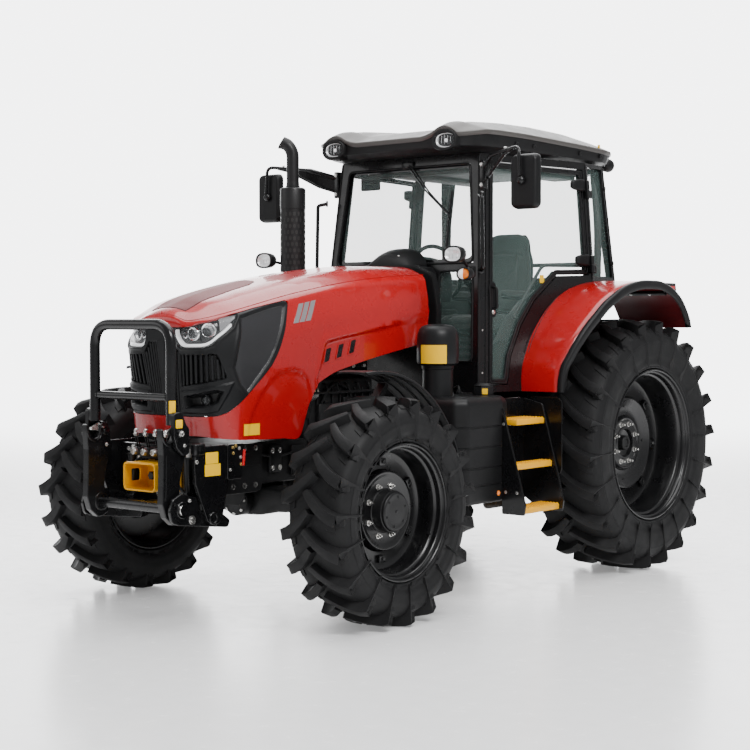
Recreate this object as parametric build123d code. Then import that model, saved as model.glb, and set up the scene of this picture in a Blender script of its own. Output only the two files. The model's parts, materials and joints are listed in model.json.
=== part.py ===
"""Farm tractor with cab, front linkage with guard, and rear three-point linkage.
Front of the machine is -Y, its left side is +X, up is +Z, ground at Z = 0, millimetres."""
from build123d import *
import os
from math import sin, cos, radians, pi, sqrt, atan2, degrees

os.makedirs("parts", exist_ok=True)

# ---------------------------------------------------------------- driving dimensions
WHEELBASE = 2676.0
YF, YR = -WHEELBASE / 2, WHEELBASE / 2          # front and rear axle
RF, RR = 632.0, 846.0                           # tyre radius, front and rear (at the lug tops)
FT_X, RT_X = 1005.0, 940.0                      # wheel centre from the middle plane
FT_W, RT_W = 400.0, 520.0                       # tyre width
F_RIM_R, R_RIM_R = 381.0, 508.0                 # rim flange radius
F_RIM_W, R_RIM_W = 340.0, 480.0                 # rim width over the flanges
KING_X = 760.0                                  # steering pivot from the middle plane
HOOD_PIV = (-150.0, 1985.0)                     # y, z of the bonnet hinge
GUARD_Y = -2257.0
L_HALF = 2345.0                                 # half of the overall length
ARM_PIV = (-2230.0, 665.0)                      # y, z of the front arms' pivot

CAB_FLOOR_Z, CAB_ROOF_Z = 1255.0, 2755.0


# ---------------------------------------------------------------- helpers
def box(x0, x1, y0, y1, z0, z1):
    return Pos((x0 + x1) / 2, (y0 + y1) / 2, (z0 + z1) / 2) * Box(abs(x1 - x0), abs(y1 - y0), abs(z1 - z0))


def face(pts):
    return Face(Wire.make_polygon([Vector(*p) for p in pts], close=True))


def prism_x(yz, x0, x1):
    return Solid.extrude(face([(x0, y, z) for y, z in yz]), Vector(x1 - x0, 0, 0))


def prism_y(xz, y0, y1):
    return Solid.extrude(face([(x, y0, z) for x, z in xz]), Vector(0, y1 - y0, 0))


def prism_z(xy, z0, z1):
    return Solid.extrude(face([(x, y, z0) for x, y in xy]), Vector(0, 0, z1 - z0))


def cyl(p, q, r):
    """Round bar from p to q."""
    a, b = Vector(*p), Vector(*q)
    return Plane(origin=a, z_dir=(b - a)).location * Cylinder(r, (b - a).length, align=(Align.CENTER, Align.CENTER, Align.MIN))


def bar(p, q, w, h, roll=(1, 0, 0)):
    """Square bar from p to q; w along roll, h across it."""
    a, b = Vector(*p), Vector(*q)
    pl = Plane(origin=a, z_dir=(b - a), x_dir=Vector(*roll) - (b - a).normalized() * Vector(*roll).dot((b - a).normalized()))
    return pl.location * Box(w, h, (b - a).length, align=(Align.CENTER, Align.CENTER, Align.MIN))


def ring_x(x, profile, y, z):
    """Turned part about an axle along X. profile is (offset from x, radius)."""
    pts = [(x + dx, y + r, z) for dx, r in profile]
    return Solid.revolve(face(pts), 360, Axis((0, y, z), (1, 0, 0)))


def mirror_x(s):
    return s.mirror(Plane.YZ)


def mesh_solid(verts, faces):
    """Closed flat-faced solid from a vertex table and face index lists, each face cut into triangles."""
    fs = []
    for f in faces:
        for i in range(1, len(f) - 1):
            tri = [verts[f[0]], verts[f[i]], verts[f[i + 1]]]
            a, b, c = (Vector(*p) for p in tri)
            if (b - a).cross(c - a).length > 1e-3:
                fs.append(face(tri))
    return Solid(Shell(fs))


def skin(sections):
    """Solid through closed sections that all have the same number of points."""
    n = len(sections[0])
    verts = [p for s in sections for p in s]
    faces = []
    for k in range(len(sections) - 1):
        for i in range(n):
            j = (i + 1) % n
            quad = [k * n + i, k * n + j, (k + 1) * n + j, (k + 1) * n + i]
            left = sum(verts[q][0] for q in quad) >= 0
            faces.append(quad if left else quad[1:] + quad[:1])      # split both sides alike
    c0, c1 = [sum(p[i] for p in sections[0]) / n for i in range(3)], [sum(p[i] for p in sections[-1]) / n for i in range(3)]
    verts += [tuple(c0), tuple(c1)]
    for i in range(n):
        j = (i + 1) % n
        faces.append([len(verts) - 2, j, i])
        faces.append([len(verts) - 1, (len(sections) - 1) * n + i, (len(sections) - 1) * n + j])
    return mesh_solid(verts, faces)


def fuse(*s):
    out = s[0]
    for k in s[1:]:
        out = out + k
    return out


def both(s):
    return [s, mirror_x(s)]


PARTS = {}


def put(name, *shapes):
    solids = []
    for s in shapes:
        for t in (s if isinstance(s, (list, tuple)) else [s]):
            solids += list(t.solids())
    PARTS[name] = Compound(solids) if len(solids) > 1 else solids[0]


# ---------------------------------------------------------------- wheels
def tyre_profile(R, W, rim_r, rim_w):
    h, hw = W / 2, rim_w / 2
    return [(-hw + 22, rim_r + 1), (-hw - 2, rim_r + 26), (-h - 0, (R + rim_r) / 2 + 10), (-h + 2, R - 85), (-h + 18, R - 38), (-h * 0.5, R - 6), (0, R),
            (h * 0.5, R - 6), (h - 18, R - 38), (h - 2, R - 85), (h, (R + rim_r) / 2 + 10), (hw + 2, rim_r + 26), (hw - 22, rim_r + 1),
            (hw - 22, rim_r - 18), (-hw + 22, rim_r - 18)]


def rim_solid(x, y, z, rim_r, rim_w, disc_x, disc_t=22):
    hw = rim_w / 2
    seat = rim_r - 18.3
    barrel = ring_x(x, [(-hw, rim_r), (-hw + 21.5, rim_r), (-hw + 21.5, seat), (hw - 21.5, seat), (hw - 21.5, rim_r), (hw, rim_r), (hw, rim_r - 20), (hw - 60, seat - 26), (-hw + 60, seat - 26), (-hw, rim_r - 20)], y, z)
    disc = cyl((disc_x - disc_t / 2, y, z), (disc_x + disc_t / 2, y, z), seat - 22)
    return fuse(barrel, disc)


f_rim = rim_solid(FT_X, YF, RF, F_RIM_R, F_RIM_W, 1020.0)
f_hub = fuse(cyl((905, YF, RF), (1009, YF, RF), 165), cyl((1031, YF, RF), (1120, YF, RF), 118)) - cyl((900, YF, RF), (990, YF, RF), 40.05)
f_tyre = ring_x(FT_X, tyre_profile(RF, FT_W, F_RIM_R, F_RIM_W), YF, RF)
r_rim = rim_solid(RT_X, YR, RR, R_RIM_R, R_RIM_W, 930.0)
r_hub = fuse(cyl((620, YR, RR), (742, YR, RR), 60), cyl((742, YR, RR), (860, YR, RR), 90), cyl((860, YR, RR), (919, YR, RR), 205), cyl((941, YR, RR), (1010, YR, RR), 120))
r_tyre = ring_x(RT_X, tyre_profile(RR, RT_W, R_RIM_R, R_RIM_W), YR, RR)
for side, f in (("left", lambda s: s), ("right", mirror_x)):
    put(f"front_{side}_rim", f(fuse(f_rim, f_hub)))
    put(f"front_{side}_tyre", f(f_tyre))
    put(f"rear_{side}_rim", f(fuse(r_rim, r_hub)))
    put(f"rear_{side}_tyre", f(r_tyre))

# ---------------------------------------------------------------- steering knuckles with mudguards
FORK = [(KING_X - 62, YF - 62), (KING_X - 62, YF + 62), (846, YF + 80), (846, YF - 80)]
kn = fuse(
    box(845, 885, YF - 105, YF + 105, 480, 785),
    prism_z(FORK, 745, 785), prism_z(FORK, 480, 519),
    cyl((KING_X, YF, 500), (KING_X, YF, 765), 25),
    cyl((884, YF, RF), (904, YF, RF), 85), cyl((884, YF, RF), (985, YF, RF), 40))
ARC = [-7, 8, 24, 40, 56, 72, 88]               # mudguard stations, degrees from straight up, front to rear


def fender_arc(r0, r1, x0, x1):
    out = [(YF + r1 * sin(radians(a)), RF + r1 * cos(radians(a))) for a in ARC]
    inn = [(YF + r0 * sin(radians(a)), RF + r0 * cos(radians(a))) for a in ARC]
    return prism_x(out + inn[::-1], x0, x1)


f_fender = fender_arc(752, 772, 742, 1010)
under = prism_x([(YF + 751.7 * sin(radians(t)), RF + 751.7 * cos(radians(t))) for t in ARC] + [(YF + 751, 500), (YF - 250, 500)], 700, 900)
f_stay = fuse(box(800, 846, YF + 40, YF + 90, 784, 830), prism_x([(YF + 40, 790), (YF + 90, 790), (YF + 200, 1130), (YF + 318, 1310), (YF + 292, 1326), (YF + 150, 1150)], 744, 802)) & under
for side, f in (("left", lambda s: s), ("right", mirror_x)):
    put(f"front_{side}_knuckle", f(fuse(kn, f_stay)))
    put(f"front_{side}_mudguard", f(f_fender))

# ---------------------------------------------------------------- chassis, engine, axles
put("front_axle_beam", fuse(
    prism_y([(-740, 560), (740, 560), (740, 704), (250, 724), (-250, 724), (-740, 704)], YF - 70, YF + 70),
    cyl((KING_X, YF, 523), (KING_X, YF, 741), 70), cyl((-KING_X, YF, 523), (-KING_X, YF, 741), 70),
    cyl((0, YF - 150, 632), (0, YF + 150, 632), 98)) - cyl((KING_X, YF, 400), (KING_X, YF, 900), 25.05) - cyl((-KING_X, YF, 400), (-KING_X, YF, 900), 25.05))
put("front_frame", fuse(
    box(-270, 270, -1985, -1510, 700, 985), box(-235, 235, -1511, -1100, 735, 985), box(-120, 120, -1511, -1490, 600, 736), box(-120, 120, -1186, -1160, 600, 736)))
put("engine_block", box(-235, 235, -1099, -420, 640, 1500))
put("transmission_housing", fuse(
    box(-240, 240, -419, 500, 560, 1020), box(-300, 300, 499, 1560, 560, 1080),
    cyl((-700, YR, RR), (700, YR, RR), 115)) - cyl((610, YR, RR), (710, YR, RR), 60.06) - cyl((-710, YR, RR), (-610, YR, RR), 60.06))

# ---------------------------------------------------------------- bonnet
# y, top z at middle, (x, z) of the crown, shoulder, waist and hem
HOOD = [
    (-150, 2030, (250, 2018), (385, 1958), (424, 1760), (420, 1545)),
    (-600, 2022, (250, 2008), (390, 1925), (428, 1740), (424, 1455)),
    (-1100, 1962, (250, 1946), (394, 1862), (430, 1700), (426, 1345)),
    (-1300, 1930, (250, 1912), (394, 1828), (430, 1680), (428, 1150)),
    (-1365, 1917, (250, 1899), (394, 1815), (430, 1670), (428, 1010)),
    (-1700, 1846, (250, 1824), (392, 1744), (430, 1600), (424, 1016)),
    (-1880, 1796, (238, 1774), (372, 1702), (412, 1560), (408, 1022)),
    (-2000, 1748, (200, 1730), (318, 1672), (352, 1540), (345, 1028)),
    (-2070, 1700, (130, 1688), (225, 1640), (240, 1520), (232, 1040)),
]


def hood_sections(dx, dz, dy, extra_bottom):
    out = []
    for k, (y, zt, a, s, w, b) in enumerate(HOOD):
        yy = y + (dy if k == len(HOOD) - 1 else 0) + (100 if k == 0 and extra_bottom else 0)
        rake = {-1880: 0.05, -2000: 0.10, -2070: 0.14}.get(y, 0.0)
        half = [(a[0] - dx * 0.6, a[1] - dz), (s[0] - dx, s[1] - dz * 0.8), (w[0] - dx, w[1]), (b[0] - dx, b[1] - extra_bottom)]
        pts = [(0, zt - dz)] + half + [(-x, z) for x, z in half[::-1]]
        pts = [(x, yy + rake * (zt - z), z) for x, z in pts]
        out.append(pts)
    return out


outer = skin(hood_sections(0, 0, 0, 0))
inner = skin(hood_sections(14, 14, 16, 120))
shell = outer - inner
MASK = [(-2300, 1640), (-1860, 1716), (-1445, 1800), (-1550, 1480), (-1605, 1425), (-1890, 1195), (-2000, 1150), (-2300, 1128)]
mask_cut = prism_x(MASK, -600, 600)
lamp_cut = fuse(*both(prism_x([(-2300, 1555), (-2060, 1560), (-1970, 1590), (-1835, 1650), (-1812, 1705), (-1840, 1760), (-2300, 1660)], 165, 600))) & mask_cut
pivots = both(fuse(cyl((180, *HOOD_PIV), (246, *HOOD_PIV), 10), prism_x([(-158, 1976), (-142, 1976), (-160, 2040), (-205, 2040)], 238, 262) & inner))
put("bonnet_shell", fuse(shell - mask_cut, *pivots))
put("front_grille_mask", (shell & mask_cut) - lamp_cut)
put("headlights", shell & lamp_cut)

# ---------------------------------------------------------------- front linkage and guard
PLATE = [(-1905, 1000), (-2130, 1000), (-2166, 925), (-2155, 800), (-2106, 684), (-2066, 592), (-2013, 562), (-1965, 580), (-1945, 624), (-1905, 800)]
FOOT = [(-1867, 577), (-1885, 539), (-2255, 583), (-2305, 600), (-2322, 660), (-2300, 725), (-2240, 752), (-2170, 735), (-2080, 718), (-1960, 640)]
VALVE = [(-1925, 1002), (-1797, 1002), (-1815, 807), (-1926, 806)]
put("front_linkage_frame", fuse(
    *both(prism_x(PLATE, 365, 390)),
    *both(prism_x(FOOT, 345, 366)),
    *both(prism_x(VALVE, 389, 402)),
    *both(box(366, 408, -2175, -2095, 955, 1017)),
    box(-366, 366, -2020, -1986, 700, 985),
    *both(box(270, 366, -1984, -1910, 760, 960)),
    cyl((-366, -2060, 645), (366, -2060, 645), 35)) - cyl((-500, *ARM_PIV), (500, *ARM_PIV), 30.05))
GR = 30.0
LUG = [(-2287, 1190), (-2227, 1190), (-2200, 1125), (-2175.3, 1100), (-2175.3, 960), (-2222, 955), (-2268, 1000), (-2287, 1060)]
put("front_guard", fuse(
    cyl((-311, GUARD_Y, 1135), (-311, GUARD_Y, 1571), GR), cyl((311, GUARD_Y, 1135), (311, GUARD_Y, 1571), GR),
    cyl((-223, GUARD_Y, 1659), (223, GUARD_Y, 1659), GR),
    cyl((-311, GUARD_Y, 1571), (-285, GUARD_Y, 1633), GR), cyl((311, GUARD_Y, 1571), (285, GUARD_Y, 1633), GR),
    cyl((-285, GUARD_Y, 1633), (-223, GUARD_Y, 1659), GR), cyl((285, GUARD_Y, 1633), (223, GUARD_Y, 1659), GR),
    *[Pos(sx * x, GUARD_Y, z) * Sphere(GR) for sx in (-1, 1) for x, z in ((311, 1571), (285, 1633), (223, 1659))],
    cyl((-311, GUARD_Y, 1267), (311, GUARD_Y, 1267), 22),
    *both(fuse(prism_x(LUG, 335, 365), box(311, 365, -2287, -2227, 1135, 1190)))))
pto_out = fillet(box(-128, 128, -2212, -2021, 742, 897).edges().filter_by(Axis.Y), 24)
pto_in = fillet(box(-120, 120, -2230, -2040, 750, 889).edges().filter_by(Axis.Y), 16)
put("front_pto_guard", pto_out - pto_in - box(-140, 140, -2160, -2090, 785, 855))
put("front_couplers", *[fuse(box(-150 + 80 * i, -100 + 80 * i, -2120, -2021, 925, 975), cyl((-125 + 80 * i, -2121, 950), (-125 + 80 * i, -2150, 950), 20), cyl((-125 + 80 * i, -2100, 974), (-125 + 80 * i, -2125, 1060), 9), Pos(-125 + 80 * i, -2125, 1060) * Sphere(15)) for i in range(4)])
ARM = [(-2225, 584), (-2262, 582), (-2315, 626), (-2340, 700), (-2335, 800), (-2333, 964), (-2340, 1040), (-2345, 1100), (-2330, 1106), (-2322, 1060),
       (-2311, 1034), (-2283, 1022), (-2255, 1034), (-2243, 1062), (-2243, 1095), (-2225, 1118), (-2195, 1110), (-2172, 1070), (-2165, 1000), (-2177, 929),
       (-2207, 832), (-2215, 750), (-2175, 700), (-2168, 655), (-2190, 605)]
put("front_lift_arms", fuse(*both(prism_x(ARM, 283, 328)), cyl((-385, *ARM_PIV), (385, *ARM_PIV), 30)))

# ---------------------------------------------------------------- left side: canister, tank, steps; right side: tool box, exhaust
put("fuel_tank", fuse(
    prism_z([(430, -450), (840, -450), (905, -380), (905, -30), (870, 75), (430, 75)], 560, 1215),
    box(240, 431, -300, -220, 640, 760), cyl((750, -20, 1214), (750, -20, 1290), 62)))
put("tool_box", fuse(
    prism_z([(-430, -450), (-840, -450), (-905, -380), (-905, -30), (-870, 75), (-430, 75)], 600, 1180),
    box(-431, -240, -300, -220, 660, 760)))
put("side_canister", fuse(cyl((620, -320, 1215.3), (620, -320, 1590), 130), cyl((620, -320, 1589), (620, -320, 1660), 95)))
frames, treads = [], []
for side, f in (("left", lambda s: s), ("right", mirror_x)):
    ladder = fuse(
        prism_y([(905.3, 480), (1075, 480), (1085, 540), (905.3, 1150)], -40, -28),
        prism_y([(760, 560), (905, 470), (1075, 470), (1085, 540), (920, 1150), (760, 1190)], 385, 399),
        box(760, 775, 76, 386, 700, 1190))
    frames += [f(ladder)]
    treads += [f(box(x0, x1, -27.9, 384.9, z, z + 45) if x0 > 905 else box(x0, x1, 76, 384.9, z, z + 45)) for x0, x1, z in ((910, 1055, 485), (910, 1000, 755), (776, 940, 1025))]
put("step_frames", *frames)
put("step_treads", *treads)
# exhaust with perforated guard
put("exhaust_stack", fuse(
    cyl((-610, -300, 1500), (-610, -300, 1560), 60), cyl((-610, -300, 1559), (-610, -300, 2560), 85), cyl((-610, -300, 2559), (-610, -300, 2760), 42),
    cyl((-610, -300, 2760), (-625, -318, 2820), 42), Pos(-610, -300, 2760) * Sphere(42), Pos(-625, -318, 2820) * Sphere(42), cyl((-625, -318, 2820), (-668, -345, 2865), 42),
    bar((-240, -300, 1470), (-660, -300, 1470), 90, 60, (0, 1, 0))))

# ---------------------------------------------------------------- cab
def S(y, z):
    """Outer face of the cab side, as x."""
    return 618 + 0.145 * (y - 60) - 0.08 * (z - 2050)


def Q(y, z):
    """Outer face of the rear quarter, as x."""
    return 789.7 - 0.1203 * (y - 1190) - 0.08 * (z - 1952)


def yA(z):
    """Front face of the cab, as y."""
    return 30 + (z - 1260) * 0.0946


def yC(z):
    """Rear face of the cab above the mudguards, as y."""
    return 1548 - (z - 1952) * 0.105


def slab(fx, yz, off0, off1):
    return Solid.extrude(face([(fx(y, z) + off0, y, z) for y, z in yz]), Vector(off1 - off0, 0, 0))


def slab_y(fy, xz, off0, off1):
    return Solid.extrude(face([(x, fy(z) + off0, z) for x, z in xz]), Vector(0, off1 - off0, 0))


def inset(pts, d):
    """Polygon moved inward by d (outward when d is negative)."""
    n = len(pts)
    area = sum(pts[i][0] * pts[(i + 1) % n][1] - pts[(i + 1) % n][0] * pts[i][1] for i in range(n))
    sgn = 1 if area > 0 else -1
    lines = []
    for i in range(n):
        (x0, y0), (x1, y1) = pts[i], pts[(i + 1) % n]
        L = sqrt((x1 - x0) ** 2 + (y1 - y0) ** 2)
        nx, ny = -(y1 - y0) / L * sgn, (x1 - x0) / L * sgn
        lines.append((x0 + nx * d, y0 + ny * d, x1 - x0, y1 - y0))
    out = []
    for i in range(n):
        x0, y0, ux, uy = lines[i - 1]
        x1, y1, vx, vy = lines[i]
        t = ((x1 - x0) * vy - (y1 - y0) * vx) / (ux * vy - uy * vx)
        out.append((x0 + ux * t, y0 + uy * t))
    return out


MUD = [(420, 1225), (425, 1300), (470, 1450), (600, 1650), (780, 1812), (1000, 1912), (1220, 1952), (1450, 1950), (1660, 1880), (1800, 1760), (1870, 1640)]
DOOR = [(124, 1275), (290, 1275), (335, 1450), (450, 1650), (590, 1810), (730, 1912), (830, 1985), (1150, 1995), (1150, 2700), (258, 2700)]
SIDE = [(yA(1225), 1225)] + [(y, z) for y, z in MUD[:6]] + [(1190, 1946.8), (1190, 2755), (yA(2755), 2755)]
QUARTER = [(1189, 1952), (yC(1952), 1952), (yC(2755), 2755), (1189, 2755)]
side_ring = slab(S, SIDE, -50, 0) - slab(S, inset(DOOR, -7), -60, 10)
quarter_open = inset(QUARTER, 28)
quarter_ring = slab(Q, QUARTER, -50, 0) - slab(Q, quarter_open, -60, 10)
wall = prism_x([(400, 1226), (415, 1290), (425, 1300), (470, 1450), (600, 1650), (780, 1812), (1000, 1912), (1220, 1952), (1450, 1950), (1520, 1927), (1520, 1226)], 600, 620)
front_out = [(-S(yA(1226), 1226), 1226), (S(yA(1226), 1226), 1226), (S(yA(2755), 2755), 2755), (-S(yA(2755), 2755), 2755)]
SCREEN = [(-575, 2050), (575, 2050), (508, 2690), (-508, 2690)]
LOW_SCREEN = [(310, 1420), (612, 1420), (578, 2000), (310, 2000)]
front_slab = slab_y(yA, front_out, 0, 50) - slab_y(yA, SCREEN, -10, 60) - slab_y(yA, LOW_SCREEN, -10, 60) - slab_y(yA, [(-x, z) for x, z in LOW_SCREEN], -10, 60)
rear_out = [(-750, 1952), (750, 1952), (Q(yC(2755), 2755), 2755), (-Q(yC(2755), 2755), 2755)]
REAR_WIN = [(-690, 1990), (690, 1990), (622, 2700), (-622, 2700)]
rear_slab = slab_y(yC, rear_out, -27, 0) - slab_y(yC, REAR_WIN, -60, 10)
cab_shell = fuse(
    box(-610, 610, 60, 1500, 1226, 1256), box(-690, 690, 60, 420, 1226, 1256),
    front_slab, *both(side_ring), *both(quarter_ring), *both(wall), rear_slab,
    box(-610, 610, 1470, 1520, 1226, 1953),
    *both(box(180, 239, 200, 330, 1020, 1227)), *both(box(180, 299, 1300, 1430, 1080, 1227)))
put("windscreen", slab_y(yA, inset(SCREEN, 0.5), 20, 26), *both(slab_y(yA, inset(LOW_SCREEN, 0.5), 20, 26)))
put("quarter_windows", *both(slab(Q, inset(quarter_open, 0.5), -26, -20)))
put("rear_window", slab_y(yC, inset(REAR_WIN, 0.5), -26, -20))

ROOF = [                                        # z, half width front, half width rear, y front, y rear
    (2756, 600, 600, 60, 1690), (2800, 640, 640, -20, 1735), (2870, 705, 700, -50, 1740), (2935, 690, 680, -20, 1715), (2975, 600, 590, 90, 1600), (3000, 420, 420, 300, 1400)]
ROOF_IN = [(2800, 560, 560, 90, 1600), (2865, 640, 640, 40, 1660), (2930, 610, 610, 60, 1630), (2965, 420, 420, 300, 1400)]


def roof_skin(rows, sink):
    out = []
    for z, xf, xr, yf, yr in rows:
        c, k = 0.25 * xf, sink * max(0.0, (z - 2800) / 200)          # the top falls towards the front
        drop = lambda y: k * (1 - (y - yf) / (yr - yf))
        out.append([(x, y, z - drop(y)) for x, y in ((xf, yf + c), (xr, yr - c), (xr - c, yr), (-xr + c, yr), (-xr, yr - c), (-xf, yf + c), (-xf + c, yf), (xf - c, yf))])
    return skin(out)


roof = roof_skin(ROOF, 40)
put("cab_roof", roof - roof_skin(ROOF_IN, 40) - box(-500, 500, 250, 1500, 2700, 2805))

# doors: glass in a slim frame, hung on the pillar behind
door_in = inset(DOOR, 24)
door_frame = slab(S, DOOR, -34, 0) - slab(S, door_in, -50, 10)
AX0, AX1 = (S(1159, 1990) + 30, 1159.0, 1990.0), (S(1159, 2700) + 30, 1159.0, 2700.0)


def on_axis(z):
    t = (z - AX0[2]) / (AX1[2] - AX0[2])
    return tuple(a + (b - a) * t for a, b in zip(AX0, AX1))


door_hinges = [fuse(cyl(on_axis(z), on_axis(z + 60), 14), prism_z([(on_axis(z)[0] - 8, on_axis(z)[1] + 4), (on_axis(z)[0] - 8, on_axis(z)[1] - 60), (S(on_axis(z)[1] - 60, z) - 4, on_axis(z)[1] - 60), (S(on_axis(z)[1], z) - 4, on_axis(z)[1] - 14)], z + 4, z + 56)) for z in (2061, 2571)]
cab_hinges = [fuse(cyl(on_axis(z), on_axis(z + 60), 14), prism_z([(on_axis(z)[0] - 8, on_axis(z)[1] - 4), (on_axis(z)[0] - 8, on_axis(z)[1] + 60), (S(on_axis(z)[1] + 60, z) - 6, on_axis(z)[1] + 60), (S(on_axis(z)[1] + 14, z) - 6, on_axis(z)[1] + 14)], z + 4, z + 56)) for z in (2000, 2510)]
for side, f in (("left", lambda s: s), ("right", mirror_x)):
    put(f"{side}_door_frame", f(fuse(door_frame, *door_hinges)))
    put(f"{side}_door_glass", f(slab(S, inset(DOOR, 24.5), -22, -16)))
put("cab_frame", fuse(cab_shell, *[g for h in cab_hinges for g in both(h - slab(S, [(1050, 1900), (1450, 1900), (1450, 2800), (1050, 2800)], -60, -2))]))

# rear mudguards
mud_in = inset(MUD + [(1338, 846)], 12)[:len(MUD)]
mud_in[0] = (432, 1225); mud_in[-1] = (1859, 1634)
lip_in = inset(MUD + [(1338, 846)], 60)[:len(MUD)]
lip_in[0] = (480, 1225); lip_in[-1] = (1812, 1608)
PLAN = [(620, 400), (1005, 400), (1022, 440), (1075, 530), (1125, 680), (1150, 860), (1150, 1900), (620, 1900)]     # x, y seen from above
plan_in = prism_z(PLAN, 1200, 2000)
plan_out = prism_z([(700, 400), (1037, 400), (1054, 440), (1108, 530), (1159, 680), (1186, 860), (1186, 1900), (700, 1900)], 1200, 2000)
put("rear_mudguards", *both(prism_x(MUD + mud_in[::-1], 620, 1150) & plan_in))
put("rear_mudguard_lips", *both((prism_x(MUD + lip_in[::-1], 700, 1200) & plan_out) - plan_in))

# front cowl behind the bonnet
COWL = [(-400, 1500), (-432, 1560), (-436, 1770), (-398, 1975), (-255, 2036), (0, 2048), (255, 2036), (398, 1975), (436, 1770), (432, 1560), (400, 1500)]
CORE = [(-285, 1500), (-290, 1980), (-255, 2030), (0, 2040), (255, 2030), (290, 1980), (285, 1500)]
DOME = [(-212, 1990), (-210, 2030), (-188, 2075), (-148, 2115), (-92, 2146), (0, 2157), (92, 2146), (148, 2115), (188, 2075), (210, 2030), (212, 1990)]
dome = prism_y(DOME, -70, 200) & prism_x([(-70, 1985), (-70, 2035), (-40, 2080), (10, 2125), (60, 2150), (120, 2157), (130, 1985)], -220, 220)
cowl = fuse(prism_y(COWL, -90, -45) - prism_y(inset(COWL, 14), -76, -44), prism_y(CORE, -77, 200) - prism_y(inset(CORE, 14), -70, 250), dome) - slab_y(yA, [(-700, 1300), (700, 1300), (700, 2300), (-700, 2300)], 0, 300)
hinge_ears = both(box(200, 230, -168, -89, 1966, 1993) - cyl((190, *HOOD_PIV), (240, *HOOD_PIV), 10.05))
put("scuttle_cowl", fuse(cowl, *hinge_ears))

# lamps, mirrors, wipers, rails
put("side_lamps", *both(fuse(box(745, 855, -400, -320, 2030, 2130), bar((800, -330, 2075), (640, 30, 1990), 30, 20), box(672, 745, -185, -115, 1935, 2005))))
RAIL = [(700, 40, 2000), (690, 40, 2480)]
MIRROR = [(590, 150, 2664), (770, 35, 2718), (1058, -86, 2746), (1062, -86, 2543)]       # root, arm end, rod bend, knob
put("mirror_arms_and_handrails",
    *both(fuse(cyl(RAIL[0], RAIL[1], 13), cyl((700, 40, 2020), (619, 62, 2020), 13), cyl((690, 40, 2460), (592, 103, 2460), 13))),
    *both(fuse(cyl(MIRROR[0], MIRROR[1], 22), cyl(MIRROR[1], MIRROR[2], 11), cyl(MIRROR[2], MIRROR[3], 10), Pos(*MIRROR[1]) * Sphere(22), Pos(*MIRROR[2]) * Sphere(11), cyl((1062, -96, 2543), (1062, -60.3, 2543), 16))))
put("mirror_heads", *both(box(972, 1166, -60, 0, 2361, 2698)))
put("work_lamps", *both(box(400, 530, -60, 20, 2765, 2860) - roof), *both(cyl((560, 1690, 2790), (560, 1775, 2790), 48) - roof))
put("tail_lamps", *both(box(860, 1060, 1700, 1865, 1845, 1945) - prism_x(MUD + [(1338, 846)], 500, 1200)))
put("wipers", fuse(bar((0, 160, 2700), (-120, 95, 2200), 14, 10)))

# inside the cab
put("operator_seat_base", fuse(box(-230, 230, 760, 1180, 1256.3, 1300), box(-170, 170, 800, 1140, 1299, 1590)))
put("operator_seat", fuse(box(-250, 250, 760, 1240, 1590.3, 1720), prism_x([(1170, 1719), (1290, 1719), (1370, 2320), (1270, 2320)], -245, 245)))
column = fuse(box(-60, 60, 200, 330, 1256, 1905), bar((0, 300, 1935), (0, 449, 1992), 80, 80))
wheel_pl = Plane(origin=(0, 480, 2005), z_dir=Vector(0, 139, 53))
put("steering_wheel", fuse(wheel_pl.location * Torus(190, 14), wheel_pl.location * Cylinder(40, 30), *[wheel_pl.location * (Rot(0, 0, a) * Pos(95, 0, 0) * Box(190, 26, 12)) for a in (90, 210, 330)]))
put("dashboard", fuse(prism_x([(165, 1800), (330, 1860), (300, 2090), (165, 2110)], -270, 270), column))
put("side_console", *[box(-560, -330, 600, 1250, 1256.3, 1720)])

# ---------------------------------------------------------------- rear linkage
LA, LC = (1620.0, 520.0), (1978.0, 558.0)
LB, LD = (1600.0, 1120.0), (1958.0, 1158.0)
BALL = (2310.0, 599.0)
TL = (1640.0, 1000.0)                            # top link pin
put("rear_hitch_bracket", fuse(
    *both(box(255, 300, 1560, 1670, 440, 1180) - cyl((200, *LA), (400, *LA), 22.05) - cyl((200, *LB), (400, *LB), 32.06)),
    box(-60, 60, 1560, 1590, 440, 1060), box(-256, 256, 1560, 1580, 900, 1060), *both(box(26, 44, 1580, 1668, 965, 1035)), cyl((0, 1580, 700), (0, 1610, 700), 70), cyl((0, 1580, 700), (0, 1665, 700), 17.4)) - cyl((-80, *TL), (80, *TL), 12.05))
put("rear_lower_links", fuse(
    *both(prism_x([(LA[0] - 45, LA[1] - 30), (LA[0] - 30, LA[1] + 42), (LC[0], LC[1] + 45), (BALL[0] - 30, BALL[1] + 25), (BALL[0] - 25, BALL[1] - 25), (LC[0], LC[1] - 35), (LA[0], LA[1] - 45)], 415, 455)),
    *both(cyl((412, *BALL), (458, *BALL), 35)), cyl((-456, *LA), (456, *LA), 22)) - cyl((-500, *BALL), (500, *BALL), 14.35))
put("rear_lift_arms", fuse(
    *both(prism_x([(LB[0] - 50, LB[1] - 30), (LB[0] - 30, LB[1] + 50), (LD[0] - 40, LD[1] + 35), (LD[0] + 28, LD[1] + 28), (LD[0] + 32, LD[1] - 28), (LD[0] - 40, LD[1] - 32), (LB[0], LB[1] - 55)], 425, 455)),
    cyl((-454, *LB), (454, *LB), 32)) - cyl((-500, *LD), (500, *LD), 12.05))
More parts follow.
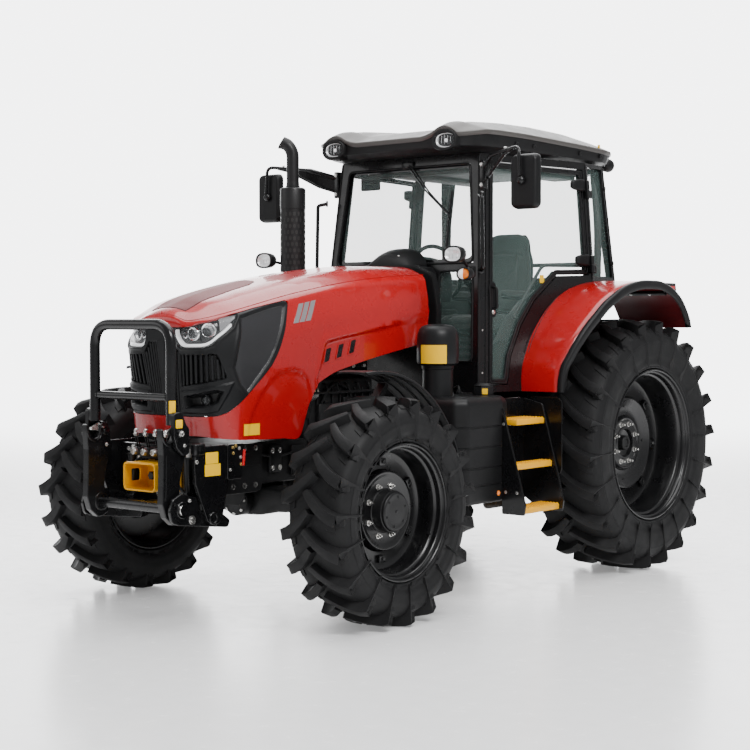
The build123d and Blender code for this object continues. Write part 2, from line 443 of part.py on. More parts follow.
put("rear_lift_rods", *both(fuse(
    cyl((424, *LD), (484, *LD), 12), prism_x([(LD[0] - 28, LD[1] + 25), (LD[0] + 28, LD[1] + 25), (LD[0] + 28, LD[1] - 60), (LD[0] - 28, LD[1] - 60)], 461, 485),
    cyl((473, LD[0] - 0.0, LD[1] - 55), (473, LD[0] + (LC[0] - LD[0]) * 0.85, LD[1] - 510), 17),
    prism_x([(LC[0] - 30, LC[1] + 100), (LC[0] + 26, LC[1] + 100), (LC[0] + 26, LC[1] - 26), (LC[0] - 26, LC[1] - 26)], 461, 485))))
put("drawbar", fuse(box(-42, 42, 1000, 2290, 395, 430), box(-75, 75, 1050, 1120, 430, 559.7), box(-75, 75, 1480, 1540, 430, 559.7)) - cyl((0, 2245, 380), (0, 2245, 450), 16.5))
put("top_link", fuse(cyl((-60, *TL), (60, *TL), 12), box(-22, 22, 1622, 1662, 985, 1030), cyl((0, 1648, 1020), (0, 1695, 1150), 22), cyl((0, 1693, 1145), (0, 1760, 1330), 16), cyl((0, 1758, 1325), (0, 1778, 1380), 22), cyl((-25, 1786, 1402), (25, 1786, 1402), 30)))

for k, v in PARTS.items():
    export_step(v, f"parts/{k}.step")
print(len(PARTS), "nodes")
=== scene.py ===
import bpy, bmesh, json, math, random
import numpy as np
from math import sin, cos, pi, radians, sqrt, atan2, hypot
from mathutils import Vector, Matrix


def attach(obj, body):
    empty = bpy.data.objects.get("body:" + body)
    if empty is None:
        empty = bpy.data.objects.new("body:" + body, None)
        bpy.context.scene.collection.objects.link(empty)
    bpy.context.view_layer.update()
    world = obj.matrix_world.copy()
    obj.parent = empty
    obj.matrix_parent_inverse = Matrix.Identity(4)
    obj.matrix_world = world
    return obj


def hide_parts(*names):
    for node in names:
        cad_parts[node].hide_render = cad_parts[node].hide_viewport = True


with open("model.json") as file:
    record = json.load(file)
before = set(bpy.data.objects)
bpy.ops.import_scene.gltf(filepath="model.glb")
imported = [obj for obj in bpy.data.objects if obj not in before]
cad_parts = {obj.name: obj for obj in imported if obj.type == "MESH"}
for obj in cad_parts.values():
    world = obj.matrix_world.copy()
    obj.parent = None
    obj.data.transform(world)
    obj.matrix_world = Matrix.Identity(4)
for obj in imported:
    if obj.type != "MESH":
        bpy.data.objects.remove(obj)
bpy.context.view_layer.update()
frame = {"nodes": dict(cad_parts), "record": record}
NODES = frame["nodes"]
scene = bpy.context.scene
rng = random.Random(7)

# ------------------------------------------------------------------ camera
yaw, pitch = math.radians(39.752), math.radians(1.941)
fwd = Vector((-math.sin(yaw) * math.cos(pitch), math.cos(yaw) * math.cos(pitch), -math.sin(pitch)))
right = Vector((math.cos(yaw), math.sin(yaw), 0))
up = right.cross(fwd)
cam = bpy.data.objects.new("camera", bpy.data.cameras.new("camera"))
scene.collection.objects.link(cam)
cam.matrix_world = Matrix((
    (right.x, up.x, -fwd.x, 6.562), (right.y, up.y, -fwd.y, -8.069), (right.z, up.z, -fwd.z, 1.676), (0, 0, 0, 1)))
cam.data.sensor_width = 36.0
cam.data.lens = 1584.0 / 750.0 * 36.0
cam.data.clip_end = 200
scene.camera = cam


# ------------------------------------------------------------------ materials
def material(name, color, rough=0.5, metal=0.0, coat=0.0, coat_rough=0.05, bump=0.0, bump_scale=200.0, dist=0.002,
             var=0.0, var_scale=3.0, rough_var=0.0, dust=None, sheen=0.0, spec=0.5):
    """Principled material: fine grain bump, soft colour clouds, roughness variation and a little patchy dust."""
    m = bpy.data.materials.new(name)
    m.use_nodes = True
    nt = m.node_tree
    b = nt.nodes["Principled BSDF"]
    b.inputs["Base Color"].default_value = (*color, 1)
    b.inputs["Roughness"].default_value = rough
    b.inputs["Metallic"].default_value = metal
    b.inputs["Coat Weight"].default_value = coat
    b.inputs["Coat Roughness"].default_value = coat_rough
    b.inputs["Specular IOR Level"].default_value = spec
    b.inputs["Sheen Weight"].default_value = sheen
    tc = nt.nodes.new("ShaderNodeTexCoord")
    if var or dust:
        n = nt.nodes.new("ShaderNodeTexNoise")
        n.inputs["Scale"].default_value = var_scale
        n.inputs["Detail"].default_value = 5
        nt.links.new(tc.outputs["Object"], n.inputs["Vector"])
        ramp = nt.nodes.new("ShaderNodeMapRange")
        ramp.inputs["From Min"].default_value = 0.3
        ramp.inputs["From Max"].default_value = 0.7
        nt.links.new(n.outputs["Fac"], ramp.inputs["Value"])
        mix = nt.nodes.new("ShaderNodeMix")
        mix.data_type = "RGBA"
        mix.inputs[6].default_value = (*[max(0, c * (1 - var)) for c in color], 1)
        mix.inputs[7].default_value = (*[min(1, c * (1 + var)) for c in color], 1)
        nt.links.new(ramp.outputs["Result"], mix.inputs[0])
        out = mix.outputs[2]
        if dust:
            n2 = nt.nodes.new("ShaderNodeTexNoise")
            n2.inputs["Scale"].default_value = 14
            n2.inputs["Detail"].default_value = 6
            nt.links.new(tc.outputs["Object"], n2.inputs["Vector"])
            r2 = nt.nodes.new("ShaderNodeMapRange")
            r2.inputs["From Min"].default_value = 0.45
            r2.inputs["From Max"].default_value = 0.8
            r2.inputs["To Max"].default_value = dust[1]
            nt.links.new(n2.outputs["Fac"], r2.inputs["Value"])
            mx = nt.nodes.new("ShaderNodeMix")
            mx.data_type = "RGBA"
            mx.inputs[7].default_value = (*dust[0], 1)
            nt.links.new(r2.outputs["Result"], mx.inputs[0])
            nt.links.new(out, mx.inputs[6])
            out = mx.outputs[2]
        nt.links.new(out, b.inputs["Base Color"])
    if rough_var:
        n = nt.nodes.new("ShaderNodeTexNoise")
        n.inputs["Scale"].default_value = 9
        n.inputs["Detail"].default_value = 6
        nt.links.new(tc.outputs["Object"], n.inputs["Vector"])
        r = nt.nodes.new("ShaderNodeMapRange")
        r.inputs["From Min"].default_value = 0.3
        r.inputs["From Max"].default_value = 0.7
        r.inputs["To Min"].default_value = max(0.02, rough - rough_var)
        r.inputs["To Max"].default_value = min(1, rough + rough_var)
        nt.links.new(n.outputs["Fac"], r.inputs["Value"])
        nt.links.new(r.outputs["Result"], b.inputs["Roughness"])
    if bump:
        n = nt.nodes.new("ShaderNodeTexNoise")
        n.inputs["Scale"].default_value = bump_scale
        n.inputs["Detail"].default_value = 4
        bp = nt.nodes.new("ShaderNodeBump")
        bp.inputs["Strength"].default_value = bump
        bp.inputs["Distance"].default_value = dist
        nt.links.new(tc.outputs["Object"], n.inputs["Vector"])
        nt.links.new(n.outputs["Fac"], bp.inputs["Height"])
        nt.links.new(bp.outputs["Normal"], b.inputs["Normal"])
    return m


M = {
    "red_gloss": material("paint_red", (0.37, 0.0030, 0.0045), 0.28, 0.0, 0.55, 0.04, spec=0.35, bump=0.02, bump_scale=900, dist=0.0004, var=0.03, var_scale=1.5, rough_var=0.03),
    "red_matt": material("panel_dark_red", (0.13, 0.006, 0.007), 0.55, bump=0.35, bump_scale=700, dist=0.001, var=0.08),
    # darker copy of the red paint for the mudguard undersides: painted shade
    "red_painted_shade": material("paint_red_painted_shade", (0.10, 0.004, 0.006), 0.45, var=0.15, rough_var=0.1),
    "black_matt": material("plastic_black", (0.0065, 0.0065, 0.007), 0.44, spec=0.22, bump=0.22, bump_scale=900, dist=0.0006, var=0.12, rough_var=0.06),
    "black_soft": material("plastic_black_soft", (0.0075, 0.0078, 0.0085), 0.40, spec=0.22, bump=0.12, bump_scale=1100, dist=0.0004, var=0.08, rough_var=0.05),
    "black_steel": material("steel_black", (0.004, 0.004, 0.0045), 0.28, spec=0.3, coat=0.22, coat_rough=0.12, bump=0.05, bump_scale=500, dist=0.0006, var=0.1, rough_var=0.07),
    "rim_black": material("rim_black", (0.0035, 0.0035, 0.004), 0.30, spec=0.35, coat=0.35, coat_rough=0.2, bump=0.04, bump_scale=300, dist=0.0006, var=0.1, rough_var=0.05),
    "dark_grey_steel": material("steel_dark_grey", (0.009, 0.009, 0.0095), 0.42, spec=0.28, coat=0.05, bump=0.08, bump_scale=500, dist=0.0006, var=0.12, rough_var=0.08),
    "cast_dark": material("casting_black", (0.006, 0.006, 0.0065), 0.50, spec=0.28, bump=0.5, bump_scale=160, dist=0.0012, var=0.2, rough_var=0.12),
    "roof_grey": material("roof_taupe", (0.062, 0.057, 0.053), 0.42, bump=0.15, bump_scale=900, dist=0.0005, var=0.05, rough_var=0.05),
    "yellow": material("paint_yellow", (0.80, 0.38, 0.002), 0.34, spec=0.3, coat=0.15, coat_rough=0.1, bump=0.05, bump_scale=500, dist=0.0006, var=0.05, rough_var=0.06),
    "decal": material("decal_yellow", (0.86, 0.50, 0.004), 0.45, spec=0.12, var=0.02),
    "decal_ink": material("decal_black", (0.02, 0.02, 0.02), 0.4, var=0.05),
    "tyre": material("rubber_tyre", (0.0075, 0.0075, 0.008), 0.60, spec=0.22, bump=0.45, bump_scale=260, dist=0.0009, var=0.16, var_scale=6, rough_var=0.09, dust=((0.018, 0.0175, 0.017), 0.2)),
    "zinc": material("zinc", (0.62, 0.61, 0.59), 0.28, 0.95, bump=0.1, bump_scale=500, dist=0.0004, var=0.08, rough_var=0.08),
    "chrome": material("chrome", (0.85, 0.86, 0.87), 0.06, 1.0, var=0.02),
    "brass": material("brass_fitting", (0.75, 0.55, 0.22), 0.25, 1.0, var=0.08, rough_var=0.05),
    "silver": material("trim_silver", (0.50, 0.50, 0.51), 0.30, 0.85, coat=0.3, bump=0.05, bump_scale=800, dist=0.0003, var=0.04),
    "mesh_black": material("mesh_black", (0.006, 0.006, 0.006), 0.6, var=0.1),
    "seat": material("cloth_seat", (0.035, 0.042, 0.038), 0.9, bump=0.6, bump_scale=1400, dist=0.0012, var=0.15, sheen=0.3),
    "interior": material("interior_grey", (0.04, 0.048, 0.046), 0.6, bump=0.2, bump_scale=700, dist=0.0008, var=0.1, rough_var=0.06),
    "orange": material("lens_orange", (0.85, 0.20, 0.01), 0.08, coat=0.8, var=0.04),
    "red_lamp": material("lamp_red", (0.50, 0.006, 0.008), 0.12, coat=0.8, var=0.05),
    "lamp_black": material("lamp_housing", (0.006, 0.0065, 0.007), 0.14, spec=0.35, coat=0.3, var=0.05),
    "drl": material("lens_white", (0.86, 0.88, 0.90), 0.12, coat=0.6, var=0.02),
    "floorboard": material("rubber_mat", (0.03, 0.03, 0.031), 0.8, bump=0.4, bump_scale=500, var=0.1),
}
for n in ("drl",):
    b = M[n].node_tree.nodes["Principled BSDF"]
    b.inputs["Emission Color"].default_value = (1, 1, 1, 1)
    b.inputs["Emission Strength"].default_value = 0.55
M["lamp"] = M["drl"]


def glassy(name, color, alpha, rough=0.02):
    g = bpy.data.materials.new(name)
    g.use_nodes = True
    nt = g.node_tree
    b = nt.nodes["Principled BSDF"]
    b.inputs["Base Color"].default_value = (*color, 1)
    b.inputs["Roughness"].default_value = rough
    b.inputs["IOR"].default_value = 1.45
    b.inputs["Alpha"].default_value = alpha
    tc = nt.nodes.new("ShaderNodeTexCoord")
    n = nt.nodes.new("ShaderNodeTexNoise")
    n.inputs["Scale"].default_value = 2.5
    nt.links.new(tc.outputs["Object"], n.inputs["Vector"])
    bp = nt.nodes.new("ShaderNodeBump")
    bp.inputs["Strength"].default_value = 0.03
    bp.inputs["Distance"].default_value = 0.01
    nt.links.new(n.outputs["Fac"], bp.inputs["Height"])
    nt.links.new(bp.outputs["Normal"], b.inputs["Normal"])
    return g


# lamp reflector: metal with a white emission glow, a painted reflection
M["reflector"] = material("lamp_reflector_painted_glow", (0.82, 0.83, 0.84), 0.30, 0.55, var=0.02)
M["reflector"].node_tree.nodes["Principled BSDF"].inputs["Emission Color"].default_value = (1, 1, 1, 1)
M["reflector"].node_tree.nodes["Principled BSDF"].inputs["Emission Strength"].default_value = 0.30
M["glass"] = glassy("glass_clear", (0.14, 0.205, 0.19), 0.16)
M["lens"] = glassy("lens_clear", (0.5, 0.52, 0.54), 0.06)
SLOT = {s["node"]: s["material_slot"] for s in frame["record"]["subparts"]}
for n, o in NODES.items():
    o.data.materials.clear()
    o.data.materials.append(M[SLOT[n]])


# ------------------------------------------------------------------ mesh helpers
def make(name, verts, faces, mat, body, smooth=40.0, mats=None, fmat=None):
    me = bpy.data.meshes.new(name)
    me.from_pydata([tuple(map(float, v)) for v in verts], [], [list(map(int, f)) for f in faces])
    me.validate()
    ob = bpy.data.objects.new(name, me)
    scene.collection.objects.link(ob)
    for mm in (mats or [mat]):
        me.materials.append(M[mm])
    if fmat is not None:
        me.polygons.foreach_set("material_index", fmat)
    bm = bmesh.new()
    bm.from_mesh(me)
    bmesh.ops.recalc_face_normals(bm, faces=bm.faces)
    bm.to_mesh(me)
    bm.free()
    shade(me, smooth)
    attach(ob, body)
    return ob


def shade(me, ang):
    me.polygons.foreach_set("use_smooth", [ang > 0] * len(me.polygons))
    if 0 < ang < 180:
        me.set_sharp_from_angle(angle=radians(ang))
    me.update()


class Geo:
    """Collects parts of one piece: vertices, faces and a material index per face."""

    def __init__(self):
        self.v, self.f, self.m = [], [], []

    def add(self, v, f, m=0, mat=None):
        b = len(self.v)
        if mat is not None:
            v = [tuple(mat @ Vector(p)) for p in v]
        self.v += [tuple(p) for p in v]
        self.f += [[i + b for i in q] for q in f]
        self.m += [m] * len(f)
        return self

    def mirror(self):
        """Adds the x-mirrored copy of everything so far."""
        b = len(self.v)
        self.v += [(-x, y, z) for x, y, z in self.v]
        self.f += [[i + b for i in q][::-1] for q in self.f]
        self.m += self.m[:]
        return self

    def make(self, name, mats, body, slot=None, smooth=40.0, bevel=0.0, seg=2, subdiv=0):
        ob = make(name, self.v, self.f, None, body, smooth, mats=mats, fmat=self.m)
        if bevel or subdiv:
            if bevel:
                md = ob.modifiers.new("bevel", "BEVEL")
                md.width = bevel
                md.segments = seg
                md.limit_method = "ANGLE"
                md.angle_limit = radians(32)
                md.harden_normals = False
            if subdiv:
                md = ob.modifiers.new("sub", "SUBSURF")
                md.levels = md.render_levels = subdiv
            bake(ob)
            shade(ob.data, smooth)
        return ob


def bake(ob):
    dg = bpy.context.evaluated_depsgraph_get()
    me = bpy.data.meshes.new_from_object(ob.evaluated_get(dg), preserve_all_data_layers=False, depsgraph=dg)
    ob.modifiers.clear()
    old = ob.data
    ob.data = me
    bpy.data.meshes.remove(old)


def rings(rs, closed_u=False, closed_v=True, cap0=False, cap1=False):
    """Quads between rings of points."""
    n, k = len(rs[0]), len(rs)
    v = [p for r in rs for p in r]
    f = []
    for a in range(k if closed_u else k - 1):
        b = (a + 1) % k
        for i in range(n if closed_v else n - 1):
            j = (i + 1) % n
            f.append([a * n + i, a * n + j, b * n + j, b * n + i])
    if cap0:
        f.append(list(range(n))[::-1])
    if cap1:
        f.append([(k - 1) * n + i for i in range(n)])
    return v, f


def revolve_x(profile, cx, cy, cz, seg=96, closed=False, a0=0.0):
    """profile: (x offset, radius) list; turned about an axle along X."""
    rs = []
    for s in range(seg):
        t = 2 * pi * s / seg + a0
        rs.append([(cx + dx, cy + r * sin(t), cz + r * cos(t)) for dx, r in profile])
    return rings(rs, closed_u=True, closed_v=closed)


def frame_to(p, d, x=(0, 0, 1)):
    """Matrix at p with local Z along d."""
    d = Vector(d).normalized()
    x = Vector(x)
    x = x - d * x.dot(d)
    if x.length < 1e-5:
        x = Vector((1, 0, 0)) - d * d.x
        if x.length < 1e-5:
            x = Vector((0, 1, 0)) - d * d.y
    x.normalize()
    y = d.cross(x)
    return Matrix(((x.x, y.x, d.x, p[0]), (x.y, y.y, d.y, p[1]), (x.z, y.z, d.z, p[2]), (0, 0, 0, 1)))


def lathe(profile, p, d, seg=32, x=(0, 0, 1), cap=True):
    """profile: (along d, radius) list."""
    mt = frame_to(p, d, x)
    rs = [[(r * cos(2 * pi * s / seg), r * sin(2 * pi * s / seg), h) for s in range(seg)] for h, r in profile]
    v, f = rings(rs, cap0=cap and profile[0][1] > 1e-6, cap1=cap and profile[-1][1] > 1e-6)
    return [tuple(mt @ Vector(q)) for q in v], f


def bolt(p, d, r=0.012, h=0.008, washer=True, rot=0.0, seg=6):
    """Hexagon head on a washer."""
    mt = frame_to(p, d)
    v, f = [], []
    if washer:
        a = [[(rr * cos(2 * pi * s / 16), rr * sin(2 * pi * s / 16), z) for s in range(16)] for z, rr in ((-0.001, r * 1.45), (0.0018, r * 1.45), (0.0022, r * 1.35), (0.0022, r * 0.5))]
        v, f = rings(a)
    b = len(v)
    c = [[(rr * cos(2 * pi * s / seg + rot), rr * sin(2 * pi * s / seg + rot), z) for s in range(seg)] for z, rr in ((0.001, r * 1.1), (h * 0.85, r * 1.1), (h, r * 0.95), (h, r * 0.6), (h * 0.9, r * 0.5))]
    v2, f2 = rings(c, cap1=True)
    v += v2
    f += [[i + b for i in q] for q in f2]
    return [tuple(mt @ Vector(q)) for q in v], f


def round_path(pts, rad, n=6):
    """Polyline with rounded corners; rad is one radius or a list."""
    pts = [Vector(p) for p in pts]
    out = [pts[0]]
    for i in range(1, len(pts) - 1):
        a, b, c = pts[i - 1], pts[i], pts[i + 1]
        r = rad[i - 1] if isinstance(rad, (list, tuple)) else rad
        u, w = (a - b), (c - b)
        ang = u.angle(w)
        if r <= 0 or abs(ang - pi) < 1e-3:
            out.append(b)
            continue
        t = min(r / math.tan(ang / 2), u.length * 0.49, w.length * 0.49)
        p0, p1 = b + u.normalized() * t, b + w.normalized() * t
        for k in range(n + 1):
            s = k / n
            out.append(p0 * (1 - s) ** 2 + b * 2 * s * (1 - s) + p1 * s * s)
    out.append(pts[-1])
    return out


def tube(pts, r, seg=16, cap=True, radii=None):
    """Round tube swept along points with a carried frame."""
    pts = [Vector(p) for p in pts]
    rs = []
    x = None
    for i, p in enumerate(pts):
        d = (pts[min(i + 1, len(pts) - 1)] - pts[max(i - 1, 0)]).normalized()
        if x is None:
            x = Vector((0, 0, 1)) if abs(d.z) < 0.9 else Vector((1, 0, 0))
        x = (x - d * x.dot(d)).normalized()
        y = d.cross(x)
        rr = radii[i] if radii else r
        rs.append([tuple(p + x * rr * cos(2 * pi * s / seg) + y * rr * sin(2 * pi * s / seg)) for s in range(seg)])
    return rings(rs, cap0=cap, cap1=cap)


def sweep(pts, section, updir, cap=True, closed=False):
    """Sweeps a 2-D section (side, up) along points; updir fixes the roll."""
    pts = [Vector(p) for p in pts]
    n = len(pts)
    rs = []
    for i, p in enumerate(pts):
        a, b = (pts[(i - 1) % n], pts[(i + 1) % n]) if closed else (pts[max(i - 1, 0)], pts[min(i + 1, n - 1)])
        d = (b - a).normalized()
        u = Vector(updir(i) if callable(updir) else updir)
        s = d.cross(u).normalized()
        w = s.cross(d)
        rs.append([tuple(p + s * q[0] + w * q[1]) for q in section])
    return rings(rs, closed_u=closed, cap0=cap and not closed, cap1=cap and not closed)


def rect(w, h, r=0.0, n=3):
    """Rounded rectangle section centred on the origin."""
    if r <= 0:
        return [(-w / 2, -h / 2), (w / 2, -h / 2), (w / 2, h / 2), (-w / 2, h / 2)]
    out = []
    for cx, cy, a0 in ((w / 2 - r, -h / 2 + r, -90), (w / 2 - r, h / 2 - r, 0), (-w / 2 + r, h / 2 - r, 90), (-w / 2 + r, -h / 2 + r, 180)):
        for k in range(n + 1):
            a = radians(a0 + 90 * k / n)
            out.append((cx + r * cos(a), cy + r * sin(a)))
    return out


def rbox(x0, x1, y0, y1, z0, z1, r=0.004, n=2):
    """Box with rounded edges and corners."""
    r = min(r, (x1 - x0) / 2.01, (y1 - y0) / 2.01, (z1 - z0) / 2.01)
    rs = []
    for k in range(n + 1):
        a = pi / 2 * k / n
        ins, z = r * (1 - sin(a)), z0 + r * (1 - cos(a))
        rs.append((z, ins))
    rs += [(z0 + z1 - z, ins) for z, ins in rs[::-1]]
    out = []
    for z, ins in rs:
        w, h = x1 - x0 - 2 * ins, y1 - y0 - 2 * ins
        rr = max(r - ins, 1e-4) if ins > 0 else r
        out.append([((x0 + x1) / 2 + a, (y0 + y1) / 2 + b, z) for a, b in rect(w, h, rr, 3)])
    return rings(out, cap0=True, cap1=True)


def plate(poly, axis, a, b, bev=0.003, holes=None):
    """Flat plate from a 2-D outline, pushed along axis from a to b, with a small chamfer."""
    def P(u, v, w):
        return {"x": (w, u, v), "y": (u, w, v), "z": (u, v, w)}[axis]
    if a > b:
        a, b = b, a
    ins = offset(poly, bev)
    rs = [[P(u, v, a) for u, v in ins], [P(u, v, a + bev) for u, v in poly], [P(u, v, b - bev) for u, v in poly], [P(u, v, b) for u, v in ins]]
    return rings(rs, cap0=True, cap1=True)


def offset(poly, d):
    """Moves a closed outline inward by d."""
    n = len(poly)
    area = sum(poly[i][0] * poly[(i + 1) % n][1] - poly[(i + 1) % n][0] * poly[i][1] for i in range(n))
    sg = 1 if area > 0 else -1
    out = []
    for i in range(n):
        p, q, r = poly[i - 1], poly[i], poly[(i + 1) % n]
        e0, e1 = Vector((q[0] - p[0], q[1] - p[1])).normalized(), Vector((r[0] - q[0], r[1] - q[1])).normalized()
        n0, n1 = Vector((-e0.y, e0.x)) * sg, Vector((-e1.y, e1.x)) * sg
        m = n0 + n1
        m = m / max(0.35, m.dot(n0)) if m.length > 1e-6 else n0
        out.append((q[0] + m.x * d, q[1] + m.y * d))
    return out


def smooth_poly(poly, rad, n=5):
    """Closed 2-D outline with rounded corners."""
    out = []
    k = len(poly)
    for i in range(k):
        a, b, c = Vector(poly[i - 1]), Vector(poly[i]), Vector(poly[(i + 1) % k])
        u, w = a - b, c - b
        r = rad[i] if isinstance(rad, (list, tuple)) else rad
        ang = u.angle(w)
        if r <= 0 or abs(ang - pi) < 0.02:
            out.append(tuple(b))
            continue
        t = min(r / math.tan(ang / 2), u.length * 0.49, w.length * 0.49)
        p0, p1 = b + u.normalized() * t, b + w.normalized() * t
        for s in range(n + 1):
            q = s / n
            out.append(tuple(p0 * (1 - q) ** 2 + b * 2 * q * (1 - q) + p1 * q * q))
    return out


def catmull(pts, n, closed=False):
    """Catmull-Rom through points of any dimension, n steps per span."""
    P = [np.array(p, float) for p in pts]
    k = len(P)
    out = []
    for i in range(k if closed else k - 1):
        p1, p2 = P[i], P[(i + 1) % k]
        p0 = P[i - 1] if (closed or i > 0) else 2 * p1 - p2
        p3 = P[(i + 2) % k] if (closed or i + 2 < k) else 2 * p2 - p1
        for s in range(n):
            t = s / n
            out.append(0.5 * ((2 * p1) + (-p0 + p2) * t + (2 * p0 - 5 * p1 + 4 * p2 - p3) * t * t + (-p0 + 3 * p1 - 3 * p2 + p3) * t ** 3))
    if not closed:
        out.append(P[-1])
    return out


# ------------------------------------------------------------------ wheels
YF, YR, RF, RR = -1.338, 1.338, 0.632, 0.846


def tyre(name, body, node, side, cx, cy, R, W, rim_r, rim_w, n_lug, lug_h):
    hw, h = rim_w / 2, W / 2
    Rb = R - lug_h
    half = [(0.0, Rb), (h * 0.30, Rb - 0.002), (h * 0.58, Rb - 0.010), (h * 0.80, Rb - 0.026), (h * 0.925, Rb - 0.052), (h * 0.985, Rb - 0.090),
            (h * 0.992, Rb - 0.104), (h * 1.0, Rb - 0.108), (h * 0.998, (Rb + rim_r) / 2 + 0.004), (h * 0.985, rim_r + (Rb - rim_r) * 0.36), (h * 0.955, rim_r + (Rb - rim_r) * 0.22),
            (hw + 0.006, rim_r + 0.030), (hw + 0.002, rim_r + 0.022), (hw + 0.004, rim_r + 0.016), (hw - 0.006, rim_r + 0.006), (hw - 0.022, rim_r + 0.001), (hw - 0.024, rim_r - 0.018)]
    half = [tuple(p) for p in catmull(half, 3)]
    # two fine rings moulded on the side wall
    prof = []
    for x, r in half:
        for rr, hh in ((rim_r + (Rb - rim_r) * 0.30, 0.0022), (rim_r + (Rb - rim_r) * 0.66, 0.0018)):
            x += hh * math.exp(-((r - rr) / 0.004) ** 2)
        prof.append((x, r))
    full = [(-x, r) for x, r in prof[::-1]] + prof[1:]
    full += [(0.0, rim_r - 0.018)]
    g = Geo()
    g.add(*revolve_x([(side * x, r) for x, r in full], cx, cy, R, seg=144, closed=True))
    # lugs: a bent bar from the middle out over the shoulder
    pitch = 2 * pi / n_lug
    for row in (-1, 1):
        for k in range(n_lug):
            th0 = pitch * (k + (0.0 if row > 0 else 0.5))
            path = []
            xs = [-0.016, 0.03, 0.30 * h, 0.46 * h, 0.62 * h, 0.78 * h, 0.90 * h, 0.975 * h]
            s, prev = 0.0, xs[0]
            for i, x in enumerate(xs):
                u = max(0.0, x) / h
                slope = 1.12 - 0.80 * u                       # arc length per unit of width
                s += (x - prev) * slope
                prev = x
                base = np.interp(x, [p[0] for p in prof[:40]], [p[1] for p in prof[:40]])
                drop = 0.010 * u ** 2.0 + 0.010 * max(0, u - 0.8) / 0.2
                path.append((x, base - 0.006, R - drop, s / R, slope))
            s_end = path[-1][3]
            rows = []
            for i, (x, rb, rt, th, slope) in enumerate(path):
                u = max(0.0, x) / h
                nx, nt = slope / hypot(1, slope), -1 / hypot(1, slope)      # across the bar: (x, arc)
                wt, wb = 0.0205 + 0.0125 * u, 0.037 + 0.013 * u
                if i == 0:
                    wt, wb = wt * 0.8, wb * 0.8
                sec = [(-wb, rb), (-wt - 0.003, rt - 0.010), (-wt, rt - 0.0015), (-wt + 0.003, rt), (wt - 0.003, rt), (wt, rt - 0.0015), (wt + 0.001, rt - 0.010), (wb * 0.72, rb)]
                ring = []
                for w, r in sec:
                    xx = x + nx * w
                    tt = th0 + th + nt * w / R
                    ring.append((row * xx, r, tt))
                rows.append(ring)
            # down the side wall: narrower, sinking into it
            for dr, q, sink in ((0.045, 1.0, 0.004), (0.075, 0.85, -0.004), (0.100, 0.55, -0.016)):
                rt = R - 0.020 - dr
                ring = []
                x_out = np.interp(-rt, [-p[1] for p in prof], [p[0] for p in prof]) + (0.014 if row > 0 or R > 0.7 else 0.002) + sink
                base = 0.034 * q
                for (w, lift) in ((-base * 1.35, -0.030), (-base * 1.05, -0.004), (-base, 0.0), (-base + 0.003, 0.001), (base - 0.003, 0.001), (base, 0.0), (base * 1.05, -0.004), (base * 1.2, -0.030)):
                    ring.append((row * min(x_out + lift, h * 1.0 + 0.0), rt, th0 + s_end + 0.008 + w / R))
                rows.append(ring)
            lim = h - 0.012 if R < 0.7 else 9.0                 # inner lugs stay clear of the mudguard stay
            rs = [[(cx + side * max(a, -lim), cy - r * sin(t), R + r * cos(t)) for a, r, t in ring] for ring in rows]
            g.add(*rings(rs, closed_v=False, cap0=True, cap1=True))
    # raised blocks between the lugs near the middle
    for row in (-1, 1):
        for k in range(n_lug):
            th0 = pitch * (k + (0.0 if row > 0 else 0.5)) + pitch * 0.5
            rs = []
            for x, dth in ((0.55 * h, 0.50), (0.68 * h, 0.60), (0.80 * h, 0.68), (0.90 * h, 0.72)):
                rb = np.interp(x, [p[0] for p in prof[:40]], [p[1] for p in prof[:40]])
                t = th0 + (x * 0.62) / R
                rs.append([(cx + side * row * x, cy - r * sin(t + w / R), R + r * cos(t + w / R)) for w, r in ((-0.034, rb - 0.004), (-0.024, rb + 0.006), (0.024, rb + 0.006), (0.034, rb - 0.004))])
            g.add(*rings(rs, closed_v=False, cap0=True, cap1=True))
    ob = g.make(name, ["tyre"], body, "tyre", smooth=38)
    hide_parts(node)
    return ob


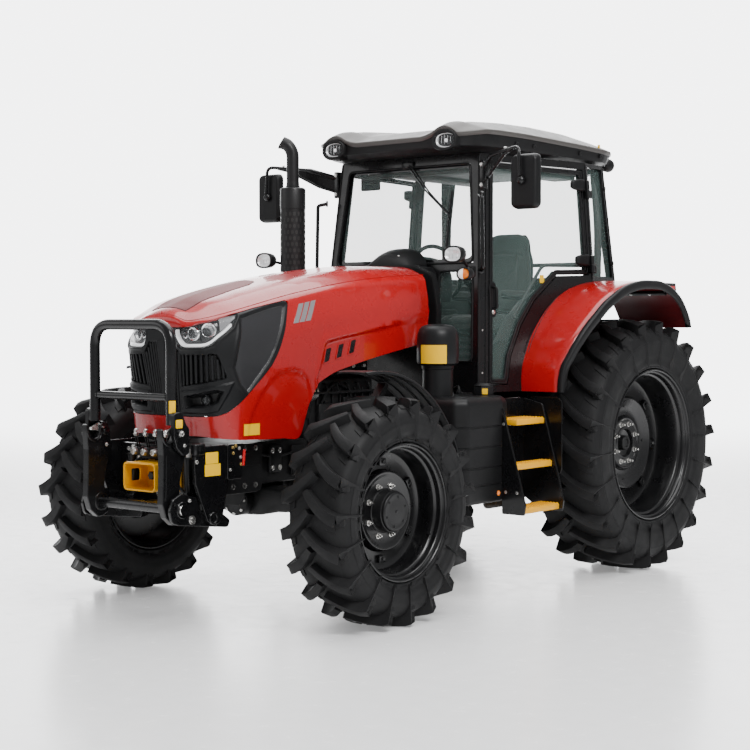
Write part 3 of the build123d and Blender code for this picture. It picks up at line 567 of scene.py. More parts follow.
def front_rim(name, body, node, side):
    cx, cy, cz = side * 1.005, YF, RF
    g = Geo()
    out = [(0.163, 0.3815), (0.1695, 0.3800), (0.1705, 0.3745), (0.1665, 0.3700), (0.1560, 0.3670), (0.1500, 0.3640), (0.1480, 0.3560), (0.1440, 0.3530), (0.1250, 0.3515), (0.1180, 0.3490), (0.1120, 0.3400),
           (0.1060, 0.3360), (0.060, 0.3330), (0.020, 0.3300), (0.008, 0.3240), (0.0, 0.3100), (-0.004, 0.290), (-0.006, 0.245), (-0.003, 0.2300), (0.012, 0.2240), (0.034, 0.2200), (0.0400, 0.2150), (0.0405, 0.2080),
           (0.0360, 0.1990), (0.0280, 0.1860), (0.0260, 0.1780), (0.0262, 0.1240), (0.0262, 0.118)]
    g.add(*revolve_x([(side * x, r) for x, r in out], cx, cy, cz, 128))
    # back of the rim
    inn = [(-0.163, 0.3815), (-0.1695, 0.380), (-0.1705, 0.3745), (-0.1665, 0.368), (-0.150, 0.362), (-0.140, 0.345), (-0.06, 0.325), (-0.034, 0.310), (-0.028, 0.280), (-0.028, 0.20), (-0.098, 0.165), (-0.100, 0.12), (-0.100, 0.04)]
    g.add(*revolve_x([(side * x, r) for x, r in inn], cx, cy, cz, 96))
    g.add(*revolve_x([(side * 0.163, 0.3815), (side * 0.145, 0.3630), (side * -0.145, 0.3630), (side * -0.163, 0.3815)], cx, cy, cz, 64))
    # hub cap: stepped drum with a domed plate
    cap = [(0.022, 0.124), (0.030, 0.124), (0.034, 0.1175), (0.088, 0.1165), (0.092, 0.1145), (0.094, 0.110), (0.098, 0.1085), (0.107, 0.1075), (0.111, 0.104), (0.1135, 0.096), (0.1120, 0.090), (0.1125, 0.060), (0.1135, 0.020), (0.1135, 0.0001)]
    v, f = revolve_x([(side * x, r) for x, r in cap], cx, cy, cz, 72)
    g.add(v, f, 1)
    for k in range(6):
        a = radians(60 * k + 12)
        g.add(*bolt((cx + side * 0.1115, cy + 0.082 * sin(a), cz + 0.082 * cos(a)), (side, 0, 0), 0.0062, 0.005, washer=False), m=1)
    g.add(*lathe([(0, 0.010), (0.004, 0.0095), (0.005, 0.006)], (cx + side * 0.112, cy, cz), (side, 0, 0), 16), m=1)
    for k in range(8):
        a = radians(45 * k + 22.5)
        p = (cx + side * 0.0262, cy + 0.1450 * sin(a), cz + 0.1450 * cos(a))
        g.add(*bolt(p, (side, 0, 0), 0.0120, 0.016, rot=a), m=2)
        g.add(*lathe([(0.010, 0.0062), (0.026, 0.0062), (0.028, 0.005)], p, (side, 0, 0), 12), m=2)
    for k in range(6):
        a = radians(60 * k)
        p = (cx - side * 0.0045, cy + 0.2700 * sin(a), cz + 0.2700 * cos(a))
        g.add(*rbox(-0.020, 0.020, -0.028, 0.028, -0.004, 0.020, 0.005), m=0, mat=frame_to(p, (side, 0, 0), (0, sin(a), cos(a))))
        g.add(*bolt((p[0] + side * 0.020, p[1], p[2]), (side, 0, 0), 0.0100, 0.010, rot=a), m=0)
    a = radians(118)
    g.add(*tube(round_path([(cx + side * 0.09, cy + 0.338 * sin(a), cz + 0.338 * cos(a)), (cx + side * 0.11, cy + 0.322 * sin(a), cz + 0.322 * cos(a)), (cx + side * 0.135, cy + 0.318 * sin(a), cz + 0.318 * cos(a))], 0.02), 0.0045, 10), m=1)
    ob = g.make(name, ["rim_black", "dark_grey_steel", "zinc"], body, "black_steel", smooth=32)
    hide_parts(node)


def rear_rim(name, body, node, side):
    cx, cy, cz = side * 0.940, YR, RR
    g = Geo()
    out = [(0.233, 0.5085), (0.2395, 0.507), (0.2405, 0.501), (0.2365, 0.4965), (0.2240, 0.4935), (0.2180, 0.4900), (0.2160, 0.4820), (0.2120, 0.4790), (0.1900, 0.4770), (0.1820, 0.4740), (0.1760, 0.4640), (0.1700, 0.4600),
           (0.090, 0.4550), (0.030, 0.4510), (0.010, 0.4430), (0.0, 0.4250), (-0.004, 0.400), (-0.007, 0.345), (-0.003, 0.3260), (0.010, 0.3180), (0.030, 0.3130), (0.0380, 0.3080), (0.0390, 0.3000), (0.0330, 0.2900),
           (0.012, 0.2550), (0.004, 0.2350), (0.002, 0.2100), (0.004, 0.1900), (0.0200, 0.1780), (0.0260, 0.1720), (0.0265, 0.1660), (0.0240, 0.1600), (0.0190, 0.1560), (0.0190, 0.1150), (0.0240, 0.1080), (0.0240, 0.0980), (0.0100, 0.0940),
           (0.0, 0.0900), (-0.010, 0.060), (-0.010, 0.0001)]
    g.add(*revolve_x([(side * x, r) for x, r in out], cx, cy, cz, 144))
    inn = [(-0.233, 0.5085), (-0.2395, 0.507), (-0.2405, 0.501), (-0.2365, 0.4965), (-0.218, 0.488), (-0.205, 0.472), (-0.08, 0.445), (-0.036, 0.430), (-0.028, 0.40), (-0.026, 0.21), (-0.078, 0.205), (-0.080, 0.092), (-0.195, 0.090), (-0.198, 0.062), (-0.24, 0.060)]
    g.add(*revolve_x([(side * x, r) for x, r in inn], cx, cy, cz, 96))
    g.add(*revolve_x([(side * 0.233, 0.5085), (side * 0.215, 0.4900), (side * -0.215, 0.4900), (side * -0.233, 0.5085)], cx, cy, cz, 64))
    # shaft end in the middle
    v, f = revolve_x([(side * x, r) for x, r in [(-0.012, 0.052), (0.030, 0.050), (0.034, 0.046), (0.034, 0.030), (0.026, 0.026), (0.026, 0.0001)]], cx, cy, cz, 40)
    g.add(v, f, 1)
    for k in range(8):
        a = radians(45 * k + 22.5)
        p = (cx + side * 0.0190, cy + 0.1350 * sin(a), cz + 0.1350 * cos(a))
        g.add(*bolt(p, (side, 0, 0), 0.0125, 0.018, rot=a), m=2)
        g.add(*lathe([(0.010, 0.0075), (0.034, 0.0075), (0.036, 0.006)], p, (side, 0, 0), 12), m=2)
    for k in range(8):
        a = radians(45 * k + 4)
        p = (cx - side * 0.0055, cy + 0.3780 * sin(a), cz + 0.3780 * cos(a))
        g.add(*rbox(-0.026, 0.026, -0.030, 0.030, -0.004, 0.022, 0.005), m=0, mat=frame_to(p, (side, 0, 0), (0, sin(a), cos(a))))
        g.add(*bolt((p[0] + side * 0.022, p[1], p[2]), (side, 0, 0), 0.0110, 0.012, rot=a), m=0)
    for k in range(4):
        a = radians(90 * k)
        p = (cx + side * 0.0105, cy + 0.2560 * sin(a), cz + 0.2560 * cos(a))
        g.add(*lathe([(-0.004, 0.011), (0.003, 0.0125), (0.004, 0.0115), (0.0, 0.008), (0.0, 0.0005)], p, (side, 0, 0), 16), m=3)
    ob = g.make(name, ["rim_black", "dark_grey_steel", "zinc", "mesh_black"], body, "black_steel", smooth=32)
    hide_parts(node)


for nm, side in (("left", 1), ("right", -1)):
    tyre(f"front_{nm}_tyre_treaded", f"front_{nm}_wheel", f"front_{nm}_tyre", side, side * 1.005, YF, RF, 0.400, 0.381, 0.340, 19, 0.042)
    tyre(f"rear_{nm}_tyre_treaded", f"rear_{nm}_wheel", f"rear_{nm}_tyre", side, side * 0.940, YR, RR, 0.520, 0.508, 0.480, 22, 0.048)
    front_rim(f"front_{nm}_rim_detailed", f"front_{nm}_wheel", f"front_{nm}_rim", side)
    rear_rim(f"rear_{nm}_rim_detailed", f"rear_{nm}_wheel", f"rear_{nm}_rim", side)

# ------------------------------------------------------------------ bonnet
# one row per station round the outline from the nose to the back: y0, rake, T (x, z), A, S, W, B
ST = [
    (-2.070, 0.14, (0.000, -1.930, 1.777), (0.000, -2.015, 1.742), (0.000, -2.0700, 1.700), (0.000, -2.045, 1.52), (0.000, -1.978, 1.040)),
    (-2.070, 0.14, (0.000, -1.927, 1.778), (0.070, -2.010, 1.741), (0.125, -2.0680, 1.692), (0.130, -2.043, 1.52), (0.125, -1.977, 1.040)),
    (-2.070, 0.14, (0.000, -1.918, 1.782), (0.130, -1.985, 1.742), (0.222, -2.0560, 1.662), (0.240, -2.039, 1.52), (0.232, -1.972, 1.040)),
    (-2.000, 0.10, (0.000, -1.902, 1.788), (0.185, -1.945, 1.750), (0.318, -1.9920, 1.680), (0.352, -1.979, 1.54), (0.345, -1.928, 1.030)),
    (-1.880, 0.05, (0.000, -1.865, 1.802), (0.232, -1.880, 1.776), (0.372, -1.8750, 1.708), (0.412, -1.868, 1.56), (0.408, -1.841, 1.022)),
    (-1.700, 0.00, (0.000, -1.700, 1.850), (0.250, -1.700, 1.826), (0.392, -1.7000, 1.748), (0.430, -1.700, 1.60), (0.424, -1.700, 1.016)),
    (-1.500, 0.00, (0.000, -1.500, 1.894), (0.252, -1.500, 1.872), (0.393, -1.5000, 1.791), (0.430, -1.500, 1.64), (0.427, -1.500, 1.012)),
    (-1.365, 0.00, (0.000, -1.365, 1.921), (0.252, -1.365, 1.900), (0.394, -1.3650, 1.818), (0.430, -1.365, 1.67), (0.428, -1.365, 1.012)),
    (-1.310, 0.00, (0.000, -1.310, 1.931), (0.252, -1.310, 1.911), (0.394, -1.3100, 1.828), (0.430, -1.310, 1.678), (0.428, -1.310, 1.120)),
    (-1.265, 0.00, (0.000, -1.265, 1.938), (0.252, -1.265, 1.919), (0.394, -1.2650, 1.836), (0.430, -1.265, 1.683), (0.428, -1.265, 1.225)),
    (-1.215, 0.00, (0.000, -1.215, 1.946), (0.252, -1.215, 1.927), (0.394, -1.2150, 1.844), (0.430, -1.215, 1.690), (0.427, -1.215, 1.296)),
    (-1.100, 0.00, (0.000, -1.100, 1.963), (0.252, -1.100, 1.946), (0.394, -1.1000, 1.863), (0.430, -1.100, 1.700), (0.426, -1.100, 1.356)),
    (-0.865, 0.00, (0.000, -0.865, 1.994), (0.251, -0.865, 1.978), (0.392, -0.8650, 1.896), (0.429, -0.865, 1.720), (0.425, -0.865, 1.418)),
    (-0.600, 0.00, (0.000, -0.600, 2.018), (0.250, -0.600, 2.004), (0.390, -0.6000, 1.925), (0.428, -0.600, 1.740), (0.424, -0.600, 1.470)),
    (-0.350, 0.00, (0.000, -0.350, 2.028), (0.250, -0.350, 2.016), (0.388, -0.3500, 1.945), (0.426, -0.350, 1.752), (0.422, -0.350, 1.512)),
    (-0.150, 0.00, (0.000, -0.150, 2.032), (0.250, -0.150, 2.020), (0.385, -0.1500, 1.956), (0.424, -0.150, 1.760), (0.420, -0.150, 1.545)),
]
STEPS = [6, 10, 10, 12, 14, 14, 12, 8, 8, 8, 12, 16, 16, 14, 12]


def hood_stations(mult=1.0):
    P = np.array([[list(p) for p in row[2:]] for row in ST], float)          # stations x 5 x 3
    out = []
    k = len(P)
    for i in range(k - 1):
        n = max(2, int(STEPS[i] * mult))
        p1, p2 = P[i], P[i + 1]
        p0 = P[i - 1] if i > 0 else np.array([[-q[0], q[1], q[2]] for q in P[1]])
        p3 = P[i + 2] if i + 2 < k else 2 * p2 - p1
        # chord-aware tangents keep the spans from overshooting
        d1 = np.linalg.norm(p2 - p1, axis=1, keepdims=True) + 1e-9
        d0 = np.linalg.norm(p1 - p0, axis=1, keepdims=True) + 1e-9
        d2 = np.linalg.norm(p3 - p2, axis=1, keepdims=True) + 1e-9
        m1 = ((p2 - p1) / d1 * d0 + (p1 - p0) / d0 * d1) / (d0 + d1) * d1
        m2 = ((p3 - p2) / d2 * d1 + (p2 - p1) / d1 * d2) / (d1 + d2) * d1
        for s in range(n):
            t = s / n
            h = (2 * t ** 3 - 3 * t ** 2 + 1, t ** 3 - 2 * t ** 2 + t, -2 * t ** 3 + 3 * t ** 2, t ** 3 - t ** 2)
            out.append(h[0] * p1 + h[1] * m1 + h[2] * p2 + h[3] * m2)
    out.append(P[-1])
    return out


def corner(a, b, c, r, n):
    a, b, c = map(np.array, (a, b, c))
    u, w = a - b, c - b
    lu, lw = np.linalg.norm(u), np.linalg.norm(w)
    t = min(r, lu * 0.48, lw * 0.48)
    p0, p1 = b + u / lu * t, b + w / lw * t
    return p0, p1, [p0 * (1 - s) ** 2 + b * 2 * s * (1 - s) + p1 * s * s for s in np.linspace(0, 1, n)]


def hood_profile(T, A, S, W, B, rows=(7, 6, 7, 9, 9, 6, 18)):
    a0, a1, ca = corner(T, A, S, 0.085, rows[1])
    s0, s1, cs = corner(A, S, W, 0.030, rows[3])
    w0, w1, cw = corner(S, W, B, 0.100, rows[5])
    out = [T + (a0 - T) * t for t in np.linspace(0, 1, rows[0], endpoint=False)] + ca
    seam = a1 + (s0 - a1) * 0.93
    out += [a1 + (seam - a1) * t for t in np.linspace(0, 1, rows[2], endpoint=False)[1:]]
    k = len(out)
    d = (s0 - a1) / np.linalg.norm(s0 - a1)
    out += [seam - d * 0.0035, seam - d * 0.0016, seam + d * 0.0016, seam + d * 0.0035]
    out += cs
    out += [s1 + (w0 - s1) * t for t in np.linspace(0, 1, rows[4], endpoint=False)[1:]] + cw
    out += [w1 + (B - w1) * t for t in np.linspace(0, 1, rows[6])[1:]]
    return out, (k + 1, k + 2), k + 4 + rows[3] // 2


def smoothstep(x):
    x = np.clip(x, 0, 1)
    return x * x * (3 - 2 * x)


def poly_sd(px, py, poly):
    """Signed distance to a closed polygon, positive inside."""
    px, py = np.asarray(px, float), np.asarray(py, float)
    d = np.full(px.shape, 1e9)
    inside = np.zeros(px.shape, bool)
    n = len(poly)
    for i in range(n):
        x0, y0 = poly[i]
        x1, y1 = poly[(i + 1) % n]
        ex, ey = x1 - x0, y1 - y0
        t = np.clip(((px - x0) * ex + (py - y0) * ey) / (ex * ex + ey * ey), 0, 1)
        d = np.minimum(d, np.hypot(px - x0 - t * ex, py - y0 - t * ey))
        c = (y0 > py) != (y1 > py)
        inside ^= c & (px < (x1 - x0) * (py - y0) / ((y1 - y0) if y1 != y0 else 1e-12) + x0)
    return np.where(inside, d, -d)


def grid_normals(G):
    du, dv = np.gradient(G, axis=0), np.gradient(G, axis=1)
    n = np.cross(du, dv)
    ln = np.linalg.norm(n, axis=2, keepdims=True)
    n = n / np.maximum(ln, 1e-9)
    c = np.array([0.0, -1.0, 1.3])
    flip = np.sign(((G - c) * n).sum(axis=2, keepdims=True))
    flip[flip == 0] = 1
    return n * flip


MASKP = [(-2.30, 1.640), (-2.062, 1.643), (-2.02, 1.670), (-1.93, 1.697), (-1.86, 1.716), (-1.70, 1.752), (-1.56, 1.778), (-1.455, 1.797), (-1.435, 1.790), (-1.440, 1.770), (-1.49, 1.63), (-1.525, 1.545), (-1.555, 1.487),
         (-1.60, 1.428), (-1.68, 1.357), (-1.761, 1.289), (-1.85, 1.214), (-1.905, 1.172), (-1.945, 1.154), (-1.99, 1.147), (-2.30, 1.140)]
RECESS = [(-0.10, 1.722), (-0.40, 1.682), (-0.66, 1.637), (-1.00, 1.588), (-1.125, 1.566), (-1.150, 1.545), (-1.19, 1.42), (-1.222, 1.345), (-1.20, 1.20), (-0.10, 1.20)]
ARCHP = [(-1.76, 1.16), (-1.70, 1.262), (-1.62, 1.345), (-1.545, 1.390), (-1.44, 1.412), (-1.345, 1.395), (-1.285, 1.345), (-1.262, 1.27), (-1.255, 0.95), (-1.80, 0.95), (-1.79, 1.08)]


def hood_grid(mult, rows):
    cols, seam = [], None
    for st in hood_stations(mult):
        prof, seam, mid = hood_profile(*st, rows=rows)
        cols.append(prof)
    return np.array(cols), seam, mid


G, SEAM, S_MID = hood_grid(1.0, (7, 6, 7, 9, 12, 6, 34))
HN = grid_normals(G)
Y, Z = G[:, :, 1], G[:, :, 2]
rowi = np.arange(G.shape[1])[None, :] * np.ones((G.shape[0], 1))
side = rowi > S_MID + 3
depth = np.zeros(Y.shape)
depth[:, SEAM[0]] = depth[:, SEAM[1]] = 0.006
# pressed-in lower side with its vents
sd = poly_sd(Y, Z, RECESS)
fade = smoothstep((-0.17 - Y) / 0.12)
depth = np.where(side, depth + 0.013 * smoothstep(sd / 0.030 + 0.1), depth)
# a soft roll above the pressing
rid = np.exp(-((sd + 0.020) / 0.018) ** 2)
depth = np.where(side, depth - 0.0035 * rid * smoothstep((Y + 1.25) / 0.1), depth)
sd2 = poly_sd(Y, Z, ARCHP)
depth = np.where(side & (sd < 0), depth + 0.008 * smoothstep(sd2 / 0.022), depth)
# second soft crease higher up, running back from the stripes
zc = np.interp(Y, [-1.30, -0.15], [1.655, 1.805])
depth = np.where(side, depth + 0.004 * smoothstep((zc - Z) / 0.035) * smoothstep((Y + 1.42) / 0.25) * (1 - smoothstep(sd / 0.02 + 1)), depth)
HG = G - HN * depth[:, :, None]


def hood_bm(GG, mirror=True):
    g = Geo()
    nu, nv = GG.shape[:2]
    v, f = rings([[tuple(GG[i, j]) for j in range(nv)] for i in range(nu)], closed_v=False)
    g.add(v, f)
    g.mirror()
    bm = bmesh.new()
    vs = [bm.verts.new(p) for p in g.v]
    for q in g.f:
        try:
            bm.faces.new([vs[i] for i in q])
        except ValueError:
            pass
    bmesh.ops.remove_doubles(bm, verts=bm.verts, dist=1e-5)
    bmesh.ops.recalc_face_normals(bm, faces=bm.faces)
    return bm


def cut_x_prism(bm, poly, keep_inside):
    """Cuts along a (y, z) outline that runs right through in x, and drops one side."""
    n = len(poly)
    for i in range(n):
        (y0, z0), (y1, z1) = poly[i], poly[(i + 1) % n]
        ey, ez = y1 - y0, z1 - z0
        L = hypot(ey, ez)
        mid, half = Vector((0, (y0 + y1) / 2, (z0 + z1) / 2)), L / 2 + 0.02
        near = [f for f in bm.faces if (f.calc_center_median().yz - mid.yz).length < half + 0.04]
        geom = list({e for f in near for e in f.edges}) + near + list({v for f in near for v in f.verts})
        bmesh.ops.bisect_plane(bm, geom=geom, dist=1e-6, plane_co=mid, plane_no=Vector((0, -ez / L, ey / L)))
    cs = [f.calc_center_median() for f in bm.faces]
    sd_ = poly_sd([c.y for c in cs], [c.z for c in cs], poly)
    drop = [f for f, s in zip(bm.faces, sd_) if (s > 0) != keep_inside]
    bmesh.ops.delete(bm, geom=drop, context="FACES")


def flange(bm, d, away):
    """Folds the open edges in by d."""
    be = [e for e in bm.edges if len(e.link_faces) == 1]
    nrm = {v: v.normal.copy() for e in be for v in e.verts}
    r = bmesh.ops.extrude_edge_only(bm, edges=be)
    nv = [g_ for g_ in r["geom"] if isinstance(g_, bmesh.types.BMVert)]
    src = {}
    for v in nv:
        best = min(nrm, key=lambda w: (w.co - v.co).length_squared) if len(nrm) < 1 else None
    kd_src = list(nrm)
    from mathutils.kdtree import KDTree
    kd = KDTree(len(kd_src))
    for i, v in enumerate(kd_src):
        kd.insert(v.co, i)
    kd.balance()
    for v in nv:
        _, i, _ = kd.find(v.co)
        v.co -= nrm[kd_src[i]] * d


def from_bm(name, bm, mats, body, smooth=35.0, fmat=None):
    me = bpy.data.meshes.new(name)
    bm.to_mesh(me)
    bm.free()
    for mm in mats:
        me.materials.append(M[mm])
    ob = bpy.data.objects.new(name, me)
    scene.collection.objects.link(ob)
    shade(me, smooth)
    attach(ob, body)
    return ob


bm = hood_bm(HG)
bm.normal_update()
cut_x_prism(bm, MASKP, keep_inside=False)
bm.normal_update()
flange(bm, 0.016, None)
bmesh.ops.recalc_face_normals(bm, faces=bm.faces)
hood_ob = from_bm("bonnet_shell_shaped", bm, ["red_gloss"], "bonnet", 30)
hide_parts("bonnet_shell")

from mathutils.bvhtree import BVHTree
hood_bvh = BVHTree.FromPolygons([tuple(v.co) for v in hood_ob.data.vertices], [tuple(p.vertices) for p in hood_ob.data.polygons])


def on_hood_side(y, z, side_=1, lift=0.0):
    """Point on the bonnet's side at (y, z), lifted along its normal."""
    loc, nrm, _, _ = hood_bvh.ray_cast(Vector((side_ * 0.8, y, z)), Vector((-side_, 0, 0)))
    if loc is None:
        loc, nrm = Vector((side_ * 0.42, y, z)), Vector((side_, 0, 0))
    if nrm.x * side_ < 0:
        nrm = -nrm
    return loc + nrm * lift, nrm


def on_hood_top(x, y, lift=0.0):
    loc, nrm, _, _ = hood_bvh.ray_cast(Vector((x, y, 2.6)), Vector((0, 0, -1)))
    if nrm.z < 0:
        nrm = -nrm
    return loc + nrm * lift, nrm


def patch(fn, outline, lift0, lift1, name, mats, body, slot, n=14, m=None, geo=None, mi=0):
    """Raised patch inside a convex 4-corner outline, bilinear; fn(u, v, lift) gives points."""
    (a, b, c, d) = outline
    m = m or n
    top, low = [], []
    for j in range(m + 1):
        t = j / m
        top.append([fn(*(np.array(a) * (1 - s) * (1 - t) + np.array(b) * s * (1 - t) + np.array(c) * s * t + np.array(d) * (1 - s) * t), lift1)[0] for s in np.linspace(0, 1, n + 1)])
    v, f = rings([[tuple(p) for p in r] for r in top], closed_v=False)
    border = [(0, i) for i in range(n + 1)] + [(j, n) for j in range(1, m + 1)] + [(m, i) for i in range(n - 1, -1, -1)] + [(j, 0) for j in range(m - 1, 0, -1)]
    bi = [j * (n + 1) + i for j, i in border]
    base = len(v)
    for j, i in border:
        s, t = i / n, j / m
        q = np.array(a) * (1 - s) * (1 - t) + np.array(b) * s * (1 - t) + np.array(c) * s * t + np.array(d) * (1 - s) * t
        v.append(tuple(fn(*q, lift0)[0]))
    k = len(bi)
    for i in range(k):
        f.append([bi[i], bi[(i + 1) % k], base + (i + 1) % k, base + i])
    g = geo or Geo()
    g.add(v, f, mi)
    if geo is None:
        return g.make(name, mats, body, slot)


# dark top panel with a fine border
PANEL = [(-1.985, 0.135), (-1.965, 0.140), (-1.75, 0.150), (-1.48, 0.132), (-1.40, 0.095), (-1.385, 0.070)]
g = Geo()
for mi, shrink, lift in ((1, -0.004, 0.0012), (0, 0.0, 0.0024)):
    ys = np.linspace(-1.985 + shrink, -1.385 - shrink, 60)
    hw_ = np.interp(ys, [p[0] for p in PANEL], [p[1] for p in PANEL]) - shrink
    rs = []
    for y, h in zip(ys, hw_):
        rs.append([tuple(on_hood_top(h * t, y, lift)[0]) for t in np.linspace(-1, 1, 25)])
    v, f = rings(rs, closed_v=False)
    g.add(v, f, mi)
    nb = [(0, i) for i in range(25)] + [(j, 24) for j in range(1, 60)] + [(59, i) for i in range(23, -1, -1)] + [(j, 0) for j in range(58, 0, -1)]
    b0 = [j * 25 + i for j, i in nb]
    vv = [v[i] for i in b0] + [(v[i][0], v[i][1], v[i][2] - 0.004) for i in b0]
    kk = len(b0)
    g.add(vv, [[i, (i + 1) % kk, kk + (i + 1) % kk, kk + i] for i in range(kk)], mi)
g.make("bonnet_top_panel", ["red_matt", "black_matt"], "bonnet", "red_gloss", smooth=30)

# three silver stripes and three mesh vents a side
for sn, sx in (("left", 1), ("right", -1)):
    fn = lambda u, v, l, sx=sx: on_hood_side(u, v, sx, l)
    g = Geo()
    for k in range(3):
        o = 0.052 * k
        y0, z0, y1, z1 = -1.352 + o, 1.776 + o * 0.17, -1.418 + o, 1.664 + o * 0.13
        patch(fn, [(y0, z0), (y0 + 0.040, z0 + 0.006), (y1 + 0.040, z1 + 0.004), (y1, z1)], -0.002, 0.0022, "", [], "", "", n=6, m=12, geo=g, mi=0)
    g.make(f"bonnet_stripes_{sn}", ["silver"], "bonnet", "zinc", smooth=30)
    g = Geo()
    for k in range(3):
        o = 0.112 * k
        top = [(-1.132 + o, 1.520 + o * 0.21), (-1.072 + o, 1.532 + o * 0.21)]
        bot = [(-1.098 + o, 1.438 + o * 0.21), (-1.158 + o, 1.424 + o * 0.21)]
        q = [top[0], top[1], bot[0], bot[1]]
        # frame
        fr = smooth_poly(q, 0.010, 4)
        inn = smooth_poly(offset(q, 0.007), 0.007, 4)
        r0 = [tuple(fn(y, z, -0.002)[0]) for y, z in fr]
        r1 = [tuple(fn(y, z, 0.0035)[0]) for y, z in fr]
        r2 = [tuple(fn(y, z, 0.0035)[0]) for y, z in inn]
        r3 = [tuple(fn(y, z, -0.001)[0]) for y, z in inn]
        g.add(*rings([r0, r1, r2, r3]), 1)
        patch(fn, offset(q, 0.005), -0.003, 0.0005, "", [], "", "", n=4, m=6, geo=g, mi=0)
        # woven wires
        a, b, c, d = [np.array(p) for p in offset(q, 0.007)]
        for s in np.linspace(0.08, 0.92, 7):
            p, r_ = a * (1 - s) + b * s, d * (1 - s) + c * s
            g.add(*tube([fn(*(p * (1 - t) + r_ * t), 0.0022 + 0.0008 * sin(i_ * pi))[0] for i_, t in enumerate(np.linspace(0, 1, 9))], 0.0014, 5), 2)
        for s in np.linspace(0.05, 0.95, 13):
            p, r_ = a * (1 - s) + d * s, b * (1 - s) + c * s
            g.add(*tube([fn(*(p * (1 - t) + r_ * t), 0.0030)[0] for t in np.linspace(0, 1, 7)], 0.0012, 5), 2)
    g.make(f"bonnet_vents_{sn}", ["mesh_black", "red_gloss", "black_steel"], "bonnet", "black_matt", smooth=30)

# ------------------------------------------------------------------ front mask
PHI_C = -1.80
GD, _, SM = hood_grid(2.0, (3, 3, 3, 9, 12, 6, 30))
NU = GD.shape[0]


def outline_at(z):
    xs, ys = np.empty(NU), np.empty(NU)
    for i in range(NU):
        zz, xx, yy = GD[i, SM - 2:, 2], GD[i, SM - 2:, 0], GD[i, SM - 2:, 1]
        xs[i], ys[i] = np.interp(-z, -zz, xx), np.interp(-z, -zz, yy)
    ph = np.degrees(np.arctan2(xs, -(ys - PHI_C)))
    return ph, xs, ys


ZL = np.linspace(1.10, 1.82, 73)
TAB = []
PH = np.arange(0, 141, 1.0)
for z in ZL:
    ph, xs, ys = outline_at(z)
    o = np.argsort(ph)
    TAB.append((np.interp(PH, ph[o], xs[o]), np.interp(PH, ph[o], ys[o])))
TX, TY = np.array([t[0] for t in TAB]), np.array([t[1] for t in TAB])


def surf(phi, z):
    """Bonnet surface at an angle round the nose and a height; numpy arrays allowed."""
    phi, z = np.asarray(phi, float), np.asarray(z, float)
    s = np.sign(phi) + (phi == 0)
    a = np.clip(np.abs(phi), 0, 139.99)
    i = np.clip(((z - ZL[0]) / (ZL[1] - ZL[0])), 0, len(ZL) - 1.001)
    i0, fi = i.astype(int), i - i.astype(int)
    j0, fj = a.astype(int), a - a.astype(int)
    def L(T):
        return (T[i0, j0] * (1 - fi) * (1 - fj) + T[i0 + 1, j0] * fi * (1 - fj) + T[i0, j0 + 1] * (1 - fi) * fj + T[i0 + 1, j0 + 1] * fi * fj)
    return s * L(TX), L(TY)


def surf3(phi, z, d=0.0):
    """3-D point, d metres inside the surface."""
    e = 0.8
    x, y = surf(phi, z)
    x1, y1 = surf(phi + e, z)
    x0, y0 = surf(phi - e, z)
    tx, ty = x1 - x0, y1 - y0
    L = np.hypot(tx, ty) + 1e-9
    nx, ny = ty / L, -tx / L                      # outward for growing phi
    return np.stack([x - nx * -d * -1, y - ny * -d * -1, np.asarray(z, float) + 0 * x], -1) if False else np.stack([x + nx * -d * -1 * -1, y + ny * -d * -1 * -1, np.asarray(z, float) + 0 * x], -1)


def out_normal(phi, z):
    x1, y1 = surf(phi + 0.8, z)
    x0, y0 = surf(phi - 0.8, z)
    t = np.array([float(x1 - x0), float(y1 - y0)])
    t /= np.linalg.norm(t)
    n = Vector((t[1], -t[0], 0))
    x, y = surf(phi, z)
    if n.x * float(x) + n.y * (float(y) - PHI_C) < 0:
        n = -n
    return n


def S3(phi, z, d=0.0):
    """As surf3 for one point, d inward."""
    x, y = surf(phi, z)
    n = out_normal(phi, z)
    return Vector((float(x), float(y), z)) - n * d


LAMP = [(23.5, 1.640), (35, 1.656), (48.6, 1.675), (66, 1.696), (86, 1.717), (80, 1.645), (66, 1.572), (62, 1.548), (55, 1.530), (34, 1.528), (29, 1.545), (24.5, 1.590)]
SLAT_A = [(7.5, 1.150), (29.5, 1.150), (29.5, 1.290), (30.5, 1.505), (26, 1.530), (20, 1.565), (7.5, 1.565)]
SLAT_B = [(31.5, 1.315), (52, 1.330), (74, 1.362), (72, 1.400), (66, 1.490), (62, 1.500), (55, 1.493), (32, 1.492)]
FOG_O = [(31, 1.290), (50, 1.302), (80, 1.345), (76, 1.285), (68, 1.180), (60, 1.165), (33, 1.165)]
FOG_I = [(35, 1.262), (50, 1.278), (66, 1.303), (72, 1.292), (68, 1.228), (62, 1.205), (54, 1.196), (38, 1.192)]
SIDEP = [(88, 1.700), (110, 1.742), (129, 1.778), (131, 1.765), (124, 1.62), (119, 1.52), (113, 1.44), (100, 1.335), (92, 1.275), (84, 1.33), (79, 1.42), (82, 1.52), (86, 1.62)]


def top_of(y):
    return np.interp(y, [-2.30, -2.062, -2.02, -1.93, -1.86, -1.70, -1.56, -1.455, -1.435], [1.640, 1.643, 1.670, 1.697, 1.716, 1.752, 1.778, 1.797, 1.790]) - 0.004


LOWL = [(-1.437, 1.785), (-1.440, 1.770), (-1.49, 1.63), (-1.525, 1.545), (-1.555, 1.487), (-1.60, 1.428), (-1.68, 1.357), (-1.761, 1.289), (-1.85, 1.214), (-1.905, 1.172), (-1.945, 1.154), (-1.99, 1.147), (-2.30, 1.140)]


def low_of(y):
    return np.interp(-y, [-p[0] for p in LOWL], [p[1] for p in LOWL]) + 0.004


def scaled(poly):
    return [(p * 0.0062, z) for p, z in poly]


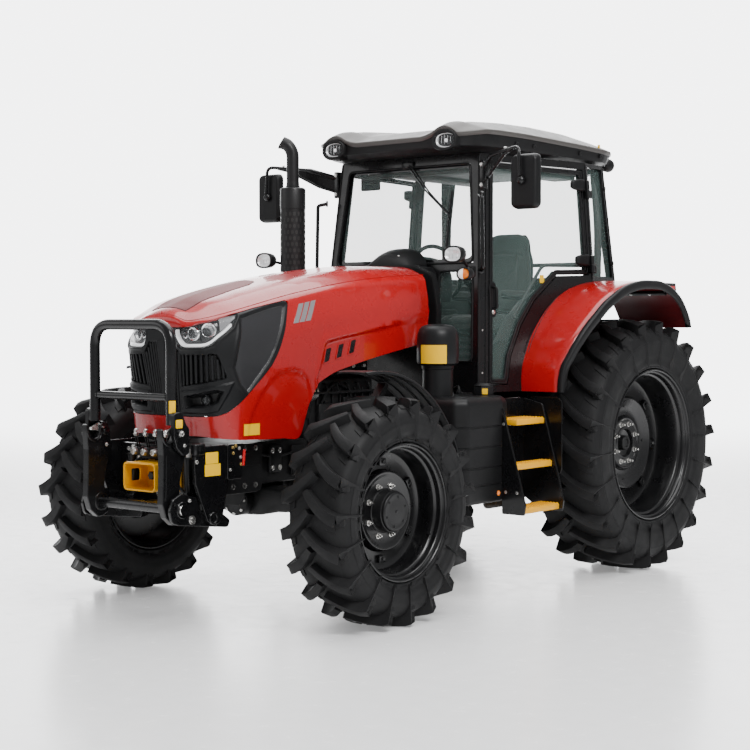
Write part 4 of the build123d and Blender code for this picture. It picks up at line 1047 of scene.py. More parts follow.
cols = np.concatenate([np.arange(0, 92, 0.72), np.arange(92, 132.4, 0.9)])
NR = 118
PHG, ZG = np.zeros((len(cols), NR)), np.zeros((len(cols), NR))
for i, ph in enumerate(cols):
    zt, zb = 1.70, 1.20
    for _ in range(12):
        zt = float(top_of(float(surf(ph, zt)[1])))
        zb = float(low_of(float(surf(ph, zb)[1])))
    PHG[i] = ph
    ZG[i] = np.linspace(max(zb, 1.12), max(zt, zb + 0.002), NR)
dm = np.zeros(PHG.shape)
sp = lambda poly: poly_sd(PHG * 0.0062, ZG, scaled(poly))
s_l, s_a, s_b, s_fo, s_fi, s_sp = sp(LAMP), sp(SLAT_A), sp(SLAT_B), sp(FOG_O), sp(FOG_I), sp(SIDEP)
dm += -0.004 * np.exp(-((s_l + 0.007) / 0.006) ** 2)                       # rim round the lamp
dm += -0.009 * smoothstep((s_fo + 0.002) / 0.010) * (s_fi < 0)             # fog lamp block stands out
dm += 0.010 * smoothstep(s_sp / 0.014)                                     # side panel set in
dm += -0.004 * np.exp(-((s_sp + 0.010) / 0.007) ** 2)
dm = np.where(s_a > 0, 0.030 * smoothstep(s_a / 0.006), dm)
dm = np.where(s_b > 0, 0.030 * smoothstep(s_b / 0.006), dm)
dm = np.where(s_fi > 0, -0.009 + 0.060 * smoothstep(s_fi / 0.022), dm)
dm = np.where(s_l > 0, 0.062 * smoothstep(s_l / 0.008), dm)
dm += np.where((np.abs(PHG) < 7.0) & (ZG < 1.57), -0.004 * smoothstep((7.0 - np.abs(PHG)) / 1.2), 0)
X, Yg = surf(PHG, ZG)
x1, y1 = surf(PHG + 0.8, ZG)
x0, y0 = surf(PHG - 0.8, ZG)
tx, ty = x1 - x0, y1 - y0
L_ = np.hypot(tx, ty) + 1e-9
nx, ny = ty / L_, -tx / L_
sgn = np.sign(nx * X + ny * (Yg - PHI_C))
sgn[sgn == 0] = 1
nx, ny = nx * sgn, ny * sgn
MG = np.stack([X - nx * dm, Yg - ny * dm, ZG], -1)
MG[0, :, 0] = 0.0
g = Geo()
nu = len(cols)
v = [tuple(MG[i, j]) for i in range(nu) for j in range(NR)]
f, fm = [], []
for i in range(nu - 1):
    for j in range(NR - 1):
        f.append([i * NR + j, i * NR + j + 1, (i + 1) * NR + j + 1, (i + 1) * NR + j])
        c = (s_l[i:i + 2, j:j + 2].mean(), max(s_a[i:i + 2, j:j + 2].mean(), s_b[i:i + 2, j:j + 2].mean()), s_fi[i:i + 2, j:j + 2].mean(), s_sp[i:i + 2, j:j + 2].mean())
        fm.append(1 if c[0] > 0.004 else 2 if c[1] > 0.003 else 3 if c[2] > 0.016 else 4 if c[3] > 0.010 else 0)
g.v, g.f, g.m = v, f, fm
# folded edges, top and bottom
for j, jn in ((0, 1), (NR - 1, NR - 2)):
    b = len(g.v)
    g.v += [tuple(MG[i, j] - np.array([nx[i, j], ny[i, j], 0]) * 0.03) for i in range(nu)]
    g.f += [[i * NR + j, (i + 1) * NR + j, b + i + 1, b + i] for i in range(nu - 1)]
    g.m += [0] * (nu - 1)
g.mirror()
bm = bmesh.new()
vs = [bm.verts.new(p) for p in g.v]
for q, mi in zip(g.f, g.m):
    try:
        fc = bm.faces.new([vs[i] for i in q])
        fc.material_index = mi
    except ValueError:
        pass
bmesh.ops.remove_doubles(bm, verts=bm.verts, dist=1e-5)
bmesh.ops.recalc_face_normals(bm, faces=bm.faces)
M["panel_mesh"] = material("panel_black_mesh", (0.016, 0.016, 0.018), 0.35, coat=0.2, bump=0.35, bump_scale=420, dist=0.001, var=0.1)
mask_ob = from_bm("front_mask_shaped", bm, ["black_soft", "lamp_black", "mesh_black", "mesh_black", "panel_mesh"], "bonnet", 38)
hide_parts("front_grille_mask")

# upright slats standing in the recesses
g = Geo()
def slat(phi_a, phi_b, za, zb, w=0.0075, depth=0.026):
    rs = []
    for t in np.linspace(0, 1, 12):
        ph, z = phi_a + (phi_b - phi_a) * t, za + (zb - za) * t
        n = out_normal(ph, z)
        p = Vector((*[float(q) for q in surf(ph, z)], z))
        tdir = Vector((-n.y, n.x, 0))
        rs.append([tuple(p - n * 0.034 - tdir * w), tuple(p - n * 0.006 - tdir * w), tuple(p - n * 0.003 - tdir * w * 0.6), tuple(p - n * 0.003 + tdir * w * 0.6), tuple(p - n * 0.006 + tdir * w), tuple(p - n * 0.034 + tdir * w)])
    g.add(*rings(rs, cap0=True, cap1=True))
for sx in (1, -1):
    for ph in (11.0, 15.4, 19.8, 24.2, 28.4):
        slat(sx * ph, sx * ph, 1.148, 1.568 - max(0, ph - 18) * 0.006)
    for k, ph in enumerate((34.0, 38.6, 43.4, 48.2, 53.0, 57.6, 62.2, 66.6, 70.6)):
        lean = 0.35 * k * 0.3
        slat(sx * (ph + lean * 0.9), sx * (ph - lean), 1.318 + max(0, ph - 34) * 0.0012, 1.497 - max(0, ph - 60) * 0.0045)
g.make("grille_slats", ["black_soft"], "bonnet", "black_matt", smooth=35)

# headlights: projectors, light strip, grey end segment, clear cover
def poly_cols(poly, n, ph0=None, ph1=None):
    """Columns (phi, zlow, zhigh) across a phi-monotone outline."""
    P = [p[0] for p in poly]
    lo, hi = (min(P) if ph0 is None else ph0), (max(P) if ph1 is None else ph1)
    out = []
    for ph in np.linspace(lo + 1e-4, hi - 1e-4, n):
        zs = []
        for i in range(len(poly)):
            (a, za), (b, zb) = poly[i], poly[(i + 1) % len(poly)]
            if (a - ph) * (b - ph) <= 0 and a != b:
                zs.append(za + (zb - za) * (ph - a) / (b - a))
        out.append((ph, min(zs), max(zs)))
    return out


for sn, sx in (("left", 1), ("right", -1)):
    g = Geo()
    # light strip along the lower edge
    path = [(25.2, 1.622), (26.2, 1.592), (30.5, 1.556), (35, 1.5435), (44, 1.5425), (54.5, 1.5455), (60.5, 1.561), (66, 1.588), (73, 1.620), (79.5, 1.655)]
    path = [tuple(p) for p in catmull(path, 5)]
    rs = []
    for ph, z in path:
        n = out_normal(sx * ph, z)
        p = S3(sx * ph, z, 0.010)
        rs.append([tuple(p + Vector((0, 0, 0.0085)) - n * 0.004), tuple(p + Vector((0, 0, 0.006))), tuple(p - Vector((0, 0, 0.006))), tuple(p - Vector((0, 0, 0.0085)) - n * 0.004), tuple(p - Vector((0, 0, 0.0085)) - n * 0.03), tuple(p + Vector((0, 0, 0.0085)) - n * 0.03)])
    g.add(*rings(rs, cap0=True, cap1=True), 1)
    # inner shelf behind the projectors
    rs = []
    for ph, z0_, z1_ in poly_cols(LAMP, 30, 28, 70):
        rs.append([tuple(S3(sx * ph, z0_ + (z1_ - z0_) * t, 0.050 - 0.014 * sin(pi * t))) for t in np.linspace(0.06, 0.94, 9)])
    g.add(*rings(rs, closed_v=False), 0)
    for ph, z, r in ((44.5, 1.607, 0.027), (59.5, 1.628, 0.030)):
        n = out_normal(sx * (ph - 6), z)
        p = S3(sx * ph, z, 0.048)
        g.add(*lathe([(0.0, r + 0.012), (0.012, r + 0.012), (0.016, r + 0.009), (0.012, r + 0.004), (0.010, r)], p, n, 36), 2)
        g.add(*lathe([(0.010, r), (0.018, r * 0.92), (0.026, r * 0.70), (0.031, r * 0.40), (0.0325, 0.0002)], p, n, 36), 3)
        g.add(*lathe([(0.006, r * 1.02), (0.007, r * 0.4), (0.0068, 0.0002)], p, n, 30), 2)
    for ph, z in ((33.5, 1.600),):
        n = out_normal(sx * ph, z)
        g.add(*lathe([(0.0, 0.018), (0.008, 0.018), (0.010, 0.014), (0.006, 0.010), (0.004, 0.0003)], S3(sx * ph, z, 0.046), n, 24), 2)
    # ribbed grey end segment
    rs = []
    seg = poly_cols(LAMP, 26, 69.0, 84.6)
    for k, (ph, z0_, z1_) in enumerate(seg):
        lo = max(z0_, np.interp(ph, [66, 73, 79.5, 86], [1.604, 1.634, 1.668, 1.70])) + 0.004
        rs.append([tuple(S3(sx * ph, lo + (z1_ - 0.006 - lo) * t, 0.013 + (0.0025 if k % 2 else 0.0))) for t in np.linspace(0, 1, 6)])
    g.add(*rings(rs, closed_v=False), 4)
    ob = g.make(f"headlight_{sn}_inside", ["lamp_black", "drl", "chrome", "lens", "silver"], "bonnet", "lamp", smooth=40)
    g = Geo()
    rs = []
    for ph, z0_, z1_ in poly_cols(LAMP, 60):
        m_ = 0.0025
        rs.append([tuple(S3(sx * ph, z0_ + m_ + (z1_ - z0_ - 2 * m_) * t, 0.0015)) for t in np.linspace(0, 1, 14)])
    g.add(*rings(rs, closed_v=False))
    g.make(f"headlight_{sn}_cover", ["lens"], "bonnet", "lamp", smooth=60)
    # fog lamp in its pocket
    g = Geo()
    p, n = S3(sx * 55.5, 1.240, 0.046), out_normal(sx * 52, 1.240)
    g.add(*lathe([(-0.01, 0.034), (0.010, 0.034), (0.014, 0.031), (0.010, 0.027), (0.006, 0.026)], p, n, 32), 0)
    g.add(*lathe([(0.006, 0.0265), (0.013, 0.022), (0.017, 0.012), (0.018, 0.0002)], p, n, 32), 1)
    g.add(*lathe([(0.004, 0.0262), (0.002, 0.012), (0.006, 0.0002)], p, n, 24), 2)
    g.make(f"fog_lamp_{sn}", ["black_steel", "lens", "chrome"], "bonnet", "lamp", smooth=40)
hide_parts("headlights")

# ------------------------------------------------------------------ front guard
GY = -2.257
g, gd = Geo(), Geo()
path = round_path([(0.311, GY, 1.120), (0.311, GY, 1.659), (-0.311, GY, 1.659), (-0.311, GY, 1.120)], [0.125, 0.125], 12)
dense = []
for a, b in zip(path, path[1:]):
    n = max(1, int((b - a).length / 0.06))
    dense += [a + (b - a) * k / n for k in range(n)]
dense.append(path[-1])
g.add(*tube(dense, 0.0295, 28), 0)
g.add(*tube([(-0.300, GY, 1.267), (0.300, GY, 1.267)], 0.0215, 24), 0)
LUGP = smooth_poly([(-2.287, 1.190), (-2.227, 1.190), (-2.200, 1.125), (-2.1755, 1.100), (-2.1755, 0.962), (-2.222, 0.956), (-2.268, 1.000), (-2.287, 1.060)], 0.022, 5)
for sx in (1, -1):
    g.add(*lathe([(1.262 - 1.267, 0.0245), (0.004, 0.0235)], (sx * 0.281, GY, 1.267), (sx, 0, 0), 24), 0)
    g.add(*plate(LUGP, "x", sx * 0.336, sx * 0.3645, 0.003), 0)
    # gusset from the leg into the lug, bolts and a pivot cap
    g.add(*rbox(min(sx * 0.315, sx * 0.350), max(sx * 0.315, sx * 0.350), -2.284, -2.232, 1.122, 1.186, 0.006), 0)
    g.add(*lathe([(0.0, 0.024), (0.006, 0.024), (0.008, 0.021)], (sx * 0.3645, -2.2405, 1.075), (sx, 0, 0), 28), 0)
    g.add(*bolt((sx * 0.3715, -2.2405, 1.075), (sx, 0, 0), 0.0125, 0.012), 1)
    g.add(*bolt((sx * 0.3645, -2.212, 1.010), (sx, 0, 0), 0.0075, 0.006), 1)
    for k, (yy, zz) in enumerate(((-2.262, 1.045), (-2.205, 1.090))):
        g.add(*lathe([(0.0, 0.011), (0.003, 0.010), (0.0035, 0.006), (0.002, 0.0003)], (sx * 0.3645, yy, zz), (sx, 0, 0), 18), 0)
gg = g.make("front_guard_shaped", ["black_steel", "zinc"], "chassis", "black_steel", smooth=40)
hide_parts("front_guard")
# blank stickers wrapped on the left leg
def wrap_patch(geo, cx, cy, r, a0, a1, z0, z1, mi, n=10):
    rs = []
    for z in np.linspace(z0, z1, 5):
        rs.append([(cx + r * sin(a), cy - r * cos(a), z) for a in np.linspace(a0, a1, n)])
    geo.add(*rings(rs, closed_v=False), mi)


wrap_patch(gd, 0.311, GY, 0.0299, radians(20), radians(95), 1.185, 1.252, 0)
gd.add(*rings([[(0.3655, y, z) for y, z in rect_] for rect_ in ([(-2.252 + a, 1.128 + b) for a, b in rect(0.050, 0.046, 0.006, 3)],)] + [[(0.3662, y, z) for y, z in [(-2.252 + a, 1.128 + b) for a, b in rect(0.048, 0.044, 0.005, 3)]]], cap1=True), 0)

# ------------------------------------------------------------------ linkage frame plates
PLATEP = [(-1.905, 1.000), (-2.130, 1.000), (-2.166, 0.925), (-2.155, 0.800), (-2.106, 0.684), (-2.066, 0.592), (-2.013, 0.562), (-1.965, 0.580), (-1.945, 0.624), (-1.905, 0.800)]
FOOTP = [(-1.867, 0.577), (-1.885, 0.539), (-2.255, 0.583), (-2.305, 0.600), (-2.322, 0.660), (-2.300, 0.725), (-2.240, 0.752), (-2.170, 0.735), (-2.080, 0.718), (-1.960, 0.640)]
VALVEP = [(-1.925, 1.002), (-1.900, 1.036), (-1.840, 1.040), (-1.797, 1.000), (-1.815, 0.808), (-1.926, 0.806)]
g = Geo()
for sx in (1, -1):
    g.add(*plate(smooth_poly(PLATEP, 0.035, 6), "x", sx * 0.3655, sx * 0.3895, 0.003), 0)
    g.add(*plate(smooth_poly(FOOTP, 0.035, 6), "x", sx * 0.3455, sx * 0.3655, 0.003), 0)
    g.add(*plate(smooth_poly([(-1.925, 1.002), (-1.797, 1.002), (-1.815, 0.808), (-1.926, 0.806)], 0.016, 4), "x", sx * 0.3895, sx * 0.4015, 0.002), 0)
    # clamp block on top with its bolt
    a, b = sorted((sx * 0.366, sx * 0.4075))
    g.add(*rbox(a, b, -2.1745, -2.0955, 0.9555, 1.0165, 0.010, 3), 0)
    g.add(*rbox(a, b - 0.01 * (sx > 0), -2.168, -2.102, 0.93, 0.958, 0.006, 2), 0)
    g.add(*bolt((sx * 0.4075, -2.135, 0.986), (sx, 0, 0), 0.010, 0.004), 0)
    # pivot pin head, second pin, dowels
    g.add(*lathe([(0.0, 0.046), (0.004, 0.046), (0.007, 0.043), (0.007, 0.030)], (sx * 0.3655, -2.230, 0.665), (sx, 0, 0), 40), 0)
    g.add(*lathe([(0.006, 0.0275), (0.014, 0.0275), (0.017, 0.0245), (0.0175, 0.0003)], (sx * 0.3655, -2.236, 0.665), (sx, 0, 0), 36), 1)
    g.add(*lathe([(0.0, 0.024), (0.005, 0.024), (0.006, 0.021), (0.006, 0.014), (0.012, 0.013), (0.0125, 0.0003)], (sx * 0.3655, -2.162, 0.606), (sx, 0, 0), 32), 1)
    g.add(*bolt((sx * 0.3655, -2.179, 0.712), (sx, 0, 0), 0.0075, 0.007), 1)
    g.add(*bolt((sx * 0.3655, -2.283, 0.700), (sx, 0, 0), 0.006, 0.005), 0)
    g.add(*bolt((sx * 0.3895, -2.148, 0.920), (sx, 0, 0), 0.010, 0.008), 1)
    # slot and round cap low on the plate
    g.add(*rings([[(sx * 0.3892 + sx * t, -2.118 + (q[0]) * 0.9 - q[1] * 0.25, 0.672 + q[1]) for q in rect(0.016, 0.036, 0.0075, 4)] for t in (0, 0.0012)], cap1=True), 2)
    g.add(*lathe([(0.0, 0.034), (0.007, 0.034), (0.010, 0.031), (0.010, 0.024), (0.006, 0.021), (0.006, 0.0003)], (sx * 0.3895, -2.026, 0.604), (sx, 0, 0), 36), 0)
    # raised rim along the plate's front edge
    rim = [Vector((sx * 0.3905, y, z)) for y, z in smooth_poly(PLATEP, 0.035, 6)]
    k0 = [i for i, p in enumerate(rim) if p.y < -2.0]
    g.add(*tube([rim[i] for i in k0], 0.0028, 6), 0)
    # valve plate screws
    for (yy, zz, m_) in ((-1.885, 0.982, 3), (-1.862, 0.990, 3), (-1.882, 0.950, 3), (-1.835, 0.975, 1), (-1.825, 0.925, 1), (-1.822, 0.885, 3), (-1.905, 0.86, 1)):
        g.add(*bolt((sx * 0.4015, yy, zz), (sx, 0, 0), 0.0072, 0.006), m_)
    # bosses inside
    g.add(*lathe([(0, 0.052), (0.012, 0.052), (0.014, 0.046)], (sx * 0.3455, -2.060, 0.645), (-sx, 0, 0), 32), 0)
g.add(*tube([(-0.366, -2.060, 0.645), (0.366, -2.060, 0.645)], 0.0345, 32), 0)
g.add(*rbox(-0.366, 0.366, -2.020, -1.986, 0.700, 0.985, 0.006), 0)
for x in (-0.30, -0.20, 0.20, 0.30):
    for z in (0.735, 0.95):
        g.add(*bolt((x, -2.020, z), (0, -1, 0), 0.010, 0.008), 1)
for sx in (1, -1):
    a, b = sorted((sx * 0.270, sx * 0.366))
    g.add(*rbox(a, b, -1.984, -1.910, 0.760, 0.960, 0.010), 0)
    # lift rams standing between plate and cross tube
    g.add(*tube([(sx * 0.225, -2.052, 0.700), (sx * 0.225, -2.056, 0.93)], 0.030, 28), 0)
    g.add(*tube([(sx * 0.225, -2.050, 0.928), (sx * 0.225, -2.050, 0.975)], 0.0165, 20), 1)
    g.add(*lathe([(0, 0.034), (0.014, 0.034)], (sx * 0.225, -2.056, 0.915), (0, 0, 1), 28), 0)
    g.add(*lathe([(0, 0.026), (0.030, 0.026)], (sx * 0.2, -2.052, 0.688), (sx, 0, 0), 24), 0)
    # hose from ram to block
    g.add(*tube(catmull([(sx * 0.225, -2.085, 0.74), (sx * 0.215, -2.12, 0.78), (sx * 0.19, -2.10, 0.86), (sx * 0.17, -2.05, 0.905), (sx * 0.15, -2.022, 0.91)], 8), 0.0085, 12), 2)
# belly plate and tow jaw low in front
g.add(*plate(smooth_poly([(-0.20, 0.60), (0.20, 0.60), (0.24, 0.72), (-0.24, 0.72)], 0.02, 4), "y", -2.000, -1.986, 0.002), 0)
g.add(*lathe([(0, 0.030), (0.012, 0.030), (0.014, 0.026), (0.014, 0.014), (0.006, 0.012)], (-0.03, -2.020, 0.72), (0, -1, 0), 28), 1)
lf = g.make("front_linkage_frame_shaped", ["black_steel", "zinc", "mesh_black", "brass"], "chassis", "black_steel", smooth=38)
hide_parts("front_linkage_frame")
# small red cylinder on the left valve plate
g = Geo()
g.add(*lathe([(0.0, 0.006), (0.002, 0.0085), (0.088, 0.0085), (0.090, 0.006)], (0.4095, -1.812, 0.878), (0, 0.10, 1), 18), 0)
g.add(*lathe([(-0.012, 0.004), (0.104, 0.004)], (0.4095, -1.812, 0.878), (0, 0.10, 1), 12), 1)
g.add(*rbox(0.4015, 0.411, -1.820, -1.802, 0.880, 0.892, 0.002), 1)
g.add(*rbox(0.4015, 0.411, -1.812, -1.794, 0.955, 0.967, 0.002), 1)
g.make("valve_rod_left", ["red_lamp", "black_steel"], "chassis", "black_steel")

# blank stickers: two on the frame plate, one on the bonnet, and others
def flat_sticker(geo, c, u, w, du, dw, mi=0, t=0.0007, r=0.004):
    c, u, w = Vector(c), Vector(u).normalized(), Vector(w).normalized()
    n = u.cross(w)
    geo.add(*rings([[tuple(c + u * a + w * b) for a, b in rect(du, dw, r, 3)], [tuple(c + u * a + w * b + n * t) for a, b in rect(du - 0.0006, dw - 0.0006, r, 3)]], cap1=True), mi)


flat_sticker(gd, (0.3897, -2.034, 0.934), (0, 1, 0), (0, 0, 1), 0.096, 0.062)
flat_sticker(gd, (0.3897, -2.028, 0.868), (0, 1, 0), (0, 0, 1), 0.120, 0.066)
gd.make("stickers_front", ["decal", "decal_ink"], "chassis", "yellow", smooth=40)
gs_ = Geo()
rs = []
for z in np.linspace(1.043, 1.107, 9):
    rs.append([tuple(on_hood_side(y, z, 1, 0.0022)[0]) for y in np.linspace(-1.815, -1.690, 16)])
gs_.add(*rings(rs, closed_v=False), 0)
rs = []
for z in np.linspace(1.043, 1.107, 9):
    rs.append([tuple(on_hood_side(y, z, -1, 0.0022)[0]) for y in np.linspace(-1.815, -1.690, 16)])
gs_.add(*rings(rs, closed_v=False), 0)
gs_.make("stickers_bonnet", ["decal"], "bonnet", "yellow", smooth=40)

# ------------------------------------------------------------------ front arms
ARMP = [(-2.225, 0.584), (-2.262, 0.582), (-2.315, 0.626), (-2.340, 0.700), (-2.335, 0.800), (-2.333, 0.964), (-2.340, 1.040), (-2.345, 1.100), (-2.330, 1.106), (-2.322, 1.060),
        (-2.311, 1.034), (-2.283, 1.022), (-2.255, 1.034), (-2.243, 1.062), (-2.243, 1.095), (-2.225, 1.118), (-2.195, 1.110), (-2.172, 1.070), (-2.165, 1.000), (-2.177, 0.929),
        (-2.207, 0.832), (-2.215, 0.750), (-2.175, 0.700), (-2.168, 0.655), (-2.190, 0.605)]
g = Geo()
sm_arm = smooth_poly(ARMP, 0.012, 3)
for sx in (1, -1):
    g.add(*plate(sm_arm, "x", sx * 0.2835, sx * 0.3275, 0.004), 0)
    a = -1
    # cheek round the hook, pivot boss, ribs along the arm
    for xa, dd in ((0.3275, 1), (0.2835, -1)):
        ring_ = [(-2.283 + 0.052 * cos(t), 1.062 + 0.052 * sin(t)) for t in np.linspace(radians(185), radians(355), 22)]
        g.add(*tube([(sx * (xa - 0.001 * dd), y, z) for y, z in ring_], 0.0055, 10), 0)
        g.add(*lathe([(0, 0.052), (0.004, 0.052), (0.006, 0.049), (0.006, 0.036)], (sx * xa - 0 * sx, -2.238, 0.668), (sx * dd, 0, 0), 36), 0)
        g.add(*lathe([(0, 0.020), (0.004, 0.020), (0.006, 0.017), (0.0065, 0.0003)], (sx * xa, -2.205, 1.055), (sx * dd, 0, 0), 24), 0)
        g.add(*bolt((sx * xa, -2.200, 0.985), (sx * dd, 0, 0), 0.008, 0.006), 1)
    # latch plate bridging the hook with its spring pin
    g.add(*plate(smooth_poly([(-2.240, 1.112), (-2.300, 1.085), (-2.296, 1.070), (-2.232, 1.060), (-2.215, 1.085)], 0.008, 3), "x", sx * 0.298, sx * 0.313, 0.002), 1)
    g.add(*tube([(sx * 0.275, -2.226, 1.084), (sx * 0.336, -2.226, 1.084)], 0.0065, 12), 1)
    inset = offset(sm_arm, 0.016)
    g.add(*tube([(sx * 0.3278, y, z) for y, z in [(-2.318, 0.72), (-2.314, 0.80), (-2.312, 0.96)]], 0.003, 6), 0)
g.add(*tube([(-0.385, -2.230, 0.665), (0.385, -2.230, 0.665)], 0.0298, 36), 0)
fa = g.make("front_lift_arms_shaped", ["black_steel", "zinc"], "front_arms", "black_steel", smooth=38)
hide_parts("front_lift_arms")

# ------------------------------------------------------------------ PTO guard: flange, rolled lips; coupler block with levers
g = Geo()
def rr(hw_, z0, z1, r, y, n=6):
    return [(a, y, (z0 + z1) / 2 + b) for a, b in rect(2 * hw_, z1 - z0, r, n)]


lips_ = [rr(0.1285, 0.7415, 0.8975, 0.030, -2.196), rr(0.1310, 0.739, 0.900, 0.032, -2.206), rr(0.1285, 0.7415, 0.8975, 0.030, -2.2125), rr(0.1215, 0.7485, 0.8905, 0.024, -2.2125), rr(0.1195, 0.7505, 0.8885, 0.022, -2.204)]
g.add(*rings(lips_), 0)
g.add(*rings([rr(0.140, 0.730, 0.909, 0.030, -2.0215), rr(0.140, 0.730, 0.909, 0.030, -2.029), rr(0.1275, 0.742, 0.897, 0.028, -2.034)]), 0)
for sx in (1, -1):
    fr_ = smooth_poly([(-2.162, 0.783), (-2.088, 0.783), (-2.088, 0.857), (-2.162, 0.857)], 0.022, 5)
    g.add(*tube([(sx * 0.1285, y, z) for y, z in fr_ + fr_[:1]], 0.0035, 8, cap=False), 0)
for x, z in ((-0.118, 0.742), (0.118, 0.742), (-0.118, 0.898), (0.118, 0.898)):
    g.add(*bolt((x, -2.029, z), (0, -1, 0), 0.0075, 0.006), 1)
# stub shaft inside
g.add(*lathe([(0, 0.040), (0.012, 0.040), (0.014, 0.034), (0.016, 0.022), (0.085, 0.0215), (0.088, 0.019), (0.088, 0.0003)], (0, -2.040, 0.820), (0, -1, 0), 30), 2)
for k in range(6):
    a = 2 * pi * k / 6
    g.add(*tube([(0.0215 * cos(a), -2.062, 0.820 + 0.0215 * sin(a)), (0.0215 * cos(a), -2.126, 0.820 + 0.0215 * sin(a))], 0.0035, 6), 2)
g.make("front_pto_flanges", ["yellow", "zinc", "dark_grey_steel"], "chassis", "yellow", smooth=40)
g = Geo()
for i in range(4):
    x = -0.125 + 0.080 * i
    g.add(*rbox(x - 0.0245, x + 0.0245, -2.119, -2.022, 0.926, 0.974, 0.008, 3), 0)
    g.add(*lathe([(0, 0.0185), (0.006, 0.0195), (0.020, 0.0195), (0.024, 0.017), (0.027, 0.017), (0.028, 0.012), (0.018, 0.010), (0.018, 0.0003)], (x, -2.121, 0.950), (0, -1, 0), 28), 1)
    # forked flat lever with a bright hooked grip
    for dx in (-0.0085, 0.0085):
        pth = [(x + dx, -2.098, 0.972), (x + dx, -2.108, 1.000), (x + dx, -2.117, 1.034), (x + dx, -2.121, 1.046)]
        g.add(*sweep(pth, rect(0.0035, 0.010, 0.001, 1), (0, -1, 0.3)), 2)
    g.add(*lathe([(-0.012, 0.010), (-0.011, 0.011), (0.011, 0.011), (0.012, 0.010)], (x, -2.121, 1.046), (1, 0, 0), 20), 1)
    hk = catmull([(x, -2.121, 1.048), (x - 0.001, -2.126, 1.062), (x, -2.121, 1.072), (x + 0.004, -2.110, 1.0735)], 5)
    g.add(*tube(hk, 0.006, 12, radii=[0.0095 - 0.004 * k / (len(hk) - 1) for k in range(len(hk))]), 1)
g.add(*rbox(-0.150, 0.140, -2.060, -2.022, 0.905, 0.928, 0.005), 0)
# pressure lines into the block
for i in range(4):
    x = -0.125 + 0.080 * i
    g.add(*tube(catmull([(x, -2.045, 0.928), (x, -2.045, 0.905), (x + 0.01, -2.030, 0.885)], 6), 0.008, 10), 2)
cp = g.make("front_couplers_shaped", ["dark_grey_steel", "zinc", "black_steel"], "chassis", "zinc", smooth=40)
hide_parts("front_couplers")
# round silver filter head at the side of the guard
g = Geo()
g.add(*lathe([(0, 0.030), (0.020, 0.030), (0.024, 0.027), (0.026, 0.022), (0.030, 0.020), (0.032, 0.014), (0.032, 0.0003)], (-0.205, -2.022, 0.915), (-0.1, -1, 0), 28), 0)
for k in range(10):
    a = 2 * pi * k / 10
    g.add(*tube([(-0.205 + 0.0285 * cos(a), -2.026, 0.915 + 0.0285 * sin(a)), (-0.207 + 0.0285 * cos(a), -2.046, 0.915 + 0.0285 * sin(a))], 0.003, 6), 0)
g.make("front_filter_head", ["zinc"], "chassis", "zinc", smooth=40)

# ------------------------------------------------------------------ under the bonnet and chassis sides
g = Geo()
eng = Geo()
# engine: block with ribs, rocker cover, manifold, sump, filters
eng.add(*rbox(-0.200, 0.200, -1.080, -0.440, 0.900, 1.330, 0.020, 3), 0)
eng.add(*rbox(-0.185, 0.185, -1.060, -0.460, 1.325, 1.470, 0.030, 3), 1)
eng.add(*rbox(-0.170, 0.170, -1.050, -0.470, 0.650, 0.905, 0.040, 3), 0)
for k in range(9):
    y = -1.045 + 0.070 * k
    for sx in (1, -1):
        a, b = sorted((sx * 0.198, sx * 0.214))
        eng.add(*rbox(a, b, y - 0.006, y + 0.006, 0.93, 1.27, 0.004), 0)
for k in range(6):
    y = -1.01 + 0.100 * k
    for sx in (1, -1):
        eng.add(*tube(catmull([(sx * 0.19, y, 1.30), (sx * 0.222, y, 1.292), (sx * 0.229, y + 0.01, 1.25)], 6), 0.0055 if sx > 0 else 0.018 * 0.5, 10), 2)
        eng.add(*bolt((sx * 0.186, y, 1.40), (sx, 0, 0), 0.009, 0.008), 3)
    eng.add(*lathe([(0, 0.018), (0.012, 0.018), (0.020, 0.010), (0.026, 0.008)], (0, y, 1.468), (0, 0, 1), 16), 2)
eng.add(*tube([(0.226, -1.03, 1.245), (0.226, -0.47, 1.245)], 0.0085, 12), 2)
eng.add(*rbox(0.196, 0.232, -0.98, -0.84, 1.02, 1.18, 0.012), 2)
for y in (-0.72, -0.60):
    eng.add(*lathe([(0, 0.020), (0.004, 0.036), (0.105, 0.036), (0.112, 0.030), (0.114, 0.0003)], (0.196, y, 1.185), (0, 0, -1), 28), 1)
    eng.add(*rbox(0.170, 0.230, y - 0.034, y + 0.034, 1.180, 1.215, 0.008), 0)
eng.add(*tube(catmull([(0.21, -0.94, 1.18), (0.225, -0.90, 1.26), (0.215, -0.80, 1.30), (0.21, -0.70, 1.26), (0.205, -0.66, 1.215)], 8), 0.010, 12), 4)
eng.add(*tube(catmull([(0.20, -1.06, 1.10), (0.226, -1.07, 1.18), (0.215, -1.02, 1.32), (0.17, -0.98, 1.43)], 8), 0.013, 12), 4)
# front pulley, fan belt, alternator
eng.add(*lathe([(0, 0.090), (0.004, 0.094), (0.018, 0.086), (0.022, 0.094), (0.024, 0.060), (0.030, 0.030), (0.030, 0.0003)], (0, -1.080, 0.985), (0, -1, 0), 40), 2)
eng.add(*lathe([(0, 0.055), (0.100, 0.055), (0.104, 0.030), (0.118, 0.028)], (0.165, -0.97, 1.245), (0, -1, 0), 28), 3)
e1 = eng.make("engine_detailed", ["cast_dark", "black_steel", "dark_grey_steel", "zinc", "black_matt"], "chassis", "cast_dark", smooth=38)
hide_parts("engine_block")

